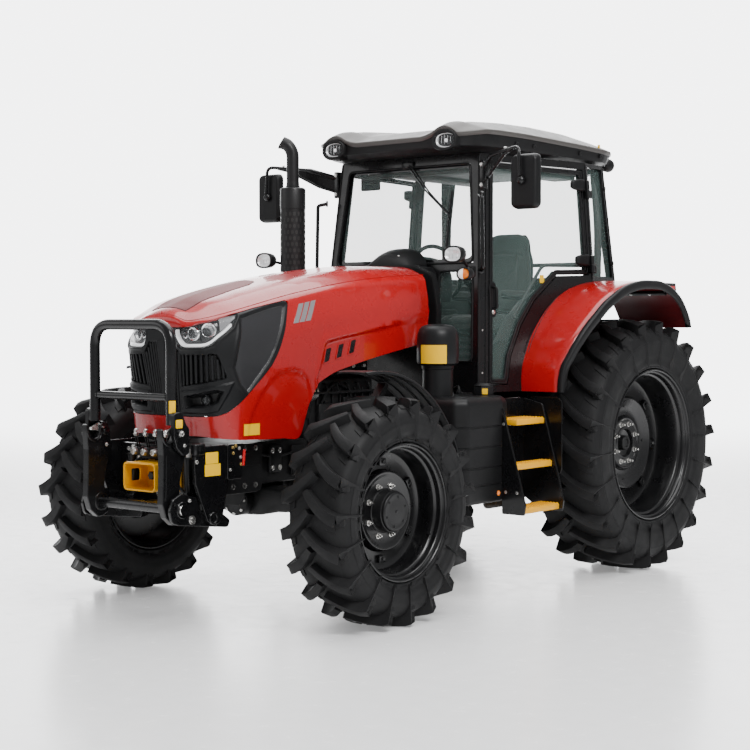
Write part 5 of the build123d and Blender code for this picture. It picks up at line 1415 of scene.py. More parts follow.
# front frame: cast sides with ribs and bolts
fr = Geo()
fr.add(*plate(smooth_poly([(-1.983, 0.76), (-1.983, 0.983), (-1.512, 0.983), (-1.102, 0.983), (-1.102, 0.74), (-1.49, 0.737), (-1.54, 0.702), (-1.90, 0.702)], 0.03, 5), "x", -0.234, 0.234, 0.008), 0)
for sx in (1, -1):
    fr.add(*plate(smooth_poly([(-1.983, 0.78), (-1.983, 0.983), (-1.515, 0.983), (-1.515, 0.72), (-1.56, 0.702), (-1.90, 0.702)], 0.03, 5), "x", sx * 0.232, sx * 0.2695, 0.004), 0)
    for y in (-1.93, -1.84, -1.75, -1.66, -1.57):
        for z in (0.745 if y > -1.9 else 0.80, 0.955):
            fr.add(*bolt((sx * 0.2695, y, z), (sx, 0, 0), 0.011, 0.0), 1)
    fr.add(*tube([(sx * 0.2700, -1.96, 0.86), (sx * 0.2700, -1.54, 0.86)], 0.004, 8), 0)
    fr.add(*rbox(*sorted((sx * 0.234, sx * 0.262)), -1.44, -1.34, 0.80, 0.96, 0.012), 0)
    for y in (-1.42, -1.36):
        for z in (0.83, 0.93):
            fr.add(*bolt((sx * 0.262, y, z), (sx, 0, 0), 0.011, 0.008), 1)
    fr.add(*rbox(*sorted((sx * 0.234, sx * 0.258)), -1.25, -1.13, 0.77, 0.95, 0.012), 0)
    fr.add(*tube(catmull([(sx * 0.262, -1.90, 0.93), (sx * 0.268, -1.78, 0.905), (sx * 0.262, -1.62, 0.93), (sx * 0.252, -1.45, 0.90), (sx * 0.250, -1.30, 0.90), (sx * 0.240, -1.12, 0.93)], 8), 0.008, 10), 2)
for y0_, y1_ in ((-1.509, -1.492), (-1.184, -1.162)):
    fr.add(*plate(smooth_poly([(-0.118, 0.737), (0.118, 0.737), (0.118, 0.66), (0.07, 0.602), (-0.07, 0.602), (-0.118, 0.66)], 0.015, 4), "y", y0_, y1_, 0.003), 0)
f1 = fr.make("front_frame_detailed", ["cast_dark", "zinc", "black_matt"], "chassis", "cast_dark", smooth=38)
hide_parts("front_frame")

# front axle: cast beam swelling towards the middle and the ends
ax = Geo()
rs = []
for x in np.concatenate([np.linspace(-0.742, -0.10, 22), np.linspace(-0.08, 0.08, 5), np.linspace(0.10, 0.742, 22)]):
    a = abs(x)
    top_ = np.interp(a, [0, 0.12, 0.25, 0.45, 0.66, 0.742], [0.716, 0.722, 0.716, 0.694, 0.696, 0.702])
    bot_ = np.interp(a, [0, 0.12, 0.25, 0.45, 0.66, 0.742], [0.536, 0.540, 0.566, 0.576, 0.566, 0.563])
    wy = np.interp(a, [0, 0.12, 0.25, 0.45, 0.66, 0.742], [0.068, 0.069, 0.060, 0.054, 0.062, 0.068])
    rs.append([(float(x), YF + u, (top_ + bot_) / 2 + w) for u, w in rect(2 * wy, float(top_ - bot_), 0.028, 4)])
ax.add(*rings(rs, cap0=True, cap1=True), 0)
for sx in (1, -1):
    ax.add(*lathe([(0.523, 0.052), (0.530, 0.064), (0.545, 0.069), (0.720, 0.069), (0.734, 0.064), (0.7405, 0.052)], (sx * 0.760, YF, 0), (0, 0, 1), 40), 0)
    for k in range(5):
        a = radians(180 * k / 4) + (pi / 2 if sx > 0 else -pi / 2)
        ax.add(*bolt((sx * 0.70 * 0 + sx * (0.735), YF + 0.05 * cos(a), 0.632 + 0.05 * sin(a)), (-sx, 0, 0), 0.006, 0.004), 1)
    # steering ram rods in front of the beam
    ax.add(*tube([(sx * 0.20, YF + 0.100, 0.650), (sx * 0.560, YF + 0.100, 0.648)], 0.014, 16), 1)
    ax.add(*lathe([(0, 0.032), (0.010, 0.035), (0.02, 0.032)], (sx * 0.200, YF + 0.100, 0.650), (sx, 0, 0), 24), 0)
ax.add(*tube([(-0.205, YF + 0.100, 0.650), (0.205, YF + 0.100, 0.650)], 0.032, 28), 0)
ax.add(*lathe([(-0.150, 0.062), (-0.145, 0.074), (-0.125, 0.096), (0.125, 0.096), (0.145, 0.082), (0.150, 0.060)], (0, YF, 0.632), (0, 1, 0), 48), 0)
for k in range(8):
    a = 2 * pi * k / 8
    ax.add(*bolt((0.080 * cos(a), YF - 0.136, 0.632 + 0.080 * sin(a)), (0, -1, 0), 0.008, 0.006), 1)
a1 = ax.make("front_axle_shaped", ["cast_dark", "zinc"], "chassis", "cast_dark", smooth=38)
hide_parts("front_axle_beam")

# drive shaft cover, transmission ribs, side rails, battery box and pipes along the chassis
ch = Geo()
ch.add(*tube([(0, -1.19, 0.70), (0, -0.40, 0.735)], 0.040, 24), 0)
for sx in (1, -1):
    for k in range(7):
        y = -0.36 + 0.14 * k
        ch.add(*rbox(*sorted((sx * 0.238, sx * 0.256)), y - 0.008, y + 0.008, 0.60, 0.98, 0.005), 0)
    for y in (0.56, 0.70, 0.84):
        ch.add(*rbox(*sorted((sx * 0.298, sx * 0.316)), y - 0.008, y + 0.008, 0.60, 1.04, 0.005), 0)
    ch.add(*rings([[(sx * 0.2405 + sx * t, y, z) for y, z in [(-0.405 + a, 0.79 + b) for a, b in rect(0.030, 0.46, 0.010, 3)]] for t in (0, 0.028)], cap1=True), 0)
    for z in (0.60, 0.70, 0.80, 0.90, 0.99):
        ch.add(*bolt((sx * 0.2685, -0.405, z), (sx, 0, 0), 0.009, 0.007), 1)
    ch.add(*lathe([(0.0, 0.175), (0.010, 0.180), (0.030, 0.178), (0.060, 0.150), (0.110, 0.128), (0.12, 0.1155)], (sx * 0.300, YR, RR), (sx, 0, 0), 48), 0)
    for k in range(12):
        a = 2 * pi * k / 12
        ch.add(*bolt((sx * 0.325, YR + 0.163 * cos(a), RR + 0.163 * sin(a)), (sx, 0, 0), 0.010, 0.009), 1)
    ch.add(*lathe([(0.0, 0.118), (0.004, 0.128), (0.045, 0.128), (0.050, 0.118)], (sx * 0.545, YR, RR), (sx, 0, 0), 40), 0)
    for r_, y0_, y1_ in ((0.010, 0.08, 0.60), (0.008, 0.08, 0.60)):
        ch.add(*tube(catmull([(sx * 0.262, -0.30, 0.93 + r_), (sx * 0.27, 0.10, 0.95 - r_ * 3), (sx * 0.275, 0.42, 0.93), (sx * 0.32, 0.56, 0.90 + 2 * r_)], 8), r_, 10), 2)
ch.make("chassis_castings", ["cast_dark", "zinc", "black_matt"], "chassis", "cast_dark", smooth=38)
# ------------------------------------------------------------------ cab roof
def roof_xw(y):
    return np.interp(y, [-0.05, -0.035, 0.02, 0.08, 0.14, 0.22, 0.6, 1.50, 1.58, 1.66, 1.735], [0.560, 0.585, 0.640, 0.675, 0.695, 0.703, 0.705, 0.700, 0.685, 0.640, 0.560])


def roof_top(x, y):
    ax = abs(x)
    r = np.interp(y, [-0.05, 0.3, 1.0, 1.74], [0.468, 0.455, 0.435, 0.415])
    zr = np.interp(y, [-0.05, 0.02, 0.10, 0.22, 0.55, 0.9, 1.3, 1.6, 1.74], [2.898, 2.925, 2.950, 2.966, 2.988, 2.996, 2.988, 2.960, 2.925])
    ze = np.interp(y, [-0.05, 0.10, 0.5, 1.2, 1.6, 1.74], [2.868, 2.890, 2.893, 2.880, 2.866, 2.858])
    zc = np.interp(y, [-0.05, 0.02, 0.10, 0.25, 0.55, 0.9, 1.3, 1.6, 1.74], [2.858, 2.884, 2.912, 2.938, 2.968, 2.980, 2.974, 2.948, 2.915])
    if ax < r:
        t = ax / r
        z = zc + (zr - zc) * smoothstep((t - 0.55) / 0.42)
    else:
        t = (ax - r) / max(roof_xw(y) - r, 0.02)
        z = zr + (ze - zr) * min(1, t) ** 1.25
    pod = math.exp(-((ax - 0.466) / 0.085) ** 4) * float(smoothstep((0.16 - y) / 0.14))
    return float(z + 0.018 * pod)


YS = np.concatenate([np.linspace(-0.05, 0.30, 30), np.linspace(0.32, 1.50, 44), np.linspace(1.52, 1.735, 16)])
US = np.sin(np.linspace(-pi / 2, pi / 2, 91) * 0.999)
US = np.sign(US) * np.abs(US) ** 0.9
US[0], US[-1] = -1, 1
top = []
for y in YS:
    w = float(roof_xw(y))
    top.append([(u * w, float(y), roof_top(u * w, y)) for u in US])
nu, nv = len(YS), len(US)
g = Geo()
v, f = rings(top, closed_v=False)
g.add(v, f, 0)
loop = [(0, i) for i in range(nv)] + [(j, nv - 1) for j in range(1, nu)] + [(nu - 1, i) for i in range(nv - 2, -1, -1)] + [(j, 0) for j in range(nu - 2, 0, -1)]
base = [Vector(top[j][i]) for j, i in loop]


def roof_ring(dx, zf):
    out = []
    for p in base:
        c = Vector((0, 0.84, 0))
        q = Vector((p.x, p.y, 0)) - c
        sx = 1 - dx / 0.70
        sy = 1 - dx / 0.89
        out.append((c.x + q.x * sx, c.y + q.y * sy, zf(p)))
    return out


podf = lambda p: math.exp(-((abs(p.x) - 0.466) / 0.095) ** 4) * float(smoothstep((0.06 - p.y) / 0.06))
ring = [[tuple(p) for p in base],
        roof_ring(-0.0035, lambda p: p.z - 0.006),
        roof_ring(-0.002, lambda p: p.z - 0.018),
        roof_ring(0.006, lambda p: p.z - 0.030)]
edge_z = lambda p, d: (p.z - 0.030) * (1 - d) + 2.800 * d
v, f = rings(ring)
g.add(v, f, 0)
ring2 = [ring[-1], roof_ring(0.010, lambda p: p.z - 0.032), roof_ring(0.012, lambda p: edge_z(p, 0.3)), roof_ring(0.016, lambda p: max(2.792, edge_z(p, 0.9))), roof_ring(0.024, lambda p: 2.785),
         roof_ring(0.060, lambda p: 2.768), roof_ring(0.085, lambda p: 2.760), roof_ring(0.100, lambda p: 2.7575), roof_ring(0.40, lambda p: 2.757)]
v, f = rings(ring2, cap1=True)
g.add(v, f, 1)
roof = g.make("cab_roof_shaped", ["roof_grey", "black_matt"], "chassis", "roof_grey", smooth=28)
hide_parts("cab_roof")

# roof details: hatch line, press marks and small caps under the side band
g = Geo()
hatch = smooth_poly([(-0.30, 0.42), (0.30, 0.42), (0.30, 1.10), (-0.30, 1.10)], 0.09, 8)
pts = [(x, y, roof_top(x, y) + 0.001) for x, y in hatch]
dens = []
for a, b in zip(pts, pts[1:] + pts[:1]):
    for t in np.linspace(0, 1, 4, endpoint=False):
        x, y = a[0] + (b[0] - a[0]) * t, a[1] + (b[1] - a[1]) * t
        dens.append((x, y, roof_top(x, y) + 0.0008))
g.add(*sweep(dens, rect(0.010, 0.005, 0.001, 1), (0, 0, 1), closed=True), 0)
for x in (-0.12, -0.06, 0.0):
    g.add(*rbox(x - 0.018, x + 0.018, 0.86, 0.90, 2.965, 2.998, 0.008), 0)
for sx in (1, -1):
    for y in (0.42, 0.62, 1.18, 1.44):
        g.add(*lathe([(-0.004, 0.016), (0.004, 0.016), (0.006, 0.012), (0.004, 0.007), (0.004, 0.0002)], (sx * 0.692, y, 2.822), (sx, 0, -0.2), 18), 0)
    g.add(*rbox(sx * 0.676 - 0.008, sx * 0.676 + 0.008, 1.44, 1.452, 2.87, 2.905, 0.003), 1)
g.make("cab_roof_details", ["black_matt", "decal"], "chassis", "black_matt")

# lamp pods: black arch round each front lamp, oval glass, reflector
g = Geo()
gl = Geo()
def oval(cx, cz, rx, rz, y, n=40, p=2.4):
    return [(cx + rx * np.sign(cos(t)) * abs(cos(t)) ** (2 / p), y, cz + rz * np.sign(sin(t)) * abs(sin(t)) ** (2 / p)) for t in np.linspace(0, 2 * pi, n, endpoint=False)]


for sx in (1, -1):
    cx, cz = sx * 0.466, 2.822
    g.add(*rings([oval(cx, cz, 0.085, 0.062, 0.09), oval(cx, cz, 0.100, 0.068, 0.02), oval(cx, cz, 0.100, 0.068, -0.050), oval(cx, cz, 0.094, 0.062, -0.0615), oval(cx, cz, 0.080, 0.049, -0.0615), oval(cx, cz, 0.076, 0.046, -0.050), oval(cx, cz, 0.070, 0.042, -0.036)], cap0=True), 0)
    gl.add(*rings([oval(cx, cz, 0.074, 0.0445, -0.046), oval(cx, cz, 0.062, 0.036, -0.024), oval(cx, cz, 0.034, 0.024, -0.010), oval(cx, cz, 0.012, 0.010, -0.006)], cap1=True), 1)
    gl.add(*rings([oval(cx, cz, 0.076, 0.046, -0.050), oval(cx, cz, 0.070, 0.041, -0.0555), oval(cx, cz, 0.048, 0.028, -0.0595), oval(cx, cz, 0.018, 0.011, -0.0605)], cap1=True), 0)
    for k in (-2, -1, 0, 1, 2):
        gl.add(*tube([(cx + k * 0.024, -0.049, cz - 0.036 + abs(k) * 0.007), (cx + k * 0.024, -0.053, cz), (cx + k * 0.024, -0.049, cz + 0.036 - abs(k) * 0.007)], 0.0011, 6), 3)
    gl.add(*lathe([(0.0, 0.013), (0.012, 0.011), (0.018, 0.005), (0.019, 0.0002)], (cx, -0.030, cz), (0, -1, 0), 18), 2)
    # round rear work lamps
    c = Vector((sx * 0.560, 1.690, 2.790))
    prof = [(0.0, 0.018), (0.006, 0.030), (0.022, 0.042), (0.045, 0.047), (0.070, 0.048), (0.078, 0.046), (0.080, 0.040), (0.074, 0.037)]
    g.add(*lathe(prof, c, (0, 1, 0), 36, cap=False), 0)
    gl.add(*lathe([(0.074, 0.037), (0.077, 0.026), (0.079, 0.010), (0.0795, 0.0002)], c, (0, 1, 0), 30), 1)
    g.add(*rbox(c.x - 0.014, c.x + 0.014, 1.72, 1.75, 2.815, 2.862, 0.004), 0)
g.make("lamp_pods", ["black_matt"], "chassis", "black_matt", smooth=35)
lm = gl.make("work_lamp_glasses", ["lens", "reflector", "drl", "chrome"], "chassis", "lamp", smooth=40)
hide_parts("work_lamps")

# ------------------------------------------------------------------ mirrors and handrails
g, gh, gm = Geo(), Geo(), Geo()
for sx in (1, -1):
    P = lambda x, y, z: (sx * x, y, z)
    arm = round_path([P(0.615, 0.160, 2.655), P(0.77, 0.035, 2.712), P(1.052, -0.080, 2.742), P(1.062, -0.084, 2.560)], [0.10, 0.045], 8)
    n = len(arm)
    g.add(*tube(arm, 0.012, 16, radii=[0.017 - 0.006 * min(1, 2 * i / n) for i in range(n)]), 0)
    # lower stay and the gusset between
    g.add(*tube(round_path([P(0.615, 0.160, 2.560), P(0.72, 0.085, 2.60), P(0.90, -0.015, 2.708), P(0.98, -0.05, 2.730)], 0.05, 5), 0.010, 14), 0)
    gus = [P(0.61, 0.165, 2.655), P(0.78, 0.030, 2.705), P(0.90, -0.02, 2.712), P(0.72, 0.085, 2.60), P(0.61, 0.165, 2.565)]
    g.add(*rings([[(x, y - 0.003, z) for x, y, z in gus], [(x, y + 0.003, z) for x, y, z in gus]], cap0=True, cap1=True), 0)
    g.add(*rbox(min(sx * 0.595, sx * 0.635), max(sx * 0.595, sx * 0.635), 0.140, 0.185, 2.52, 2.70, 0.008), 0)
    for z in (2.545, 2.675):
        g.add(*bolt(P(0.615, 0.138, z), (0, -1, 0), 0.009, 0.007), 1)
    g.add(*bolt(P(0.93, -0.045, 2.742), (0, -0.3, 1), 0.008, 0.007), 1)
    # ball joint knob on the mirror back
    g.add(*lathe([(0.0, 0.026), (0.010, 0.028), (0.020, 0.024), (0.030, 0.014), (0.032, 0.0003)], P(1.062, -0.062, 2.535), (0, -1, 0), 24), 0)
    for k in range(8):
        a = 2 * pi * k / 8
        g.add(*tube([P(1.062 + 0.026 * cos(a), -0.066, 2.535 + 0.026 * sin(a)), P(1.062 + 0.022 * cos(a), -0.082, 2.535 + 0.022 * sin(a))], 0.004, 6), 0)
    # mirror head: deep rounded back, glass on the driver's side
    cx, cz, w, h = 1.069, 2.530, 0.194, 0.336
    rs = []
    for y, k, r in ((-0.060, 0.80, 0.020), (-0.0585, 0.87, 0.026), (-0.050, 0.955, 0.034), (-0.030, 0.99, 0.036), (-0.012, 1.0, 0.036), (-0.004, 0.995, 0.036), (0.0, 0.97, 0.033), (-0.002, 0.93, 0.030), (-0.008, 0.91, 0.028)):
        rs.append([P(cx + a, y, cz + b) for a, b in rect(w * k, h * k if k > 0.9 else h * (k + 0.03), r, 5)])
    gh.add(*rings(rs, cap0=True), 0)
    gm.add(*rings([[P(cx + a, -0.0065, cz + b) for a, b in rect(w * 0.915, h * 0.915, 0.028, 5)], [P(cx + a, -0.0055, cz + b) for a, b in rect(w * 0.90, h * 0.90, 0.028, 5)]], cap1=True, cap0=True), 0)
    # handrail in front of the door
    g.add(*tube(round_path([P(0.655, 0.085, 2.000), P(0.700, 0.040, 2.012), P(0.690, 0.040, 2.466), P(0.640, 0.085, 2.480)], 0.022, 6), 0.0125, 14), 0)
    for z in (2.000, 2.480):
        g.add(*lathe([(-0.004, 0.022), (0.004, 0.022), (0.006, 0.018)], P(0.650, 0.088, z), (0.6 * sx, -0.8, 0), 18), 0)
arms = g.make("mirror_arms_shaped", ["black_steel", "zinc"], "chassis", "black_steel", smooth=40)
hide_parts("mirror_arms_and_handrails")
mh = gh.make("mirror_heads_shaped", ["black_matt"], "chassis", "black_matt", smooth=40)
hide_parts("mirror_heads")
M["mirror"] = material("mirror_glass", (0.75, 0.78, 0.80), 0.03, 1.0, var=0.02)
gm.make("mirror_glasses", ["mirror"], "chassis", "black_matt")

# ------------------------------------------------------------------ lamps beside the bonnet
g, gl = Geo(), Geo()
for sx in (1, -1):
    cx, cz = sx * 0.788, 2.082
    def so(rx, rz, y, n=36, p=2.6, cx=cx, cz=cz):
        return oval(cx, cz, rx, rz, y, n, p)
    g.add(*rings([so(0.030, 0.020, -0.322), so(0.056, 0.038, -0.330), so(0.070, 0.048, -0.352), so(0.074, 0.052, -0.380), so(0.074, 0.052, -0.394), so(0.070, 0.049, -0.4), so(0.063, 0.043, -0.4), so(0.061, 0.041, -0.392)], cap0=True), 0)
    gl.add(*rings([so(0.061, 0.041, -0.390), so(0.048, 0.031, -0.372), so(0.020, 0.014, -0.362)], cap1=True), 1)
    gl.add(*rings([so(0.061, 0.041, -0.392), so(0.050, 0.033, -0.3965), so(0.020, 0.014, -0.3985)], cap1=True), 0)
    for k in (-1, 0, 1):
        gl.add(*tube([(cx + k * 0.026, -0.391, cz - 0.034 + abs(k) * 0.008), (cx + k * 0.026, -0.3945, cz), (cx + k * 0.026, -0.391, cz + 0.034 - abs(k) * 0.008)], 0.0011, 6), 5)
    # lower lamp: clear inside, orange outer half
    cx2, cz2 = sx * 0.7085, 1.970
    def s2(rx, rz, y, n=36):
        return oval(cx2, cz2, rx, rz, y, n, 2.5)
    g.add(*rings([s2(0.024, 0.018, -0.117), s2(0.044, 0.032, -0.124), s2(0.054, 0.040, -0.145), s2(0.054, 0.040, -0.176), s2(0.051, 0.037, -0.183), s2(0.046, 0.034, -0.183), s2(0.045, 0.033, -0.176)], cap0=True), 0)
    for half, mi in ((0, 3), (1, 4)):
        ts = np.linspace(-pi / 2, pi / 2, 16) if (half == 1) == (sx > 0) else np.linspace(pi / 2, 3 * pi / 2, 16)
        rows = []
        for k, yy in ((1.0, -0.174), (0.86, -0.180), (0.5, -0.184), (0.0, -0.185)):
            rows.append([(cx2 + 0.0455 * k * cos(t), yy, cz2 + 0.0335 * k * sin(t)) for t in ts])
        gl.add(*rings(rows, closed_v=False), mi)
    # stalks
    g.add(*tube(round_path([(sx * 0.628, 0.030, 1.990), (sx * 0.66, -0.05, 2.000), (sx * 0.745, -0.24, 2.062), (sx * 0.795, -0.325, 2.080)], 0.05, 6), 0.0095, 12), 0)
    g.add(*tube(round_path([(sx * 0.66, -0.05, 2.000), (sx * 0.700, -0.09, 1.985), (sx * 0.7085, -0.120, 1.972)], 0.02, 5), 0.0085, 12), 0)
    g.add(*rbox(min(sx * 0.61, sx * 0.645), max(sx * 0.61, sx * 0.645), 0.0, 0.045, 1.955, 2.025, 0.006), 0)
    g.add(*bolt((sx * 0.6275, -0.001, 1.990), (0, -1, 0), 0.008, 0.006), 0)
sl = g.make("side_lamp_housings", ["black_matt"], "chassis", "black_matt", smooth=40)
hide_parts("side_lamps")
gl.make("side_lamp_glasses", ["lens", "reflector", "drl", "drl", "orange", "chrome"], "chassis", "lamp", smooth=45)

# ------------------------------------------------------------------ exhaust
g = Geo()
ex, ey = -0.610, -0.300
g.add(*lathe([(0.0, 0.060), (0.12, 0.060), (0.122, 0.052)], (ex, ey, 1.440), (0, 0, 1), 40), 0)
g.add(*lathe([(1.500, 0.052), (1.548, 0.058), (1.560, 0.0845), (1.575, 0.085), (1.95, 0.085), (1.9505, 0.0825), (2.42, 0.0825), (2.4205, 0.085), (2.546, 0.085), (2.556, 0.082), (2.562, 0.070), (2.563, 0.046)], (ex, ey, 0), (0, 0, 1), 72), 0)
# slots in the guard round the pipe
for r in range(11):
    for k in range(18):
        a = 2 * pi * (k + 0.5 * (r % 2)) / 18
        z = 1.985 + 0.040 * r
        d = Vector((cos(a), sin(a), 0))
        p = Vector((ex, ey, z)) + d * 0.0824
        t = Vector((-sin(a), cos(a), 0))
        q = [p + t * 0.0085 * cx_ + Vector((0, 0, 0.013 * cz_)) for cx_, cz_ in ((-1, -0.6), (-0.5, -1), (0.5, -1), (1, -0.6), (1, 0.6), (0.5, 1), (-0.5, 1), (-1, 0.6))]
        g.add(*rings([[tuple(w - d * 0.002) for w in q], [tuple(w + d * 0.0008) for w in q]], cap1=True), 1)
# clamp and outlet bend with a slanted end
g.add(*lathe([(2.560, 0.047), (2.575, 0.047), (2.576, 0.043), (2.6, 0.042)], (ex, ey, 0), (0, 0, 1), 40, cap=False), 0)
path = [Vector((ex, ey, 2.560)), Vector((ex, ey, 2.68)), Vector((ex, ey, 2.735))] + [Vector(p) for p in catmull([(ex, ey, 2.760), (-0.6125, -0.302, 2.790), (-0.622, -0.312, 2.822), (-0.640, -0.326, 2.848), (-0.668, -0.3455, 2.862)], 5)]
v, f = tube(path, 0.0415, 32, cap=False)
nn = 32
for i in range(nn):                                  # slanted outlet
    x, y, z = v[len(v) - nn + i]
    k = (z - 2.862) / 0.0415
    v[len(v) - nn + i] = (x - 0.0 + 0.010 * k, y + 0.004 * k, z)
g.add(v, f, 0)
v2, f2 = tube(path[-6:], 0.038, 32, cap=False)
for i in range(nn):
    x, y, z = v2[len(v2) - nn + i]
    k = (z - 2.862) / 0.038
    v2[len(v2) - nn + i] = (x + 0.010 * k, y + 0.004 * k, z)
g.add(v2, f2, 2)
# rim ring between both
b = len(v) - nn
ring_o, ring_i = v[b:], v2[len(v2) - nn:]
g.add(*rings([ring_o, ring_i]), 0)
g.add(*lathe([(0, 0.038), (0.001, 0.0002)], path[-6], path[-5] - path[-6], 24, cap=False), 1)
exh = g.make("exhaust_shaped", ["dark_grey_steel", "mesh_black", "cast_dark"], "chassis", "dark_grey_steel", smooth=35)
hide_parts("exhaust_stack")
# ------------------------------------------------------------------ rear mudguards
PROF = [(0.420, 1.225), (0.423, 1.30), (0.440, 1.385), (0.470, 1.450), (0.530, 1.560), (0.600, 1.650), (0.690, 1.742), (0.780, 1.812), (0.890, 1.872), (1.000, 1.912), (1.110, 1.936), (1.220, 1.950), (1.340, 1.9525), (1.450, 1.948), (1.560, 1.922), (1.660, 1.880), (1.740, 1.826), (1.800, 1.760), (1.842, 1.70), (1.866, 1.640)]
PR = np.array(catmull([(a, b) for a, b in PROF], 4))
SEG = np.concatenate([[0], np.cumsum(np.hypot(np.diff(PR[:, 0]), np.diff(PR[:, 1])))])


def xo_at(y):
    """Half width of the guard, following its plan outline."""
    return np.interp(y, [0.40, 0.4401, 0.530, 0.680, 0.860, 1.90], [1.005, 1.022, 1.075, 1.125, 1.150, 1.150])


def inner_at(y):
    return np.interp(y, [0.40, 1.373, 1.47, 1.9], [0.66, 0.66, 0.66, 0.66])


def frames2(P):
    T = np.gradient(P, axis=0)
    T /= np.linalg.norm(T, axis=1, keepdims=True)
    return T, np.stack([-T[:, 1], T[:, 0]], 1)              # normal to the left of travel = outward (up/front)


T2, N2 = frames2(PR)
for nm, sx in (("left", 1), ("right", -1)):
    g = Geo()
    rs_out, rs_in = [], []
    for (y, z), n in zip(PR, N2):
        xo = float(xo_at(y)) - 0.002
        xi = 0.622
        row = []
        for t in np.concatenate([np.linspace(0, 0.90, 12), np.linspace(0.915, 1.0, 10)]):
            x = xi + (xo - xi) * t
            drop = 0.0
            # crowned across, rolled over at the outer edge
            drop += 0.006 * (abs(t - 0.5) * 2) ** 2
            if t > 0.90:
                q = (t - 0.90) / 0.10
                drop += 0.020 * q ** 2.2
            drop -= 0.0
            row.append((sx * x, y - n[0] * drop, z - n[1] * drop))
        rs_out.append(row)
        rs_in.append([(sx * (xi + (xo - 0.004 - xi) * t), y - n[0] * 0.026, z - n[1] * 0.026) for t in np.linspace(1, 0, 8)])
    both = [a + b for a, b in zip(rs_out, rs_in)]
    v, f = rings(both, cap0=False, cap1=False)
    nrow = len(both[0])
    # the underside rows take the darker red: painted shade under the guard
    mi = []
    for a in range(len(both) - 1):
        for i in range(nrow):
            mi.append(0 if i < 22 else 1)
    b = len(g.v)
    g.add(v, f, 0)
    g.m[-len(f):] = mi
    # end caps as strips
    for e, rowp in ((0, both[0]), (1, both[-1])):
        k = 22
        A, B = rowp[:k], rowp[k:][::-1]
        ii = np.linspace(0, k - 1, len(B)).astype(int)
        g.add(*rings([[A[i] for i in ii], B], closed_v=False), 0)
    # join line near the cab
    line = []
    for (y, z), n in zip(PR, N2):
        if 0.47 < y < 1.80:
            line.append((sx * 0.745, y - n[0] * 0.001, z - n[1] * 0.001))
    g.add(*sweep(line, rect(0.004, 0.006, 0.001, 1), (0, -0.5, 1)), 2)
    ob = g.make(f"rear_mudguard_{nm}_shaped", ["red_gloss", "red_painted_shade", "mesh_black"], "chassis", "red_gloss", smooth=32)
    # under-side stiffeners and brackets
    g = Geo()
    for yy in (0.62, 0.95, 1.30, 1.62):
        i = int(np.argmin(abs(PR[:, 0] - yy)))
        y, z = PR[i]
        n = N2[i]
        t = T2[i]
        pts = [(sx * x, y - n[0] * 0.036, z - n[1] * 0.036) for x in (0.66, float(xo_at(y)) - 0.03)]
        g.add(*sweep(pts, rect(0.040, 0.020, 0.004, 2), (0, n[0], n[1])), 0)
        for x in (0.70, 0.85, 1.0):
            g.add(*bolt((sx * x, y - n[0] * 0.045, z - n[1] * 0.045), (0, -n[0], -n[1]), 0.008, 0.006), 1)
    g.make(f"rear_mudguard_{nm}_ribs", ["cast_dark", "zinc"], "chassis", "black_steel", smooth=35)
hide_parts("rear_mudguards")

# wide lips: rolled edge, flat band facing out, rounded rear corner
g = Geo()
sec_n = 14
for sx in (1,):
    rows = []
    lastn = len(PR) - 1
    for k, ((y, z), n) in enumerate(zip(PR, N2)):
        xo = float(xo_at(y))
        s = SEG[k]
        end = SEG[-1] - s
        taper = float(smoothstep(s / 0.05)) * 0.5 + 0.5
        tail = float(smoothstep(end / 0.06)) * 0.6 + 0.4
        w = 0.0335
        dpt = 0.060 * taper * tail
        # (x offset from the guard edge, depth below the outline)
        sec = [(-0.006, 0.005), (0.006, 0.000), (0.018, 0.0005), (0.026, 0.003), (0.0315, 0.009), (w, 0.018), (w, dpt * 0.55), (w - 0.0015, dpt * 0.86), (w - 0.006, dpt * 0.97), (w - 0.012, dpt), (w - 0.017, dpt * 0.96), (w - 0.018, dpt * 0.84), (0.012, 0.030), (-0.006, 0.026)]
        rows.append([(xo + a, y - n[0] * b, z - n[1] * b) for a, b in sec])
    v, f = rings(rows, cap0=True, cap1=True)
    g.add(v, f, 0)
g.mirror()
lips = g.make("rear_mudguard_lips_shaped", ["black_matt"], "chassis", "black_matt", smooth=38)
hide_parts("rear_mudguard_lips")

# tail lamps: housing reaching down to the mudguard, red lens, orange end
g = Geo()
for sx in (1, -1):
    g.add(*plate(smooth_poly([(1.702, 1.858), (1.712, 1.944), (1.855, 1.944), (1.864, 1.900), (1.858, 1.850), (1.748, 1.847), (1.722, 1.850)], 0.010, 4), "x", *sorted((sx * 0.8615, sx * 1.0585)), 0.004), 0 if True else 1)
    g.add(*rbox(*sorted((sx * 0.866, sx * 1.054)), 1.706, 1.857, 1.900, 1.9448, 0.010, 3), 1)
    g.add(*rbox(*sorted((sx * 0.866, sx * 0.975)), 1.850, 1.8645, 1.858, 1.938, 0.006, 3), 1)
    g.add(*rbox(*sorted((sx * 0.979, sx * 1.054)), 1.850, 1.8645, 1.858, 1.938, 0.006, 3), 3)
    g.add(*rbox(*sorted((sx * 1.050, sx * 1.0598)), 1.722, 1.848, 1.866, 1.925, 0.005, 2), 1)
tl = g.make("tail_lamps_shaped", ["lamp_black", "red_lamp", "lens", "orange"], "chassis", "red_lamp", smooth=35)
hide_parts("tail_lamps")

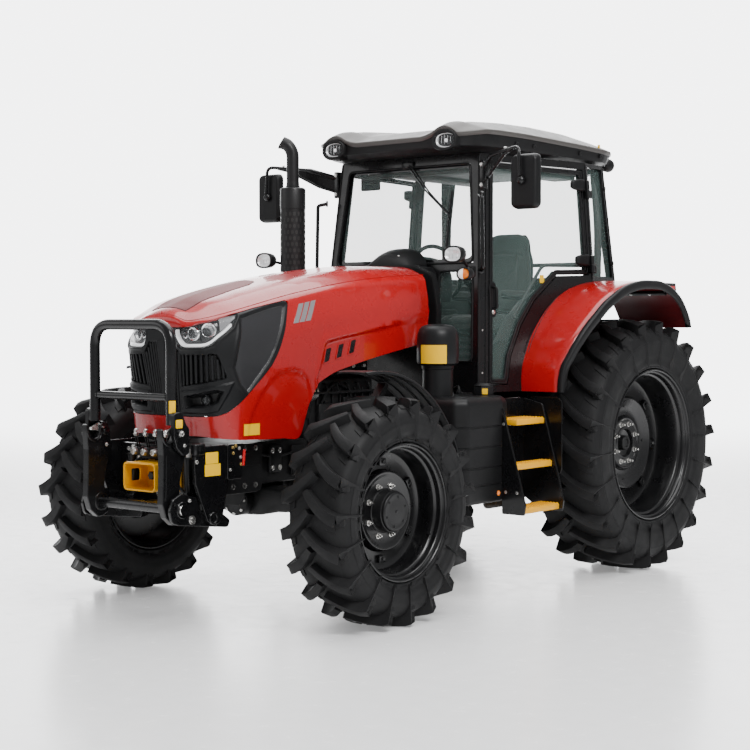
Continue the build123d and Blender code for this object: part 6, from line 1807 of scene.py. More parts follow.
# ------------------------------------------------------------------ front mudguards
for nm, sx in (("left", 1), ("right", -1)):
    g = Geo()
    cy, cz = -1.338, 0.632
    rows = []
    A = [radians(a) for a in np.linspace(97, 2, 60)]
    xa, xb = 0.742, 1.010
    for k, a in enumerate(A):
        # a is measured from straight back (+y) over the top
        dy, dz = cos(a), sin(a)
        e = min(k, len(A) - 1 - k) / 6.0
        wk = 1 - 0.16 * (1 - min(1, e)) ** 2
        xm, hw = (xa + xb) / 2, (xb - xa) / 2 * wk
        row = []
        for t, r in ((-1.0, 0.753), (-0.995, 0.760), (-0.965, 0.7675), (-0.90, 0.7705), (-0.80, 0.7665), (-0.60, 0.7685), (-0.30, 0.7700), (0.0, 0.7705), (0.30, 0.7700), (0.60, 0.7685), (0.80, 0.7665), (0.90, 0.7705), (0.965, 0.7675), (0.995, 0.760), (1.0, 0.753),
                     (0.985, 0.752), (0.96, 0.759), (0.80, 0.7600), (0.0, 0.7640), (-0.80, 0.7600), (-0.96, 0.759), (-0.985, 0.752)):
            row.append((sx * (xm + hw * t), cy + dy * r, cz + dz * r))
        rows.append(row)
    g.add(*rings(rows, cap0=False, cap1=False), 0)
    for rowp in (rows[0], rows[-1]):
        A_, B_ = rowp[:15], rowp[15:][::-1]
        ii = np.linspace(0, 14, len(B_)).astype(int)
        g.add(*rings([[A_[i] for i in ii], B_], closed_v=False), 0)
    # inner ribs following the arc
    for xr in (0.80, 0.876, 0.95):
        arc = [(sx * xr, cy + cos(a) * 0.7575, cz + sin(a) * 0.7575) for a in A[3:-3]]
        g.add(*sweep(arc, rect(0.008, 0.007, 0.002, 2), lambda i, arc=arc: (0, arc[i][1] - cy, arc[i][2] - cz)), 0)
    for a in (15, 45, 75):
        aa = radians(a)
        for xr in (0.80, 0.95):
            g.add(*bolt((sx * xr, cy + cos(aa) * 0.769, cz + sin(aa) * 0.769), (0, cos(aa), sin(aa)), 0.008, 0.005), 1)
    ob = g.make(f"front_{nm}_mudguard_shaped", ["black_soft", "zinc"], f"{nm}_knuckle", "black_matt", smooth=38)
    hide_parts(f"front_{nm}_mudguard")
# ------------------------------------------------------------------ fuel tank, canister, tool box
def plan_loft(plan, rows, rad, n=5, sx=1, capn=6):
    """rows: (z, inset); the plan is rounded at its corners."""
    rs = []
    for z, ins in rows:
        q = smooth_poly(offset(plan, ins) if abs(ins) > 1e-6 else plan, max(rad - ins * 0.5, 0.006), n)
        rs.append([(sx * x, y, z) for x, y in q])
    return rings(rs, cap0=True, cap1=True)


def groove_rows(z0, z1, grooves, r=0.035, bot=0.02):
    rows = [(z0, bot), (z0 + bot * 0.35, bot * 0.35), (z0 + bot, 0.0)]
    zs = []
    for gz in grooves:
        zs += [(gz - 0.007, 0.0), (gz - 0.003, 0.005), (gz + 0.003, 0.005), (gz + 0.007, 0.0)]
    rows += sorted(zs)
    for k in range(0, 7):
        a = pi / 2 * k / 6
        rows.append((z1 - r + r * sin(a), r * (1 - cos(a)) + 0.0))
    return rows


TANK = [(0.430, -0.450), (0.840, -0.450), (0.905, -0.385), (0.905, -0.030), (0.870, 0.075), (0.430, 0.075)]
g = Geo()
g.add(*plan_loft(TANK, groove_rows(0.560, 1.215, (0.672, 0.78, 0.905, 1.03), 0.055), 0.045), 0)
# bottom bracket and straps down to the frame
for y in (-0.34, -0.10):
    g.add(*rbox(0.242, 0.55, y - 0.03, y + 0.03, 0.60, 0.625, 0.005), 1)
    g.add(*rbox(0.242, 0.262, y - 0.03, y + 0.03, 0.60, 0.86, 0.005), 1)
g.add(*rbox(0.262, 0.445, -0.40, 0.03, 0.66, 0.70, 0.01), 1)
# filler cap: octagonal box with a chamfered lid
cx, cy = 0.750, -0.020
oc = lambda r, z: [(cx + r * cos(pi / 8 + pi / 4 * k), cy + r * sin(pi / 8 + pi / 4 * k), z) for k in range(8)]
g.add(*rings([oc(0.062, 1.214), oc(0.062, 1.262), oc(0.060, 1.266), oc(0.0605, 1.268), oc(0.0615, 1.270), oc(0.0615, 1.276), oc(0.046, 1.289), oc(0.030, 1.290)], cap0=True, cap1=True), 2)
g.add(*lathe([(1.20, 0.055), (1.217, 0.055)], (cx, cy, 0), (0, 0, 1), 24), 1)
# breather and sender on top
g.add(*lathe([(1.21, 0.020), (1.232, 0.020), (1.236, 0.014), (1.246, 0.012), (1.247, 0.0003)], (0.560, -0.02, 0), (0, 0, 1), 20), 2)
g.add(*tube(catmull([(0.560, -0.02, 1.240), (0.540, 0.0, 1.262), (0.50, 0.02, 1.255), (0.44, 0.03, 1.22)], 6), 0.007, 10), 3)
# drain plug
g.add(*lathe([(-0.002, 0.016), (0.004, 0.016), (0.006, 0.012), (0.010, 0.008), (0.010, 0.0003)], (0.905, -0.075, 0.615), (1, 0, 0), 20), 4)
tk = g.make("fuel_tank_shaped", ["black_matt", "black_steel", "black_soft", "mesh_black", "orange"], "chassis", "black_matt", smooth=38)
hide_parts("fuel_tank")
g = Geo()
g.add(*plan_loft(TANK, groove_rows(0.600, 1.180, (0.80, 0.98), 0.05), 0.045, sx=-1), 0)
for y in (-0.34, -0.10):
    g.add(*rbox(-0.55, -0.242, y - 0.03, y + 0.03, 0.62, 0.645, 0.005), 1)
    g.add(*rbox(-0.262, -0.242, y - 0.03, y + 0.03, 0.62, 0.86, 0.005), 1)
g.add(*rbox(-0.445, -0.262, -0.40, 0.03, 0.68, 0.72, 0.01), 1)
# catches and a handle
for y in (-0.30, -0.08):
    g.add(*rbox(-0.9049, -0.898, y - 0.022, y + 0.022, 1.00, 1.075, 0.003), 2)
g.add(*tube(round_path([(-0.899, -0.26, 0.885), (-0.903, -0.26, 0.885), (-0.903, -0.12, 0.885), (-0.899, -0.12, 0.885)], 0.01, 4), 0.006, 10), 1)
tb = g.make("tool_box_shaped", ["black_matt", "black_steel", "zinc"], "chassis", "black_matt", smooth=38)
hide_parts("tool_box")
# canister: neck with clamp, domed body
g = Geo()
p = (0.620, -0.320, 0)
g.add(*lathe([(1.215, 0.097), (1.30, 0.095), (1.38, 0.095), (1.386, 0.100), (1.404, 0.100), (1.410, 0.112), (1.418, 0.126), (1.43, 0.130), (1.50, 0.1305), (1.57, 0.129), (1.60, 0.1255), (1.625, 0.116), (1.643, 0.101), (1.653, 0.080), (1.658, 0.050), (1.660, 0.0003)], p, (0, 0, 1), 72), 0)
for k in range(20):
    a = 2 * pi * k / 20
    g.add(*tube([(p[0] + 0.060 * cos(a), p[1] + 0.060 * sin(a), 1.6545), (p[0] + 0.098 * cos(a), p[1] + 0.098 * sin(a), 1.6425)], 0.003, 6), 0)
g.add(*rbox(0.60, 0.64, -0.232, -0.20, 1.385, 1.405, 0.003), 1)
g.add(*bolt((0.62, -0.203, 1.395), (0, 1, 0), 0.007, 0.006), 1)
cn = g.make("side_canister_shaped", ["black_soft", "zinc"], "chassis", "black_steel", smooth=35)
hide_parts("side_canister")

# ------------------------------------------------------------------ steps
g, gt, gs = Geo(), Geo(), Geo()
for sx in (1, -1):
    X = lambda a, b: (min(sx * a, sx * b), max(sx * a, sx * b))
    for (xo0, xo1, zz, y0, y1, th) in ((0.912, 1.054, 0.486, -0.027, 0.384, 0.043), (0.912, 0.999, 0.756, -0.027, 0.384, 0.043), (0.778, 0.939, 1.026, 0.077, 0.384, 0.043)):
        a, b = X(xo0, xo1)
        gt.add(*rbox(a, b, y0, y1, zz, zz + th - 0.006, 0.007, 3), 0)
        # serrated grip rows
        nrow = max(3, int((b - a) / 0.022))
        for i in range(nrow):
            xc = a + (b - a) * (i + 0.5) / nrow
            ny_ = int((y1 - y0) / 0.024)
            for j in range(ny_):
                yc = y0 + (y1 - y0) * (j + 0.5) / ny_
                gt.add(*rings([[(xc + q[0], yc + q[1], zz + th - 0.008) for q in rect(0.013, 0.015)], [(xc + q[0], yc + q[1], zz + th - 0.0005) for q in rect(0.006, 0.008)]], cap1=True), 0)
        for yy in (y0 + 0.03, y1 - 0.03):
            gt.add(*bolt(((a + b) / 2, yy, zz + 0.002), (0, 0, -1), 0.008, 0.006), 1)
    # slanted side plates with folded front edges
    front_p = [(0.9065, 0.482), (1.073, 0.482), (1.083, 0.540), (0.9065, 1.145)]
    rear_p = [(0.762, 0.562), (0.905, 0.472), (1.073, 0.472), (1.083, 0.540), (0.918, 1.150), (0.762, 1.188)]
    for ya, yb, sidep in ((-0.0395, -0.0285, front_p), (0.3860, 0.3985, rear_p)):
        pl = [(sx * a, b) for a, b in sidep]
        v, f = plate(smooth_poly(pl, 0.012, 3), "y", ya, yb, 0.0015)
        g.add(v, f, 0)
    for yy, top_ in ((-0.034, (0.909, 1.137)), (0.392, (0.920, 1.142))):
        g.add(*tube([(sx * top_[0], yy, top_[1]), (sx * 1.081, yy, 0.545)], 0.0045, 8), 0)
    for (a, b) in ((0.918, 1.04), (0.935, 0.62), (1.02, 0.62)):
        g.add(*bolt((sx * a, -0.0395, b), (0, -1, 0), 0.007, 0.004), 1)
    # thin splash panel behind, with a rounded corner
    sp_ = smooth_poly([(sx * 0.80, 0.70), (sx * 1.055, 0.70), (sx * 1.055, 1.192), (sx * 0.80, 1.192)], 0.05, 6)
    g.add(*plate(sp_, "y", 0.404, 0.409, 0.001), 0)
    g.add(*sweep([(x, 0.4065, z) for x, z in sp_], rect(0.005, 0.009, 0.002, 2), (0, 1, 0), closed=True), 0)
    # inner plate with rounded corners and mat strips
    a, b = X(0.760, 0.775)
    g.add(*rings([[(a + (b - a) * t, y, z) for y, z in offset(smooth_poly([(-0.040, 0.50), (0.398, 0.50), (0.398, 1.188), (-0.040, 1.188)], 0.05, 6), ins)] for t, ins in ((0, 0.002), (0.15, 0.0), (0.85, 0.0), (1.0, 0.002))], cap0=True, cap1=True), 0)
    for z in (0.62, 0.70, 0.88, 0.96):
        g.add(*rings([[(sx * 0.7755 + sx * t, y, z + dz) for y, dz in rect(0.30, 0.012, 0.004, 2)] for t in (-0.001, 0.0015)], cap1=True), 0)
st = g.make("step_frames_shaped", ["black_steel", "zinc"], "chassis", "black_steel", smooth=38)
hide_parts("step_frames")
tr = gt.make("step_treads_shaped", ["yellow", "zinc"], "chassis", "yellow", smooth=38)
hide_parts("step_treads")
# ------------------------------------------------------------------ cab details
def S_(y, z):
    return 0.618 + 0.145 * (y - 0.060) - 0.08 * (z - 2.050)


def yA_(z):
    return 0.030 + (z - 1.260) * 0.0946


AXIS0 = Vector((S_(1.159, 1.990) + 0.030, 1.159, 1.990))
AXIS1 = Vector((S_(1.159, 2.700) + 0.030, 1.159, 2.700))


def on_axis_(z):
    return AXIS0 + (AXIS1 - AXIS0) * ((z - AXIS0.z) / (AXIS1.z - AXIS0.z))


DOORP = [(0.124, 1.275), (0.290, 1.275), (0.335, 1.450), (0.450, 1.650), (0.590, 1.810), (0.730, 1.912), (0.830, 1.985), (1.150, 1.995), (1.150, 2.700), (0.258, 2.700)]
for nm, sx in (("left", 1), ("right", -1)):
    # hinge covers: the door's half and the pillar's half
    gd_, gc_ = Geo(), Geo()
    for z in (2.061, 2.571):
        p = on_axis_(z + 0.030)
        rs = []
        for t, k in ((0.0, 0.25), (0.06, 0.62), (0.18, 0.90), (0.40, 1.0), (0.70, 0.98), (0.88, 0.86), (0.97, 0.55), (1.0, 0.25)):
            y = p.y - 0.006 - 0.128 * t
            x0 = S_(y, z + 0.03)
            dep = 0.004 + 0.036 * k * (1 - 0.35 * t)
            h = 0.046 * (0.45 + 0.55 * k) * (1 - 0.30 * t)
            rs.append([(sx * (x0 - 0.002 + dep * 0.5 + a), y, p.z - 0.002 + b) for a, b in rect(dep, 2 * h, min(dep, h) * 0.48, 4)])
        gd_.add(*rings(rs, cap0=True, cap1=True), 0)
        gd_.add(*tube([(sx * q.x, q.y, q.z) for q in (on_axis_(z + 0.001), on_axis_(z + 0.059))], 0.0145, 22), 0)
        gd_.add(*lathe([(0, 0.010), (0.003, 0.009), (0.0035, 0.0003)], (sx * on_axis_(z + 0.059).x, on_axis_(z + 0.059).y, z + 0.059), (0, 0, 1), 18), 1)
    for z in (2.000, 2.510):
        p = on_axis_(z + 0.030)
        rs = []
        for t, k in ((0.0, 0.5), (0.08, 0.85), (0.25, 1.0), (0.75, 1.0), (0.92, 0.85), (1.0, 0.5)):
            y = p.y + 0.004 + 0.060 * t
            x0 = S_(y, z + 0.03) - 0.006
            dep = 0.006 + 0.026 * k * (1 - 0.2 * t)
            h = 0.026 * (0.6 + 0.4 * k)
            rs.append([(sx * (x0 + dep * 0.5 + a), y, p.z + b) for a, b in rect(dep, 2 * h, min(dep, h) * 0.45, 4)])
        gc_.add(*rings(rs, cap0=True, cap1=True), 0)
        gc_.add(*tube([(sx * q.x, q.y, q.z) for q in (on_axis_(z + 0.001), on_axis_(z + 0.059))], 0.0143, 22), 0)
    gc_.make(f"{nm}_door_hinge_pillar_halves", ["black_matt"], "chassis", "black_steel", smooth=40)
    # handle: recessed plate, grip bar and lock, low on the front edge of the door
    P = lambda y, z, d=0.0: (sx * (S_(y, z) + d), y, z)
    rs = []
    for d, k in ((-0.004, 1.0), (0.003, 1.0), (0.005, 0.93), (0.0035, 0.80), (0.001, 0.72)):
        rs.append([P(0.205 + a + b * 0.06, 1.815 + b, d) for a, b in rect(0.056 * k, 0.225 * k, 0.024 * k, 5)])
    gd_.add(*rings(rs, cap0=True, cap1=True), 0)
    bar_ = round_path([P(0.208, 1.895, 0.002), P(0.210, 1.890, 0.032), P(0.204, 1.765, 0.034), P(0.202, 1.760, 0.002)], 0.016, 6)
    gd_.add(*tube(bar_, 0.0095, 16), 0)
    gd_.add(*lathe([(0, 0.015), (0.006, 0.015), (0.009, 0.012), (0.009, 0.004), (0.006, 0.003)], P(0.200, 1.735, 0.002), (sx, 0, 0), 24), 1)
    # rubber seal standing just proud around the glass, and a blank sticker inside the glass corner
    seal = smooth_poly(offset(DOORP, 0.026), 0.022, 4)
    sl_ = []
    for a, b in zip(seal, seal[1:] + seal[:1]):
        L = hypot(b[0] - a[0], b[1] - a[1])
        n = max(1, int(L / 0.08))
        sl_ += [P(a[0] + (b[0] - a[0]) * k / n, a[1] + (b[1] - a[1]) * k / n, -0.0045) for k in range(n)]
    gd_.add(*tube(sl_ + sl_[:1], 0.0075, 8, cap=False), 0)
    out_ = smooth_poly(offset(DOORP, 0.008), 0.022, 4)
    sl_ = []
    for a, b in zip(out_, out_[1:] + out_[:1]):
        L = hypot(b[0] - a[0], b[1] - a[1])
        n = max(1, int(L / 0.08))
        sl_ += [P(a[0] + (b[0] - a[0]) * k / n, a[1] + (b[1] - a[1]) * k / n, -0.001) for k in range(n)]
    gd_.add(*tube(sl_ + sl_[:1], 0.0045, 8, cap=False), 0)
    # pull rail inside the door
    gd_.add(*tube(round_path([P(0.46, 1.69, -0.024), P(0.47, 1.70, -0.075), P(0.79, 2.05, -0.078), P(1.10, 2.055, -0.078), P(1.13, 2.055, -0.024)], [0.04, 0.10, 0.04], 6), 0.0115, 14), 2)
    gd_.make(f"{nm}_door_fittings", ["black_matt", "zinc", "interior"], f"{nm}_door", "black_steel", smooth=40)

# front pillars and seams: rubber round the windscreen, drip rail, lower step of the cab frame
g = Geo()
for poly in ([(-0.575, 2.050), (0.575, 2.050), (0.508, 2.690), (-0.508, 2.690)], [(0.310, 1.420), (0.612, 1.420), (0.578, 2.000), (0.310, 2.000)], [(-0.310, 1.420), (-0.310, 2.000), (-0.578, 2.000), (-0.612, 1.420)]):
    q = smooth_poly(poly, 0.035, 6)
    pts = [(x, yA_(z) - 0.001, z) for x, z in q]
    g.add(*tube(pts + pts[:1], 0.0075, 10, cap=False), 0)
for sx in (1, -1):
    pts = [(sx * (S_(yA_(z) + 0.004, z) - 0.004), yA_(z) + 0.002, z) for z in np.linspace(1.24, 2.745, 12)]
    g.add(*tube(pts, 0.0085, 12), 0)
    pts = [(sx * (S_(yA_(z) + 0.060, z) + 0.001), yA_(z) + 0.060, z) for z in np.linspace(1.28, 2.72, 12)]
    g.add(*tube(pts, 0.005, 10), 0)
    # screw heads and small catches along the pillar
    for z in (1.35, 1.62, 2.15, 2.35, 2.62):
        g.add(*bolt((sx * (S_(yA_(z) + 0.03, z)), yA_(z) + 0.03, z), (sx, -0.14, 0), 0.006, 0.004, washer=False), 1)
g.make("cab_seals", ["black_matt", "zinc"], "chassis", "black_steel", smooth=40)

# black band printed round the edge of the windscreen
def band(name, outer, inner, fn, off, mat="black_matt"):
    g_ = Geo()
    o, i_ = outer, inner
    n = len(o)
    g_.add(*rings([[fn(*p, off) for p in o], [fn(*p, off) for p in i_]]), 0)
    g_.add(*rings([[fn(*p, off + 0.0006) for p in o], [fn(*p, off + 0.0006) for p in i_]]), 0)
    return g_


Fs = lambda x, z, d: (x, yA_(z) + 0.019 - d, z)
o = [(-0.572, 2.053), (0.572, 2.053), (0.506, 2.687), (-0.506, 2.687)]
i_ = [(-0.556, 2.078), (0.556, 2.078), (0.490, 2.668), (-0.490, 2.668)]
b1 = band("", smooth_poly(o, 0.03, 6), smooth_poly(i_, 0.05, 6), Fs, 0.0)
b1.make("windscreen_band", ["lamp_black"], "chassis", "black_steel", smooth=30)

# wipers
g = Geo()
pv = Vector((0.000, yA_(2.705) - 0.012, 2.708))
def on_screen(x, z, d):
    return Vector((x, yA_(z) + 0.019 - d, z))


g.add(*lathe([(0, 0.022), (0.014, 0.022), (0.020, 0.017), (0.020, 0.0003)], (pv.x, pv.y + 0.014, pv.z), (0, -1, 0.1), 24), 0)
g.add(*rbox(-0.05, 0.05, pv.y - 0.004, pv.y + 0.02, 2.690, 2.730, 0.008), 0)
tip = on_screen(0.392, 2.330, 0.036)
for dx in (-0.010, 0.013):
    g.add(*tube([pv + Vector((dx, 0, 0)), pv + Vector((0.06 + dx, -0.010, -0.045)), (pv + tip) / 2 + Vector((dx * 0.8, -0.012, 0)), tip + Vector((dx * 0.2, 0, 0.02))], 0.0055, 10), 0)
bl0, bl1 = on_screen(0.368, 2.52, 0.012), on_screen(0.352, 2.14, 0.012)
mid = (bl0 + bl1) / 2
g.add(*tube([tip, mid + Vector((0, -0.012, 0.01)), mid], 0.005, 10), 0)
g.add(*sweep([bl0, mid + Vector((0, -0.004, 0)), bl1], rect(0.010, 0.016, 0.002, 2), (0, -1, 0)), 0)
g.add(*sweep([bl0, mid, bl1], [(-0.0015, -0.006), (0.0015, -0.006), (0.003, -0.016), (-0.003, -0.016)], (0, -1, 0)), 0)
wp = g.make("wipers_shaped", ["black_steel"], "chassis", "black_steel", smooth=40)
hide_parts("wipers")

# inside: headliner, mirror, dash, column, console, posts, mat
g = Geo()
g.add(*rbox(-0.56, 0.56, 0.24, 1.56, 2.700, 2.752, 0.02, 3), 0)
for x in (-0.36, 0.36):
    g.add(*rbox(x - 0.09, x + 0.09, 0.30, 1.50, 2.672, 2.704, 0.012), 0)
# driver's mirror
g.add(*rbox(-0.475, -0.310, 0.235, 0.258, 2.565, 2.675, 0.014, 3), 1)
g.add(*tube([(-0.39, 0.25, 2.67), (-0.38, 0.27, 2.71)], 0.008, 10), 1)
# grey sun blind roll
g.add(*tube([(-0.45, 0.235, 2.655), (0.45, 0.235, 2.655)], 0.018, 18), 0)
# posts and rails by the rear corners
for sx in (1, -1):
    g.add(*tube(catmull([(sx * 0.66, 1.42, 1.27), (sx * 0.665, 1.44, 1.8), (sx * 0.66, 1.46, 2.3), (sx * 0.62, 1.47, 2.70)], 6), 0.026, 16), 0)
    g.add(*rbox(*sorted((sx * 0.46, sx * 0.585)), 1.30, 1.42, 1.26, 1.98, 0.02), 0)
g.add(*tube([(-0.60, 1.500, 2.08), (0.60, 1.500, 2.08)], 0.014, 14), 0)
g.add(*plate(smooth_poly([(-0.60, 0.08), (0.60, 0.08), (0.60, 1.46), (-0.60, 1.46)], 0.04, 4), "z", 1.2565, 1.268, 0.003), 2)
# mudguard covers inside the cab, right console and lever cluster
for sx in (1, -1):
    rs = []
    for y, z in [(0.50, 1.55), (0.62, 1.70), (0.80, 1.84), (1.02, 1.93), (1.24, 1.965), (1.44, 1.960)]:
        rs.append([(sx * 0.42, y, z - 0.10), (sx * 0.44, y, z - 0.03), (sx * 0.50, y, z), (sx * 0.598, y, z), (sx * 0.598, y, 1.27), (sx * 0.42, y, 1.27)])
    g.add(*rings(rs, cap0=True, cap1=True), 0)
g.make("cab_inside", ["interior", "black_matt", "floorboard"], "chassis", "black_matt", smooth=38)
g = Geo()
rs = []
for y, k in ((0.168, 0.90), (0.176, 0.96), (0.200, 1.0), (0.260, 1.0), (0.300, 0.985), (0.312, 0.95)):
    row = [(-0.262 * k, 1.80), (-0.268 * k, 1.92)]
    row += [(-0.268 * k * cos(t) ** 0.75 if cos(t) > 0 else 0.0, 1.94 + 0.168 * k * sin(t)) for t in np.linspace(0, pi / 2, 12)]
    row = [(x, y, z) for x, z in row]
    row += [(-x, yy, z) for x, yy, z in row[::-1]]
    rs.append(row)
g.add(*rings(rs, cap0=True, cap1=True), 0)
rs = [[(0.22 * a, y, 2.0 + 0.075 * b) for a, b in [(cos(t) * 1.0, sin(t)) for t in np.linspace(0, 2 * pi, 40, endpoint=False)]] for y in (0.3115, 0.318)]
g.add(*rings(rs, cap1=True), 1)
for x, r in ((-0.10, 0.045), (0.10, 0.045), (0.0, 0.032)):
    g.add(*lathe([(0, r), (0.006, r), (0.006, r * 0.86), (0.002, r * 0.84), (0.002, 0.0003)], (x, 0.318, 2.0), (0, 1, 0), 32), 2)
    for k in range(9):
        a = radians(-120 + 30 * k)
        g.add(*tube([(x + r * 0.60 * sin(a), 0.3212, 2.0 + r * 0.60 * cos(a)), (x + r * 0.76 * sin(a), 0.3212, 2.0 + r * 0.76 * cos(a))], 0.0009, 4), 3)
    g.add(*tube([(x, 0.3225, 2.0), (x + r * 0.45, 0.3225, 2.0 + r * 0.40)], 0.0014, 5), 4)
rs = []
for z, w, d, y in ((1.257, 0.100, 0.075, 0.265), (1.30, 0.075, 0.062, 0.265), (1.60, 0.062, 0.060, 0.265), (1.80, 0.075, 0.062, 0.265), (1.90, 0.085, 0.064, 0.27)):
    rs.append([(a, y + b, z) for a, b in rect(2 * w, 2 * d, 0.03, 4)])
g.add(*rings(rs, cap0=True, cap1=True), 0)
g.add(*tube([(0, 0.29, 1.925), (0, 0.452, 1.992)], 0.034, 24, radii=[0.045, 0.032]), 0)
g.add(*lathe([(0, 0.046), (0.02, 0.043), (0.03, 0.036)], (0, 0.33, 1.945), (0, 0.92, 0.39), 28), 0)
for sx in (1, -1):
    g.add(*tube(catmull([(sx * 0.03, 0.40, 1.972), (sx * 0.10, 0.405, 1.985), (sx * 0.145, 0.41, 2.0)], 5), 0.0065, 10), 0)
    g.add(*rbox(*sorted((sx * 0.11, sx * 0.155)), 0.40, 0.418, 1.992, 2.006, 0.005), 0)
    # pedals
    g.add(*sweep([(sx * 0.13, 0.24, 1.50), (sx * 0.13, 0.36, 1.36), (sx * 0.13, 0.42, 1.33)], rect(0.016, 0.008, 0.002, 1), (1, 0, 0)), 0)
    g.add(*rbox(*sorted((sx * 0.09, sx * 0.17)), 0.40, 0.46, 1.325, 1.345, 0.006), 3)
da = g.make("dashboard_shaped", ["black_matt", "lamp_black", "black_steel", "silver", "orange"], "chassis", "black_matt", smooth=40)
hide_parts("dashboard")

# steering wheel
g = Geo()
wc, wd = Vector((0, 0.480, 2.005)), Vector((0, 0.139, 0.053)).normalized()
mt = frame_to(wc, wd, (1, 0, 0))
rs = []
for s in range(96):
    t = 2 * pi * s / 96
    bump_ = 0.0011 * (1 + cos(24 * t))
    rr_ = 0.0135
    rs.append([(0.190 * cos(t) + (rr_ + bump_ * (cos(a) < 0)) * cos(a) * cos(t), 0.190 * sin(t) + (rr_ + bump_ * (cos(a) < 0)) * cos(a) * sin(t), rr_ * sin(a)) for a in np.linspace(0, 2 * pi, 16, endpoint=False)])
g.add(*rings(rs, closed_u=True), 0, mat=mt)
for a in (90, 210, 330):
    ca, sa = cos(radians(a)), sin(radians(a))
    pts = [(0.030 * ca, 0.030 * sa, 0.002), (0.10 * ca, 0.10 * sa, -0.008), (0.182 * ca, 0.182 * sa, 0.0)]
    g.add(*sweep(catmull(pts, 5), rect(0.032, 0.011, 0.004, 3), (0, 0, 1)), 0, mat=mt)
g.add(*lathe([(-0.016, 0.030), (-0.012, 0.040), (0.008, 0.042), (0.014, 0.038), (0.018, 0.025), (0.0185, 0.0003)], (0, 0, 0), (0, 0, 1), 40), 0, mat=mt)
# turning knob
g.add(*lathe([(0.010, 0.008), (0.020, 0.008), (0.024, 0.018), (0.036, 0.022), (0.048, 0.018), (0.052, 0.006), (0.052, 0.0003)], (0.190 * cos(radians(150)), 0.190 * sin(radians(150)), 0), (0, 0, 1), 24), 0, mat=mt)
sw = g.make("steering_wheel_shaped", ["black_matt"], "chassis", "black_matt", smooth=45)
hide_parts("steering_wheel")

# side console with levers
g = Geo()
rs = []
for z, ins, r in ((1.257, 0.0, 0.02), (1.50, 0.0, 0.03), (1.66, 0.004, 0.035), (1.70, 0.012, 0.035), (1.715, 0.024, 0.03), (1.720, 0.040, 0.02)):
    rs.append([(-0.445 + a, 0.925 + b, z) for a, b in rect(0.228 - 2 * ins, 0.648 - 2 * ins, r, 5)])
g.add(*rings(rs, cap0=True, cap1=True), 0)
for i, (x, y, c) in enumerate(((-0.50, 0.72, 4), (-0.45, 0.72, 3), (-0.40, 0.72, 4), (-0.50, 0.86, 1), (-0.42, 0.86, 1))):
    g.add(*lathe([(0, 0.020), (0.005, 0.018), (0.010, 0.008)], (x, y, 1.716), (0, -0.1, 1), 18), 1)
    g.add(*tube([(x, y, 1.715), (x, y - 0.015, 1.80)], 0.0045, 10), 1)
    g.add(*lathe([(0, 0.007), (0.008, 0.013), (0.030, 0.015), (0.040, 0.011), (0.043, 0.0003)], (x, y - 0.014, 1.790), (0, -0.17, 1), 20), c)
g.add(*rbox(-0.53, -0.37, 0.98, 1.22, 1.712, 1.765, 0.02, 3), 2)
for i in range(4):
    g.add(*rbox(-0.52 + 0.036 * i, -0.494 + 0.036 * i, 0.925, 0.950, 1.712, 1.727, 0.003), 3)
sc_ = g.make("side_console_shaped", ["interior", "black_matt", "seat", "orange", "black_steel"], "chassis", "black_matt", smooth=40)
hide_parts("side_console")

# more blank stickers: canister, tank cap, door glass
g = Geo()
wrap_patch(g, 0.620, -0.320, 0.1312, radians(-14), radians(62), 1.418, 1.532, 0, 16)
cx, cy = 0.750, -0.020
a = radians(45)
flat_sticker(g, (cx + 0.0577 * cos(radians(-45)) * 1.0, cy + 0.0577 * sin(radians(-45)), 1.240), (cos(radians(45)), sin(radians(45)), 0), (0, 0, 1), 0.036, 0.036)
g.make("stickers_side", ["decal"], "chassis", "yellow", smooth=40)
g = Geo()
flat_sticker(g, (S_(0.70, 1.955) - 0.015, 0.70, 1.955), (0.145, 1, 0), (-0.08, 0, 1), 0.042, 0.054)
g.make("sticker_door", ["decal"], "left_door", "yellow", smooth=40)

# quarter panes: thin black border print and clips at the rear edge
def Q_(y, z):
    return 0.7897 - 0.1203 * (y - 1.190) - 0.08 * (z - 1.952)


def yC_(z):
    return 1.548 - (z - 1.952) * 0.105


g = Geo()
for sx in (1, -1):
    for y, z in ((yC_(2.60) - 0.012, 2.60), (yC_(2.08) - 0.012, 2.08)):
        g.add(*lathe([(0, 0.016), (0.006, 0.016), (0.010, 0.010), (0.010, 0.0003)], (sx * Q_(y, z), y, z), (sx, 0.1, 0), 20), 0)
    pts = [(sx * (Q_(yC_(z), z) - 0.002), yC_(z) - 0.002, z) for z in np.linspace(1.96, 2.74, 12)]
    g.add(*tube(pts, 0.0065, 10), 0)
    pts = [(sx * (S_(1.188, z) + 0.001), 1.188, z) for z in np.linspace(1.96, 2.74, 12)]
    g.add(*tube(pts, 0.005, 10), 0)
g.make("quarter_trim", ["black_matt"], "chassis", "black_steel", smooth=40)

# scuttle: thin rim following the bonnet, rounded black dome in front of the screen, washer nozzle
g = Geo()
RIM = [(-0.400, 1.500), (-0.432, 1.560), (-0.436, 1.770), (-0.398, 1.975), (-0.255, 2.036), (0.0, 2.048), (0.255, 2.036), (0.398, 1.975), (0.436, 1.770), (0.432, 1.560), (0.400, 1.500)]
RIM = smooth_poly(RIM, 0.05, 6)
inn = smooth_poly(offset([(-0.400, 1.500), (-0.432, 1.560), (-0.436, 1.770), (-0.398, 1.975), (-0.255, 2.036), (0.0, 2.048), (0.255, 2.036), (0.398, 1.975), (0.436, 1.770), (0.432, 1.560), (0.400, 1.500)], 0.014), 0.04, 6)
k_ = min(len(RIM), len(inn))
rs = [[(x, -0.089, z) for x, z in inn], [(x, -0.0895, z) for x, z in inn]]
rows = []
for y, q in ((-0.0755, inn), (-0.0460, inn), (-0.0455, inn)):
    rows.append([(x, y, z) for x, z in q])
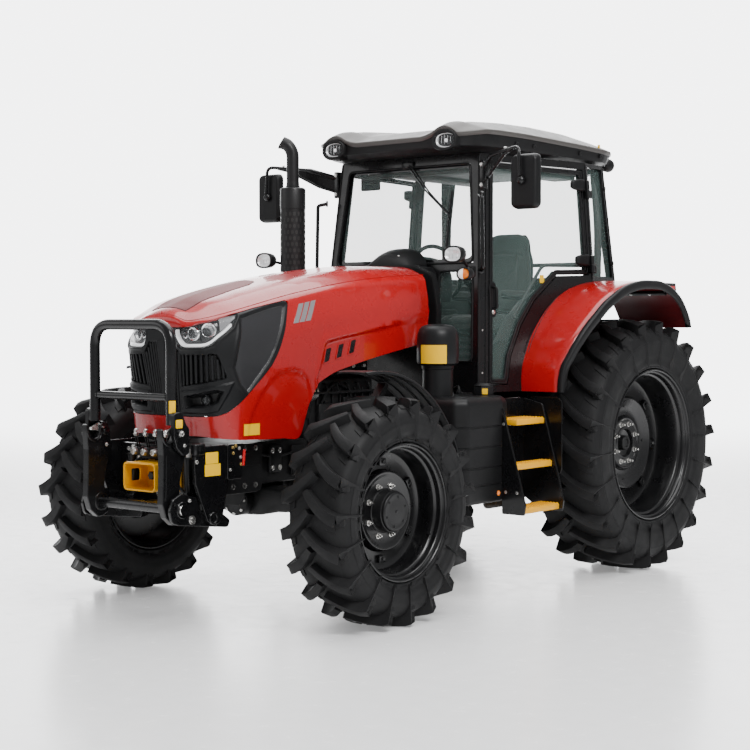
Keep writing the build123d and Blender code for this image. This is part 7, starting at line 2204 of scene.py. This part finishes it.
if len(RIM) == len(inn):
    loop = [[(x, -0.0895, z) for x, z in inn], [(0.5 * (a[0] + b[0]), -0.0900, 0.5 * (a[1] + b[1])) for a, b in zip(RIM, inn)], [(x, -0.087, z) for x, z in RIM], [(x, -0.047, z) for x, z in RIM], [(0.5 * (a[0] + b[0]), -0.0450, 0.5 * (a[1] + b[1])) for a, b in zip(RIM, inn)], [(x, -0.047, z) for x, z in inn], [(x, -0.0760, z) for x, z in inn]]
    g.add(*rings(loop, cap0=True, cap1=True), 0)
else:
    g.add(*plate([(x, z) for x, z in RIM], "y", -0.090, -0.046, 0.003), 0)
CORE_ = smooth_poly([(-0.285, 1.500), (-0.290, 1.980), (-0.255, 2.030), (0.255, 2.030), (0.290, 1.980), (0.285, 1.500)], 0.045, 5)
rs = [[(x, y if z < 0 else min(y, yA_(z) - 0.001), z) for x, z in CORE_] for y in (-0.0765, -0.02, 0.03, 0.30)]
g.add(*rings(rs, cap0=True, cap1=True), 0)
rs = []
for y, h in ((-0.068, 2.034), (-0.060, 2.052), (-0.045, 2.076), (-0.020, 2.100), (0.010, 2.124), (0.040, 2.142), (0.070, 2.152), (0.100, 2.156)):
    hw = 0.212 * (0.90 + 0.10 * (y + 0.068) / 0.168)
    row = [(-hw, min(y, yA_(1.99) - 0.001), 1.990)]
    for t in np.linspace(0, pi, 25):
        zz = 2.020 + (h - 2.020) * max(0.0, sin(t)) ** 0.9
        xx = -hw * np.sign(cos(t)) * abs(cos(t)) ** 0.82 * (1 - 0.04 * sin(t))
        row.append((xx, min(y, yA_(zz) - 0.001), zz))
    row.append((hw, min(y, yA_(1.99) - 0.001), 1.990))
    rs.append(row)
g.add(*rings(rs, cap0=True, cap1=True), 0)
g.add(*lathe([(0, 0.009), (0.004, 0.008), (0.007, 0.004), (0.007, 0.0003)], (0.06, -0.010, 2.100), (0, -0.6, 0.8), 16), 1)
for sx in (1, -1):
    g.add(*plate(smooth_poly([(-0.168, 1.966), (-0.168, 1.993), (-0.089, 1.993), (-0.089, 1.966)], 0.006, 3), "x", sx * 0.2005, sx * 0.2295, 0.003), 0)
    g.add(*bolt((sx * 0.2300, -0.150, 1.985), (sx, 0, 0), 0.008, 0.0, washer=False), 1)
sc2 = g.make("scuttle_shaped", ["black_matt", "zinc"], "chassis", "black_matt", smooth=38)
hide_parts("scuttle_cowl")
# ------------------------------------------------------------------ seat: padded cushion and back
def puff(ob, voxel, cap, pressure=4.0):
    """Voxel remesh, then a short cloth run with inner pressure; movement is capped."""
    md = ob.modifiers.new("remesh", "REMESH")
    md.mode = "VOXEL"
    md.voxel_size = voxel
    md.use_smooth_shade = True
    bake(ob)
    start = [v.co.copy() for v in ob.data.vertices]
    md = ob.modifiers.new("cloth", "CLOTH")
    s = md.settings
    s.quality = 4
    s.mass = 0.3
    s.tension_stiffness = s.compression_stiffness = 12
    s.shear_stiffness = 5
    s.bending_stiffness = 0.6
    s.use_pressure = True
    s.uniform_pressure_force = pressure
    s.effector_weights.gravity = 0
    md.collision_settings.use_collision = False
    md.point_cache.frame_start, md.point_cache.frame_end = 1, 20
    for f_ in range(1, 21):
        scene.frame_set(f_)
    bake(ob)
    for v, c in zip(ob.data.vertices, start):
        d = v.co - c
        if d.length > cap:
            v.co = c + d.normalized() * cap
    scene.frame_set(1)
    md = ob.modifiers.new("finer", "SUBSURF")
    md.levels = md.render_levels = 1
    bake(ob)


def press(ob, lines, width, depth, mask=None):
    """Sinks sewn channels into the mesh along 3-D lines, along the local normal."""
    me = ob.data
    co = np.array([v.co for v in me.vertices])
    no = np.array([v.normal for v in me.vertices])
    d = np.full(len(co), 1e9)
    for ln in lines:
        ln = [np.array(p, float) for p in ln]
        for a, b in zip(ln, ln[1:]):
            ab = b - a
            t = np.clip(((co - a) @ ab) / (ab @ ab), 0, 1)
            d = np.minimum(d, np.linalg.norm(co - (a + t[:, None] * ab), axis=1))
    w = np.exp(-(d / width) ** 2) * depth
    if mask is not None:
        w = w * mask(co, no)
    co = co - no * w[:, None]
    me.vertices.foreach_set("co", co.ravel())
    me.update()


def close(rs):
    return rings(rs, cap0=True, cap1=True)


# seat cushion: crowned, waterfall front, bolsters at the sides
rs = []
YC_ = [0.772, 0.782, 0.805, 0.84, 0.92, 1.02, 1.12, 1.19, 1.225, 1.234]
for y in YC_:
    e = min(1.0, (y - 0.764) / 0.045, (1.242 - y) / 0.03)
    k = sqrt(max(0.08, 1 - (1 - e) ** 2))
    hw_ = 0.238 * (0.90 + 0.10 * k)
    crown = 0.012 * sin(pi * np.clip((y - 0.77) / 0.47, 0, 1))
    row = []
    for t in np.linspace(0, 2 * pi, 40, endpoint=False):
        c, s = cos(t), sin(t)
        x = hw_ * np.sign(c) * abs(c) ** 0.42
        z = (0.048 * k) * np.sign(s) * abs(s) ** 0.55
        bol = 0.014 * math.exp(-((abs(x) - 0.19) / 0.05) ** 2) if s > 0 else 0
        row.append((x, y, 1.648 + z + (crown + bol) * (s > 0) * k))
    rs.append(row)
cu = Geo()
cu.add(*close(rs), 0)
cushion = cu.make("seat_cushion", ["seat"], "chassis", "seat", smooth=180)
puff(cushion, 0.0090, 0.010)
press(cushion, [[(x, 0.78, 1.707), (x, 1.22, 1.707)] for x in (-0.135, 0.135)] + [[(-0.13, y, 1.707), (0.13, y, 1.707)] for y in (0.88, 1.00, 1.12)], 0.012, 0.010, mask=lambda c, n: n[:, 2] > 0.3)
rim_ = [(0.236 * np.sign(cos(t)) * abs(cos(t)) ** 0.3, 1.003 + 0.222 * np.sign(sin(t)) * abs(sin(t)) ** 0.3, 1.655) for t in np.linspace(0, 2 * pi, 60)]
press(cushion, [rim_], 0.006, 0.005)
shade(cushion.data, 180)

# backrest: narrower at the head, wings at the sides, crowned both ways
rs = []
V = np.concatenate([[0.0, 0.012, 0.035], np.linspace(0.07, 0.93, 24), [0.965, 0.988, 1.0]])
for v_ in V:
    z = 1.735 + 0.575 * v_
    yc = 1.225 + 0.098 * v_
    hw_ = float(np.interp(v_, [0, 0.06, 0.25, 0.50, 0.66, 0.76, 0.88, 0.94, 0.975, 1.0], [0.215, 0.228, 0.234, 0.232, 0.218, 0.194, 0.184, 0.168, 0.145, 0.110]))
    e = min(1.0, v_ / 0.06, (1 - v_) / 0.085)
    k = sqrt(max(0.05, 1 - (1 - e) ** 2))
    hw_ *= 0.80 + 0.20 * k
    th = float(np.interp(v_, [0, 0.3, 0.6, 0.8, 1.0], [0.044, 0.046, 0.038, 0.034, 0.034])) * k
    row = []
    for t in np.linspace(0, 2 * pi, 44, endpoint=False):
        c, s = cos(t), sin(t)
        x = hw_ * np.sign(c) * abs(c) ** 0.45
        y = th * np.sign(s) * abs(s) ** 0.6
        wing = 0.016 * math.exp(-((abs(x) - 0.175) / 0.04) ** 2) * float(smoothstep((0.72 - v_) / 0.15)) if s < 0 else 0
        row.append((x, yc + y - wing * k, z))
    rs.append(row)
bk = Geo()
bk.add(*close(rs), 0)
back = bk.make("seat_back", ["seat"], "chassis", "seat", smooth=180)
puff(back, 0.0090, 0.010)
front_mask = lambda c, n: (n[:, 1] < -0.2).astype(float)
Bp = lambda x, z: (x, 1.225 + (z - 1.69) / 0.50 * 0.098 - 0.042, 1.735 + (z - 1.69) * 1.15)
lines = []
for s_ in (1, -1):
    lines.append([Bp(s_ * 0.150, 1.72), Bp(s_ * 0.148, 1.86), Bp(s_ * 0.128, 1.97), Bp(s_ * 0.120, 2.05)])
    for z0 in (1.755, 1.805, 1.855, 1.905):
        lines.append([Bp(s_ * 0.145, z0 + 0.045), Bp(s_ * 0.09, z0 + 0.035), Bp(s_ * 0.045, z0 - 0.015), Bp(0.0, z0 - 0.028)])
lines.append([Bp(-0.16, 2.045), Bp(-0.10, 2.055), Bp(0, 2.06), Bp(0.10, 2.055), Bp(0.16, 2.045)])
press(back, lines, 0.009, 0.010, mask=front_mask)
shade(back.data, 180)
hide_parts("operator_seat")

# shell behind, arm rests, slides and the folded boot under the cushion
g = Geo()
rs = []
for v_ in np.linspace(0.03, 0.97, 16):
    z = 1.735 + 0.575 * v_
    yc = 1.225 + 0.098 * v_
    hw_ = float(np.interp(v_, [0, 0.06, 0.25, 0.50, 0.66, 0.76, 0.88, 0.94, 0.975, 1.0], [0.205, 0.216, 0.220, 0.218, 0.204, 0.178, 0.164, 0.145, 0.120, 0.090]))
    rs.append([(a, yc + 0.042 + b, z) for a, b in rect(2 * hw_, 0.016, 0.007, 3)])
g.add(*rings(rs, cap0=True, cap1=True), 0)
for sx in (1, -1):
    g.add(*sweep(round_path([(sx * 0.232, 1.215, 1.70), (sx * 0.240, 1.19, 1.83), (sx * 0.240, 0.92, 1.845)], 0.05, 5), rect(0.022, 0.030, 0.006, 3), (0, 0.2, 1)), 0)
    g.add(*rbox(*sorted((sx * 0.215, sx * 0.268)), 0.90, 1.17, 1.845, 1.890, 0.018, 3), 1)
    g.add(*rbox(*sorted((sx * 0.17, sx * 0.20)), 0.79, 1.15, 1.575, 1.598, 0.004), 0)
rs = []
nz = 13
for i in range(nz):
    z = 1.302 + 0.280 * i / (nz - 1)
    k = 0.016 if i % 2 else 0.0
    rs.append([(a, 0.970 + b, z) for a, b in rect(0.338 - 2 * k, 0.338 - 2 * k, 0.045, 5)])
g.add(*rings(rs, cap0=True, cap1=True), 2)
g.add(*rbox(-0.230, 0.230, 0.760, 1.180, 1.2565, 1.300, 0.012, 3), 0)
g.add(*lathe([(0, 0.020), (0.02, 0.024), (0.03, 0.018), (0.03, 0.0003)], (0.175, 0.80, 1.40), (1, 0, 0), 24), 0)
sb = g.make("seat_base_shaped", ["black_matt", "seat", "floorboard"], "chassis", "black_matt", smooth=38)
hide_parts("operator_seat_base")
# ------------------------------------------------------------------ rear linkage and hitch
LA_, LC_, LB_, LD_, BALL_, TL_ = (1.620, 0.520), (1.978, 0.558), (1.600, 1.120), (1.958, 1.158), (2.310, 0.599), (1.640, 1.000)
g = Geo()
LOWP = [(LA_[0] - 0.045, LA_[1] - 0.030), (LA_[0] - 0.030, LA_[1] + 0.042), (LC_[0], LC_[1] + 0.045), (BALL_[0] - 0.030, BALL_[1] + 0.025), (BALL_[0] - 0.025, BALL_[1] - 0.025), (LC_[0], LC_[1] - 0.035), (LA_[0], LA_[1] - 0.045)]
for sx in (1, -1):
    g.add(*plate(smooth_poly(LOWP, 0.028, 5), "x", sx * 0.4155, sx * 0.4545, 0.005), 0)
    c = (sx * 0.435, *BALL_)
    ring_ = [(-0.0225, 0.0345), (-0.020, 0.0350), (0.020, 0.0350), (0.0225, 0.0345), (0.0225, 0.0250), (0.014, 0.0240), (0.014, 0.0150), (-0.014, 0.0150), (-0.014, 0.0240), (-0.0225, 0.0250)]
    g.add(*revolve_x(ring_, *c, seg=48, closed=True), 0)
    sph = [(0.021 * sin(t), 0.0245 * cos(t)) for t in np.linspace(-0.95, 0.95, 9)]
    g.add(*revolve_x(sph + [(0.0205, 0.01435), (-0.0205, 0.01435)], *c, seg=40, closed=True), 1)
    for yy, zz in ((LA_[0], LA_[1]),):
        g.add(*lathe([(0, 0.036), (0.004, 0.036), (0.006, 0.033)], (sx * 0.4545, yy, zz), (sx, 0, 0), 32), 0)
    g.add(*lathe([(0.0, 0.018), (0.006, 0.018), (0.008, 0.014), (0.008, 0.0003)], (sx * 0.4545, 1.80, 0.539), (sx, 0, 0), 24), 1)
g.add(*tube([(-0.456, *LA_), (0.456, *LA_)], 0.0218, 32), 1)
ll = g.make("rear_lower_links_shaped", ["black_steel", "zinc"], "lower_links", "black_steel", smooth=40)
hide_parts("rear_lower_links")
# bracket details, PTO stub with cover, outlet valves, pins, lamp socket, number plate holder
g = Geo()
for sx in (1, -1):
    for z in (0.47, 0.60, 0.74, 0.88, 1.02, 1.14):
        g.add(*bolt((sx * 0.300, 1.585, z), (sx, 0, 0), 0.010, 0.008), 1)
    g.add(*lathe([(0, 0.042), (0.006, 0.042), (0.008, 0.038)], (sx * 0.300, *LA_), (sx, 0, 0), 32), 0)
    g.add(*lathe([(0, 0.050), (0.006, 0.050), (0.008, 0.046)], (sx * 0.300, *LB_), (sx, 0, 0), 32), 0)
    for k in range(2):
        z = 0.875 + 0.055 * k
        for j in range(2):
            x = sx * (0.105 + 0.060 * j)
            g.add(*rbox(x - 0.024, x + 0.024, 1.580, 1.628, z - 0.022, z + 0.022, 0.005), 0)
            g.add(*lathe([(0, 0.017), (0.008, 0.018), (0.022, 0.018), (0.026, 0.015), (0.026, 0.009), (0.016, 0.008), (0.016, 0.0003)], (x, 1.628, z), (0, 1, 0), 24), 2 if (j + k) % 2 else 1)
rs = []
for y, w, h in ((1.592, 0.098, 0.085), (1.66, 0.105, 0.092), (1.70, 0.110, 0.098)):
    rs.append([(w * cos(t), y, 0.700 + h * sin(t)) for t in np.linspace(radians(-15), radians(195), 26)])
g.add(*rings(rs, closed_v=False), 3)
g.add(*rings([[(x * 0.97, y, 0.700 + (z - 0.700) * 0.96) for x, y, z in r] for r in rs], closed_v=False), 3)
for k in range(6):
    a = 2 * pi * k / 6
    g.add(*tube([(0.0165 * cos(a), 1.612, 0.700 + 0.0165 * sin(a)), (0.0165 * cos(a), 1.662, 0.700 + 0.0165 * sin(a))], 0.0035, 6), 1)
# swinging drawbar pin with handle and clip
g.add(*lathe([(0.372, 0.010), (0.378, 0.0158), (0.452, 0.0158), (0.454, 0.026), (0.466, 0.026), (0.468, 0.020)], (0, 2.245, 0), (0, 0, 1), 32), 1)
g.add(*tube(round_path([(0.0, 2.245, 0.466), (0.0, 2.245, 0.505), (0.045, 2.245, 0.505), (0.045, 2.245, 0.468)], 0.014, 5), 0.0055, 10), 1)
g.add(*plate(smooth_poly([(-0.26, 1.56), (0.26, 1.56), (0.26, 1.568), (-0.26, 1.568)], 0.001, 1), "z", 1.085, 1.165, 0.001), 0)
g.make("rear_hitch_details", ["cast_dark", "zinc", "brass", "black_matt"], "chassis", "cast_dark", smooth=38)
# lift rods: fork, turnbuckle, rod end
g = Geo()
for sx in (1, -1):
    x = sx * 0.473
    g.add(*plate(smooth_poly([(LD_[0] - 0.028, LD_[1] + 0.025), (LD_[0] + 0.028, LD_[1] + 0.025), (LD_[0] + 0.028, LD_[1] - 0.060), (LD_[0] - 0.028, LD_[1] - 0.060)], 0.018, 5), "x", x - 0.0115, x + 0.0115, 0.003), 0)
    g.add(*tube([(sx * 0.424, *LD_), (sx * 0.489, *LD_)], 0.0118, 24), 0)
    p0, p1 = Vector((x, LD_[0], LD_[1] - 0.055)), Vector((x, LD_[0] + (LC_[0] - LD_[0]) * 0.85, LD_[1] - 0.510))
    for a, b, r in ((0.0, 0.30, 0.0115), (0.28, 0.72, 0.0168), (0.70, 1.0, 0.0115)):
        g.add(*tube([p0.lerp(p1, a), p0.lerp(p1, b)], r, 24), 0)
    for t in (0.28, 0.71):
        g.add(*lathe([(-0.008, 0.0165), (-0.007, 0.0190), (0.007, 0.0190), (0.008, 0.0165)], p0.lerp(p1, t), (p1 - p0), 6), 0)
    for k in range(10):
        t = 0.06 + 0.018 * k
        g.add(*lathe([(-0.0015, 0.0112), (0, 0.0125), (0.0015, 0.0112)], p0.lerp(p1, t), (p1 - p0), 16), 0)
    g.add(*plate(smooth_poly([(LC_[0] - 0.030, LC_[1] + 0.100), (LC_[0] + 0.026, LC_[1] + 0.100), (LC_[0] + 0.026, LC_[1] - 0.026), (LC_[0] - 0.026, LC_[1] - 0.026)], 0.018, 5), "x", x - 0.0115, x + 0.0115, 0.003), 0)
    g.add(*bolt((x + sx * 0.0115, LC_[0], LC_[1]), (sx, 0, 0), 0.012, 0.006), 0)
lr = g.make("rear_lift_rods_shaped", ["zinc"], "lift_rods", "zinc", smooth=40)
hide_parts("rear_lift_rods")
# lift arms
g = Geo()
LAP = [(LB_[0] - 0.050, LB_[1] - 0.030), (LB_[0] - 0.030, LB_[1] + 0.050), (LD_[0] - 0.040, LD_[1] + 0.035), (LD_[0] + 0.028, LD_[1] + 0.028), (LD_[0] + 0.032, LD_[1] - 0.028), (LD_[0] - 0.040, LD_[1] - 0.032), (LB_[0], LB_[1] - 0.055)]
for sx in (1, -1):
    g.add(*plate(smooth_poly(LAP, 0.024, 5), "x", sx * 0.4255, sx * 0.4545, 0.004), 0)
    g.add(*lathe([(0, 0.044), (0.004, 0.044), (0.006, 0.040)], (sx * 0.4545, *LB_), (sx, 0, 0), 32), 0)
    g.add(*bolt((sx * 0.4600, *LB_), (sx, 0, 0), 0.014, 0.004, washer=False), 1)
g.add(*tube([(-0.454, *LB_), (0.454, *LB_)], 0.0318, 36), 0)
la = g.make("rear_lift_arms_shaped", ["black_steel", "zinc"], "lift_arms", "black_steel", smooth=40)
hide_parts("rear_lift_arms")
# top link
g = Geo()
A_, B_, C_, D_ = Vector((0, 1.648, 1.020)), Vector((0, 1.695, 1.150)), Vector((0, 1.760, 1.330)), Vector((0, 1.778, 1.380))
g.add(*tube([A_, B_], 0.0215, 28), 0)
g.add(*tube([B_ - (B_ - A_) * 0.04, C_], 0.0155, 24), 1)
g.add(*tube([C_ - (C_ - B_) * 0.03, D_], 0.0215, 28), 0)
g.add(*revolve_x([(-0.0245, 0.0295), (-0.022, 0.0300), (0.022, 0.0300), (0.0245, 0.0295), (0.0245, 0.018), (-0.0245, 0.018)], 0, 1.786, 1.402, seg=40, closed=True), 0)
g.add(*revolve_x([(-0.0245, 0.0175), (0.0245, 0.0175), (0.0245, 0.0130), (-0.0245, 0.0130)], 0, 1.786, 1.402, seg=32, closed=True), 1)
g.add(*rbox(-0.0218, 0.0218, 1.622, 1.662, 0.985, 1.030, 0.008, 3), 0)
g.add(*tube([(-0.060, *TL_), (0.060, *TL_)], 0.0118, 24), 1)
for k in range(14):
    g.add(*lathe([(-0.002, 0.0152), (0, 0.0168), (0.002, 0.0152)], B_.lerp(C_, 0.12 + 0.06 * k), C_ - B_, 18), 1)
g.add(*tube(round_path([B_.lerp(C_, 0.02) + Vector((0.018, 0, 0)), B_.lerp(C_, 0.02) + Vector((0.050, 0.012, 0)), B_.lerp(C_, 0.35) + Vector((0.050, 0.010, 0))], 0.012, 4), 0.005, 10), 0)
tlk = g.make("top_link_shaped", ["black_steel", "zinc"], "upper_link", "black_steel", smooth=40)
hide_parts("top_link")

# knuckles: rounded castings, steering arms
for nm, sx in (("left", 1), ("right", -1)):
    g = Geo()
    X = lambda a, b: sorted((sx * a, sx * b))
    g.add(*rbox(*X(0.846, 0.884), YF - 0.104, YF + 0.104, 0.481, 0.784, 0.030, 4), 0)
    for z0, z1 in ((0.746, 0.784), (0.481, 0.518)):
        q = smooth_poly([(sx * 0.698, YF - 0.062), (sx * 0.698, YF + 0.062), (sx * 0.850, YF + 0.080), (sx * 0.850, YF - 0.080)], 0.035, 6)
        g.add(*plate(q, "z", z0, z1, 0.005), 0)
    g.add(*lathe([(0.784, 0.046), (0.792, 0.046), (0.797, 0.040), (0.797, 0.0003)], (sx * 0.760, YF, 0), (0, 0, 1), 36), 0)
    for k in range(4):
        a = radians(45 + 90 * k)
        g.add(*bolt((sx * 0.760 + 0.033 * cos(a), YF + 0.033 * sin(a), 0.796), (0, 0, 1), 0.007, 0.0), 1)
    g.add(*lathe([(0.886, 0.084), (0.892, 0.085), (0.903, 0.080), (0.904, 0.070)], (0, YF, RF), (1, 0, 0), 40) if sx > 0 else lathe([(0.886, 0.084), (0.892, 0.085), (0.903, 0.080), (0.904, 0.070)], (0, YF, RF), (-1, 0, 0), 40), 0)
    # webs on the inner face
    for dy in (-0.07, 0.0, 0.07):
        g.add(*rbox(*X(0.836, 0.848), YF + dy - 0.006, YF + dy + 0.006, 0.53, 0.735, 0.004), 0)
    # tie rod end reaching back
    g.add(*tube(catmull([(sx * 0.860, YF + 0.095, 0.620), (sx * 0.845, YF + 0.125, 0.622), (sx * 0.825, YF + 0.140, 0.624)], 6), 0.016, 16), 0)
    g.add(*lathe([(-0.020, 0.020), (0.020, 0.020), (0.024, 0.014)], (sx * 0.825, YF + 0.140, 0.626), (0, 0, 1), 24), 1)
    g.make(f"front_{nm}_knuckle_details", ["cast_dark", "zinc"], f"{nm}_knuckle", "cast_dark", smooth=38)

# lower rear wall of the cab: pressed panel, blank plate, vent slots, window catch and hinges
g = Geo()
g.add(*plate(smooth_poly([(-0.52, 1.30), (0.52, 1.30), (0.52, 1.90), (-0.52, 1.90)], 0.05, 6), "y", 1.5195, 1.5255, 0.003), 0)
for x in (-0.36, -0.18, 0.18, 0.36):
    g.add(*rbox(x - 0.030, x + 0.030, 1.5250, 1.5330, 1.38, 1.82, 0.003, 2), 0)
for z in (1.50, 1.535, 1.57, 1.605, 1.64):
    g.add(*rbox(-0.10, 0.10, 1.5250, 1.5310, z, z + 0.014, 0.002, 2), 1)
g.add(*rbox(-0.46, -0.22, 1.5255, 1.5345, 1.845, 1.897, 0.003, 2), 2)
for x in (-0.49, 0.49):
    for z in (1.33, 1.60, 1.87):
        g.add(*bolt((x, 1.5255, z), (0, 1, 0), 0.008, 0.005), 2)
for x in (-0.40, 0.40):
    y = 1.548 - (2.700 - 1.952) * 0.105
    g.add(*rbox(x - 0.040, x + 0.040, y - 0.006, y + 0.012, 2.690, 2.735, 0.005, 3), 1)
y = 1.548 - (2.010 - 1.952) * 0.105
g.add(*rbox(-0.050, 0.050, y - 0.004, y + 0.018, 1.985, 2.040, 0.006, 3), 1)
g.make("rear_wall_details", ["black_matt", "black_steel", "zinc"], "chassis", "black_matt", smooth=38)
# ------------------------------------------------------------------ stage
WORLD_LOW, WORLD_HIGH = 0.47, 5.6
bpy.ops.mesh.primitive_plane_add(size=120, location=(0, 0, 0))
floor = bpy.context.object
floor.name = "floor"
fm_ = material("floor_pale", (0.90, 0.902, 0.906), 0.24, spec=0.4, rough_var=0.04)
floor.data.materials.append(fm_)
fm_.node_tree.nodes["Principled BSDF"].inputs["Emission Color"].default_value = (1, 1, 1, 1)
fm_.node_tree.nodes["Principled BSDF"].inputs["Emission Strength"].default_value = 0.22
nt = fm_.node_tree
tcf = nt.nodes.new("ShaderNodeTexCoord")
ln_ = nt.nodes.new("ShaderNodeVectorMath")
ln_.operation = "LENGTH"
nt.links.new(tcf.outputs["Object"], ln_.inputs[0])
far = nt.nodes.new("ShaderNodeMapRange")
far.interpolation_type = "SMOOTHSTEP"
far.inputs["From Min"].default_value = 4.2
far.inputs["From Max"].default_value = 17.0
nt.links.new(ln_.outputs["Value"], far.inputs["Value"])
nr_ = nt.nodes.new("ShaderNodeVectorMath")
nr_.operation = "NORMALIZE"
nt.links.new(tcf.outputs["Object"], nr_.inputs[0])
df = nt.nodes.new("ShaderNodeVectorMath")
df.operation = "DOT_PRODUCT"
df.inputs[1].default_value = (-0.6395, 0.7688, 0.0)
nt.links.new(nr_.outputs["Vector"], df.inputs[0])
ef = nt.nodes.new("ShaderNodeMapRange")
ef.interpolation_type = "SMOOTHSTEP"
ef.inputs["From Min"].default_value = 0.62
ef.inputs["From Max"].default_value = 0.965
ef.inputs["To Min"].default_value = WORLD_LOW
ef.inputs["To Max"].default_value = WORLD_HIGH
nt.links.new(df.outputs["Value"], ef.inputs["Value"])
em = nt.nodes.new("ShaderNodeEmission")
em.inputs["Color"].default_value = (0.985, 0.99, 1.0, 1)
nt.links.new(ef.outputs["Result"], em.inputs["Strength"])
mxs = nt.nodes.new("ShaderNodeMixShader")
nt.links.new(far.outputs["Result"], mxs.inputs[0])
nt.links.new(nt.nodes["Principled BSDF"].outputs[0], mxs.inputs[1])
nt.links.new(em.outputs[0], mxs.inputs[2])
nt.links.new(mxs.outputs[0], nt.nodes["Material Output"].inputs["Surface"])
world = bpy.data.worlds.new("studio")
scene.world = world
world.use_nodes = True
wt = world.node_tree
bg = wt.nodes["Background"]
tcw = wt.nodes.new("ShaderNodeTexCoord")
dot = wt.nodes.new("ShaderNodeVectorMath")
dot.operation = "DOT_PRODUCT"
dot.inputs[1].default_value = (-0.6395, 0.7688, 0.0)
mr = wt.nodes.new("ShaderNodeMapRange")
mr.interpolation_type = "SMOOTHSTEP"
mr.inputs["From Min"].default_value = 0.62
mr.inputs["From Max"].default_value = 0.965
mr.inputs["To Min"].default_value = WORLD_LOW
mr.inputs["To Max"].default_value = WORLD_HIGH
wt.links.new(tcw.outputs["Generated"], dot.inputs[0])
wt.links.new(dot.outputs["Value"], mr.inputs["Value"])
wt.links.new(mr.outputs["Result"], bg.inputs["Strength"])
bg.inputs["Color"].default_value = (0.985, 0.99, 1.0, 1)


def area(name, loc, target, size, power, color=(1, 1, 1)):
    d = bpy.data.lights.new(name, "AREA")
    d.shape = "RECTANGLE"
    d.size, d.size_y = size
    d.energy = power
    d.color = color
    o = bpy.data.objects.new(name, d)
    scene.collection.objects.link(o)
    o.location = loc
    o.rotation_euler = (Vector(target) - Vector(loc)).to_track_quat("-Z", "Y").to_euler()
    return o


area("key", (7, -3.5, 7.5), (0, 0, 1.0), (5, 3), 820)
area("fill", (-7, -8, 5), (0, 0, 1.2), (6, 5), 140)
area("top", (0, 0.5, 8.5), (0, 0, 0), (8, 8), 900)
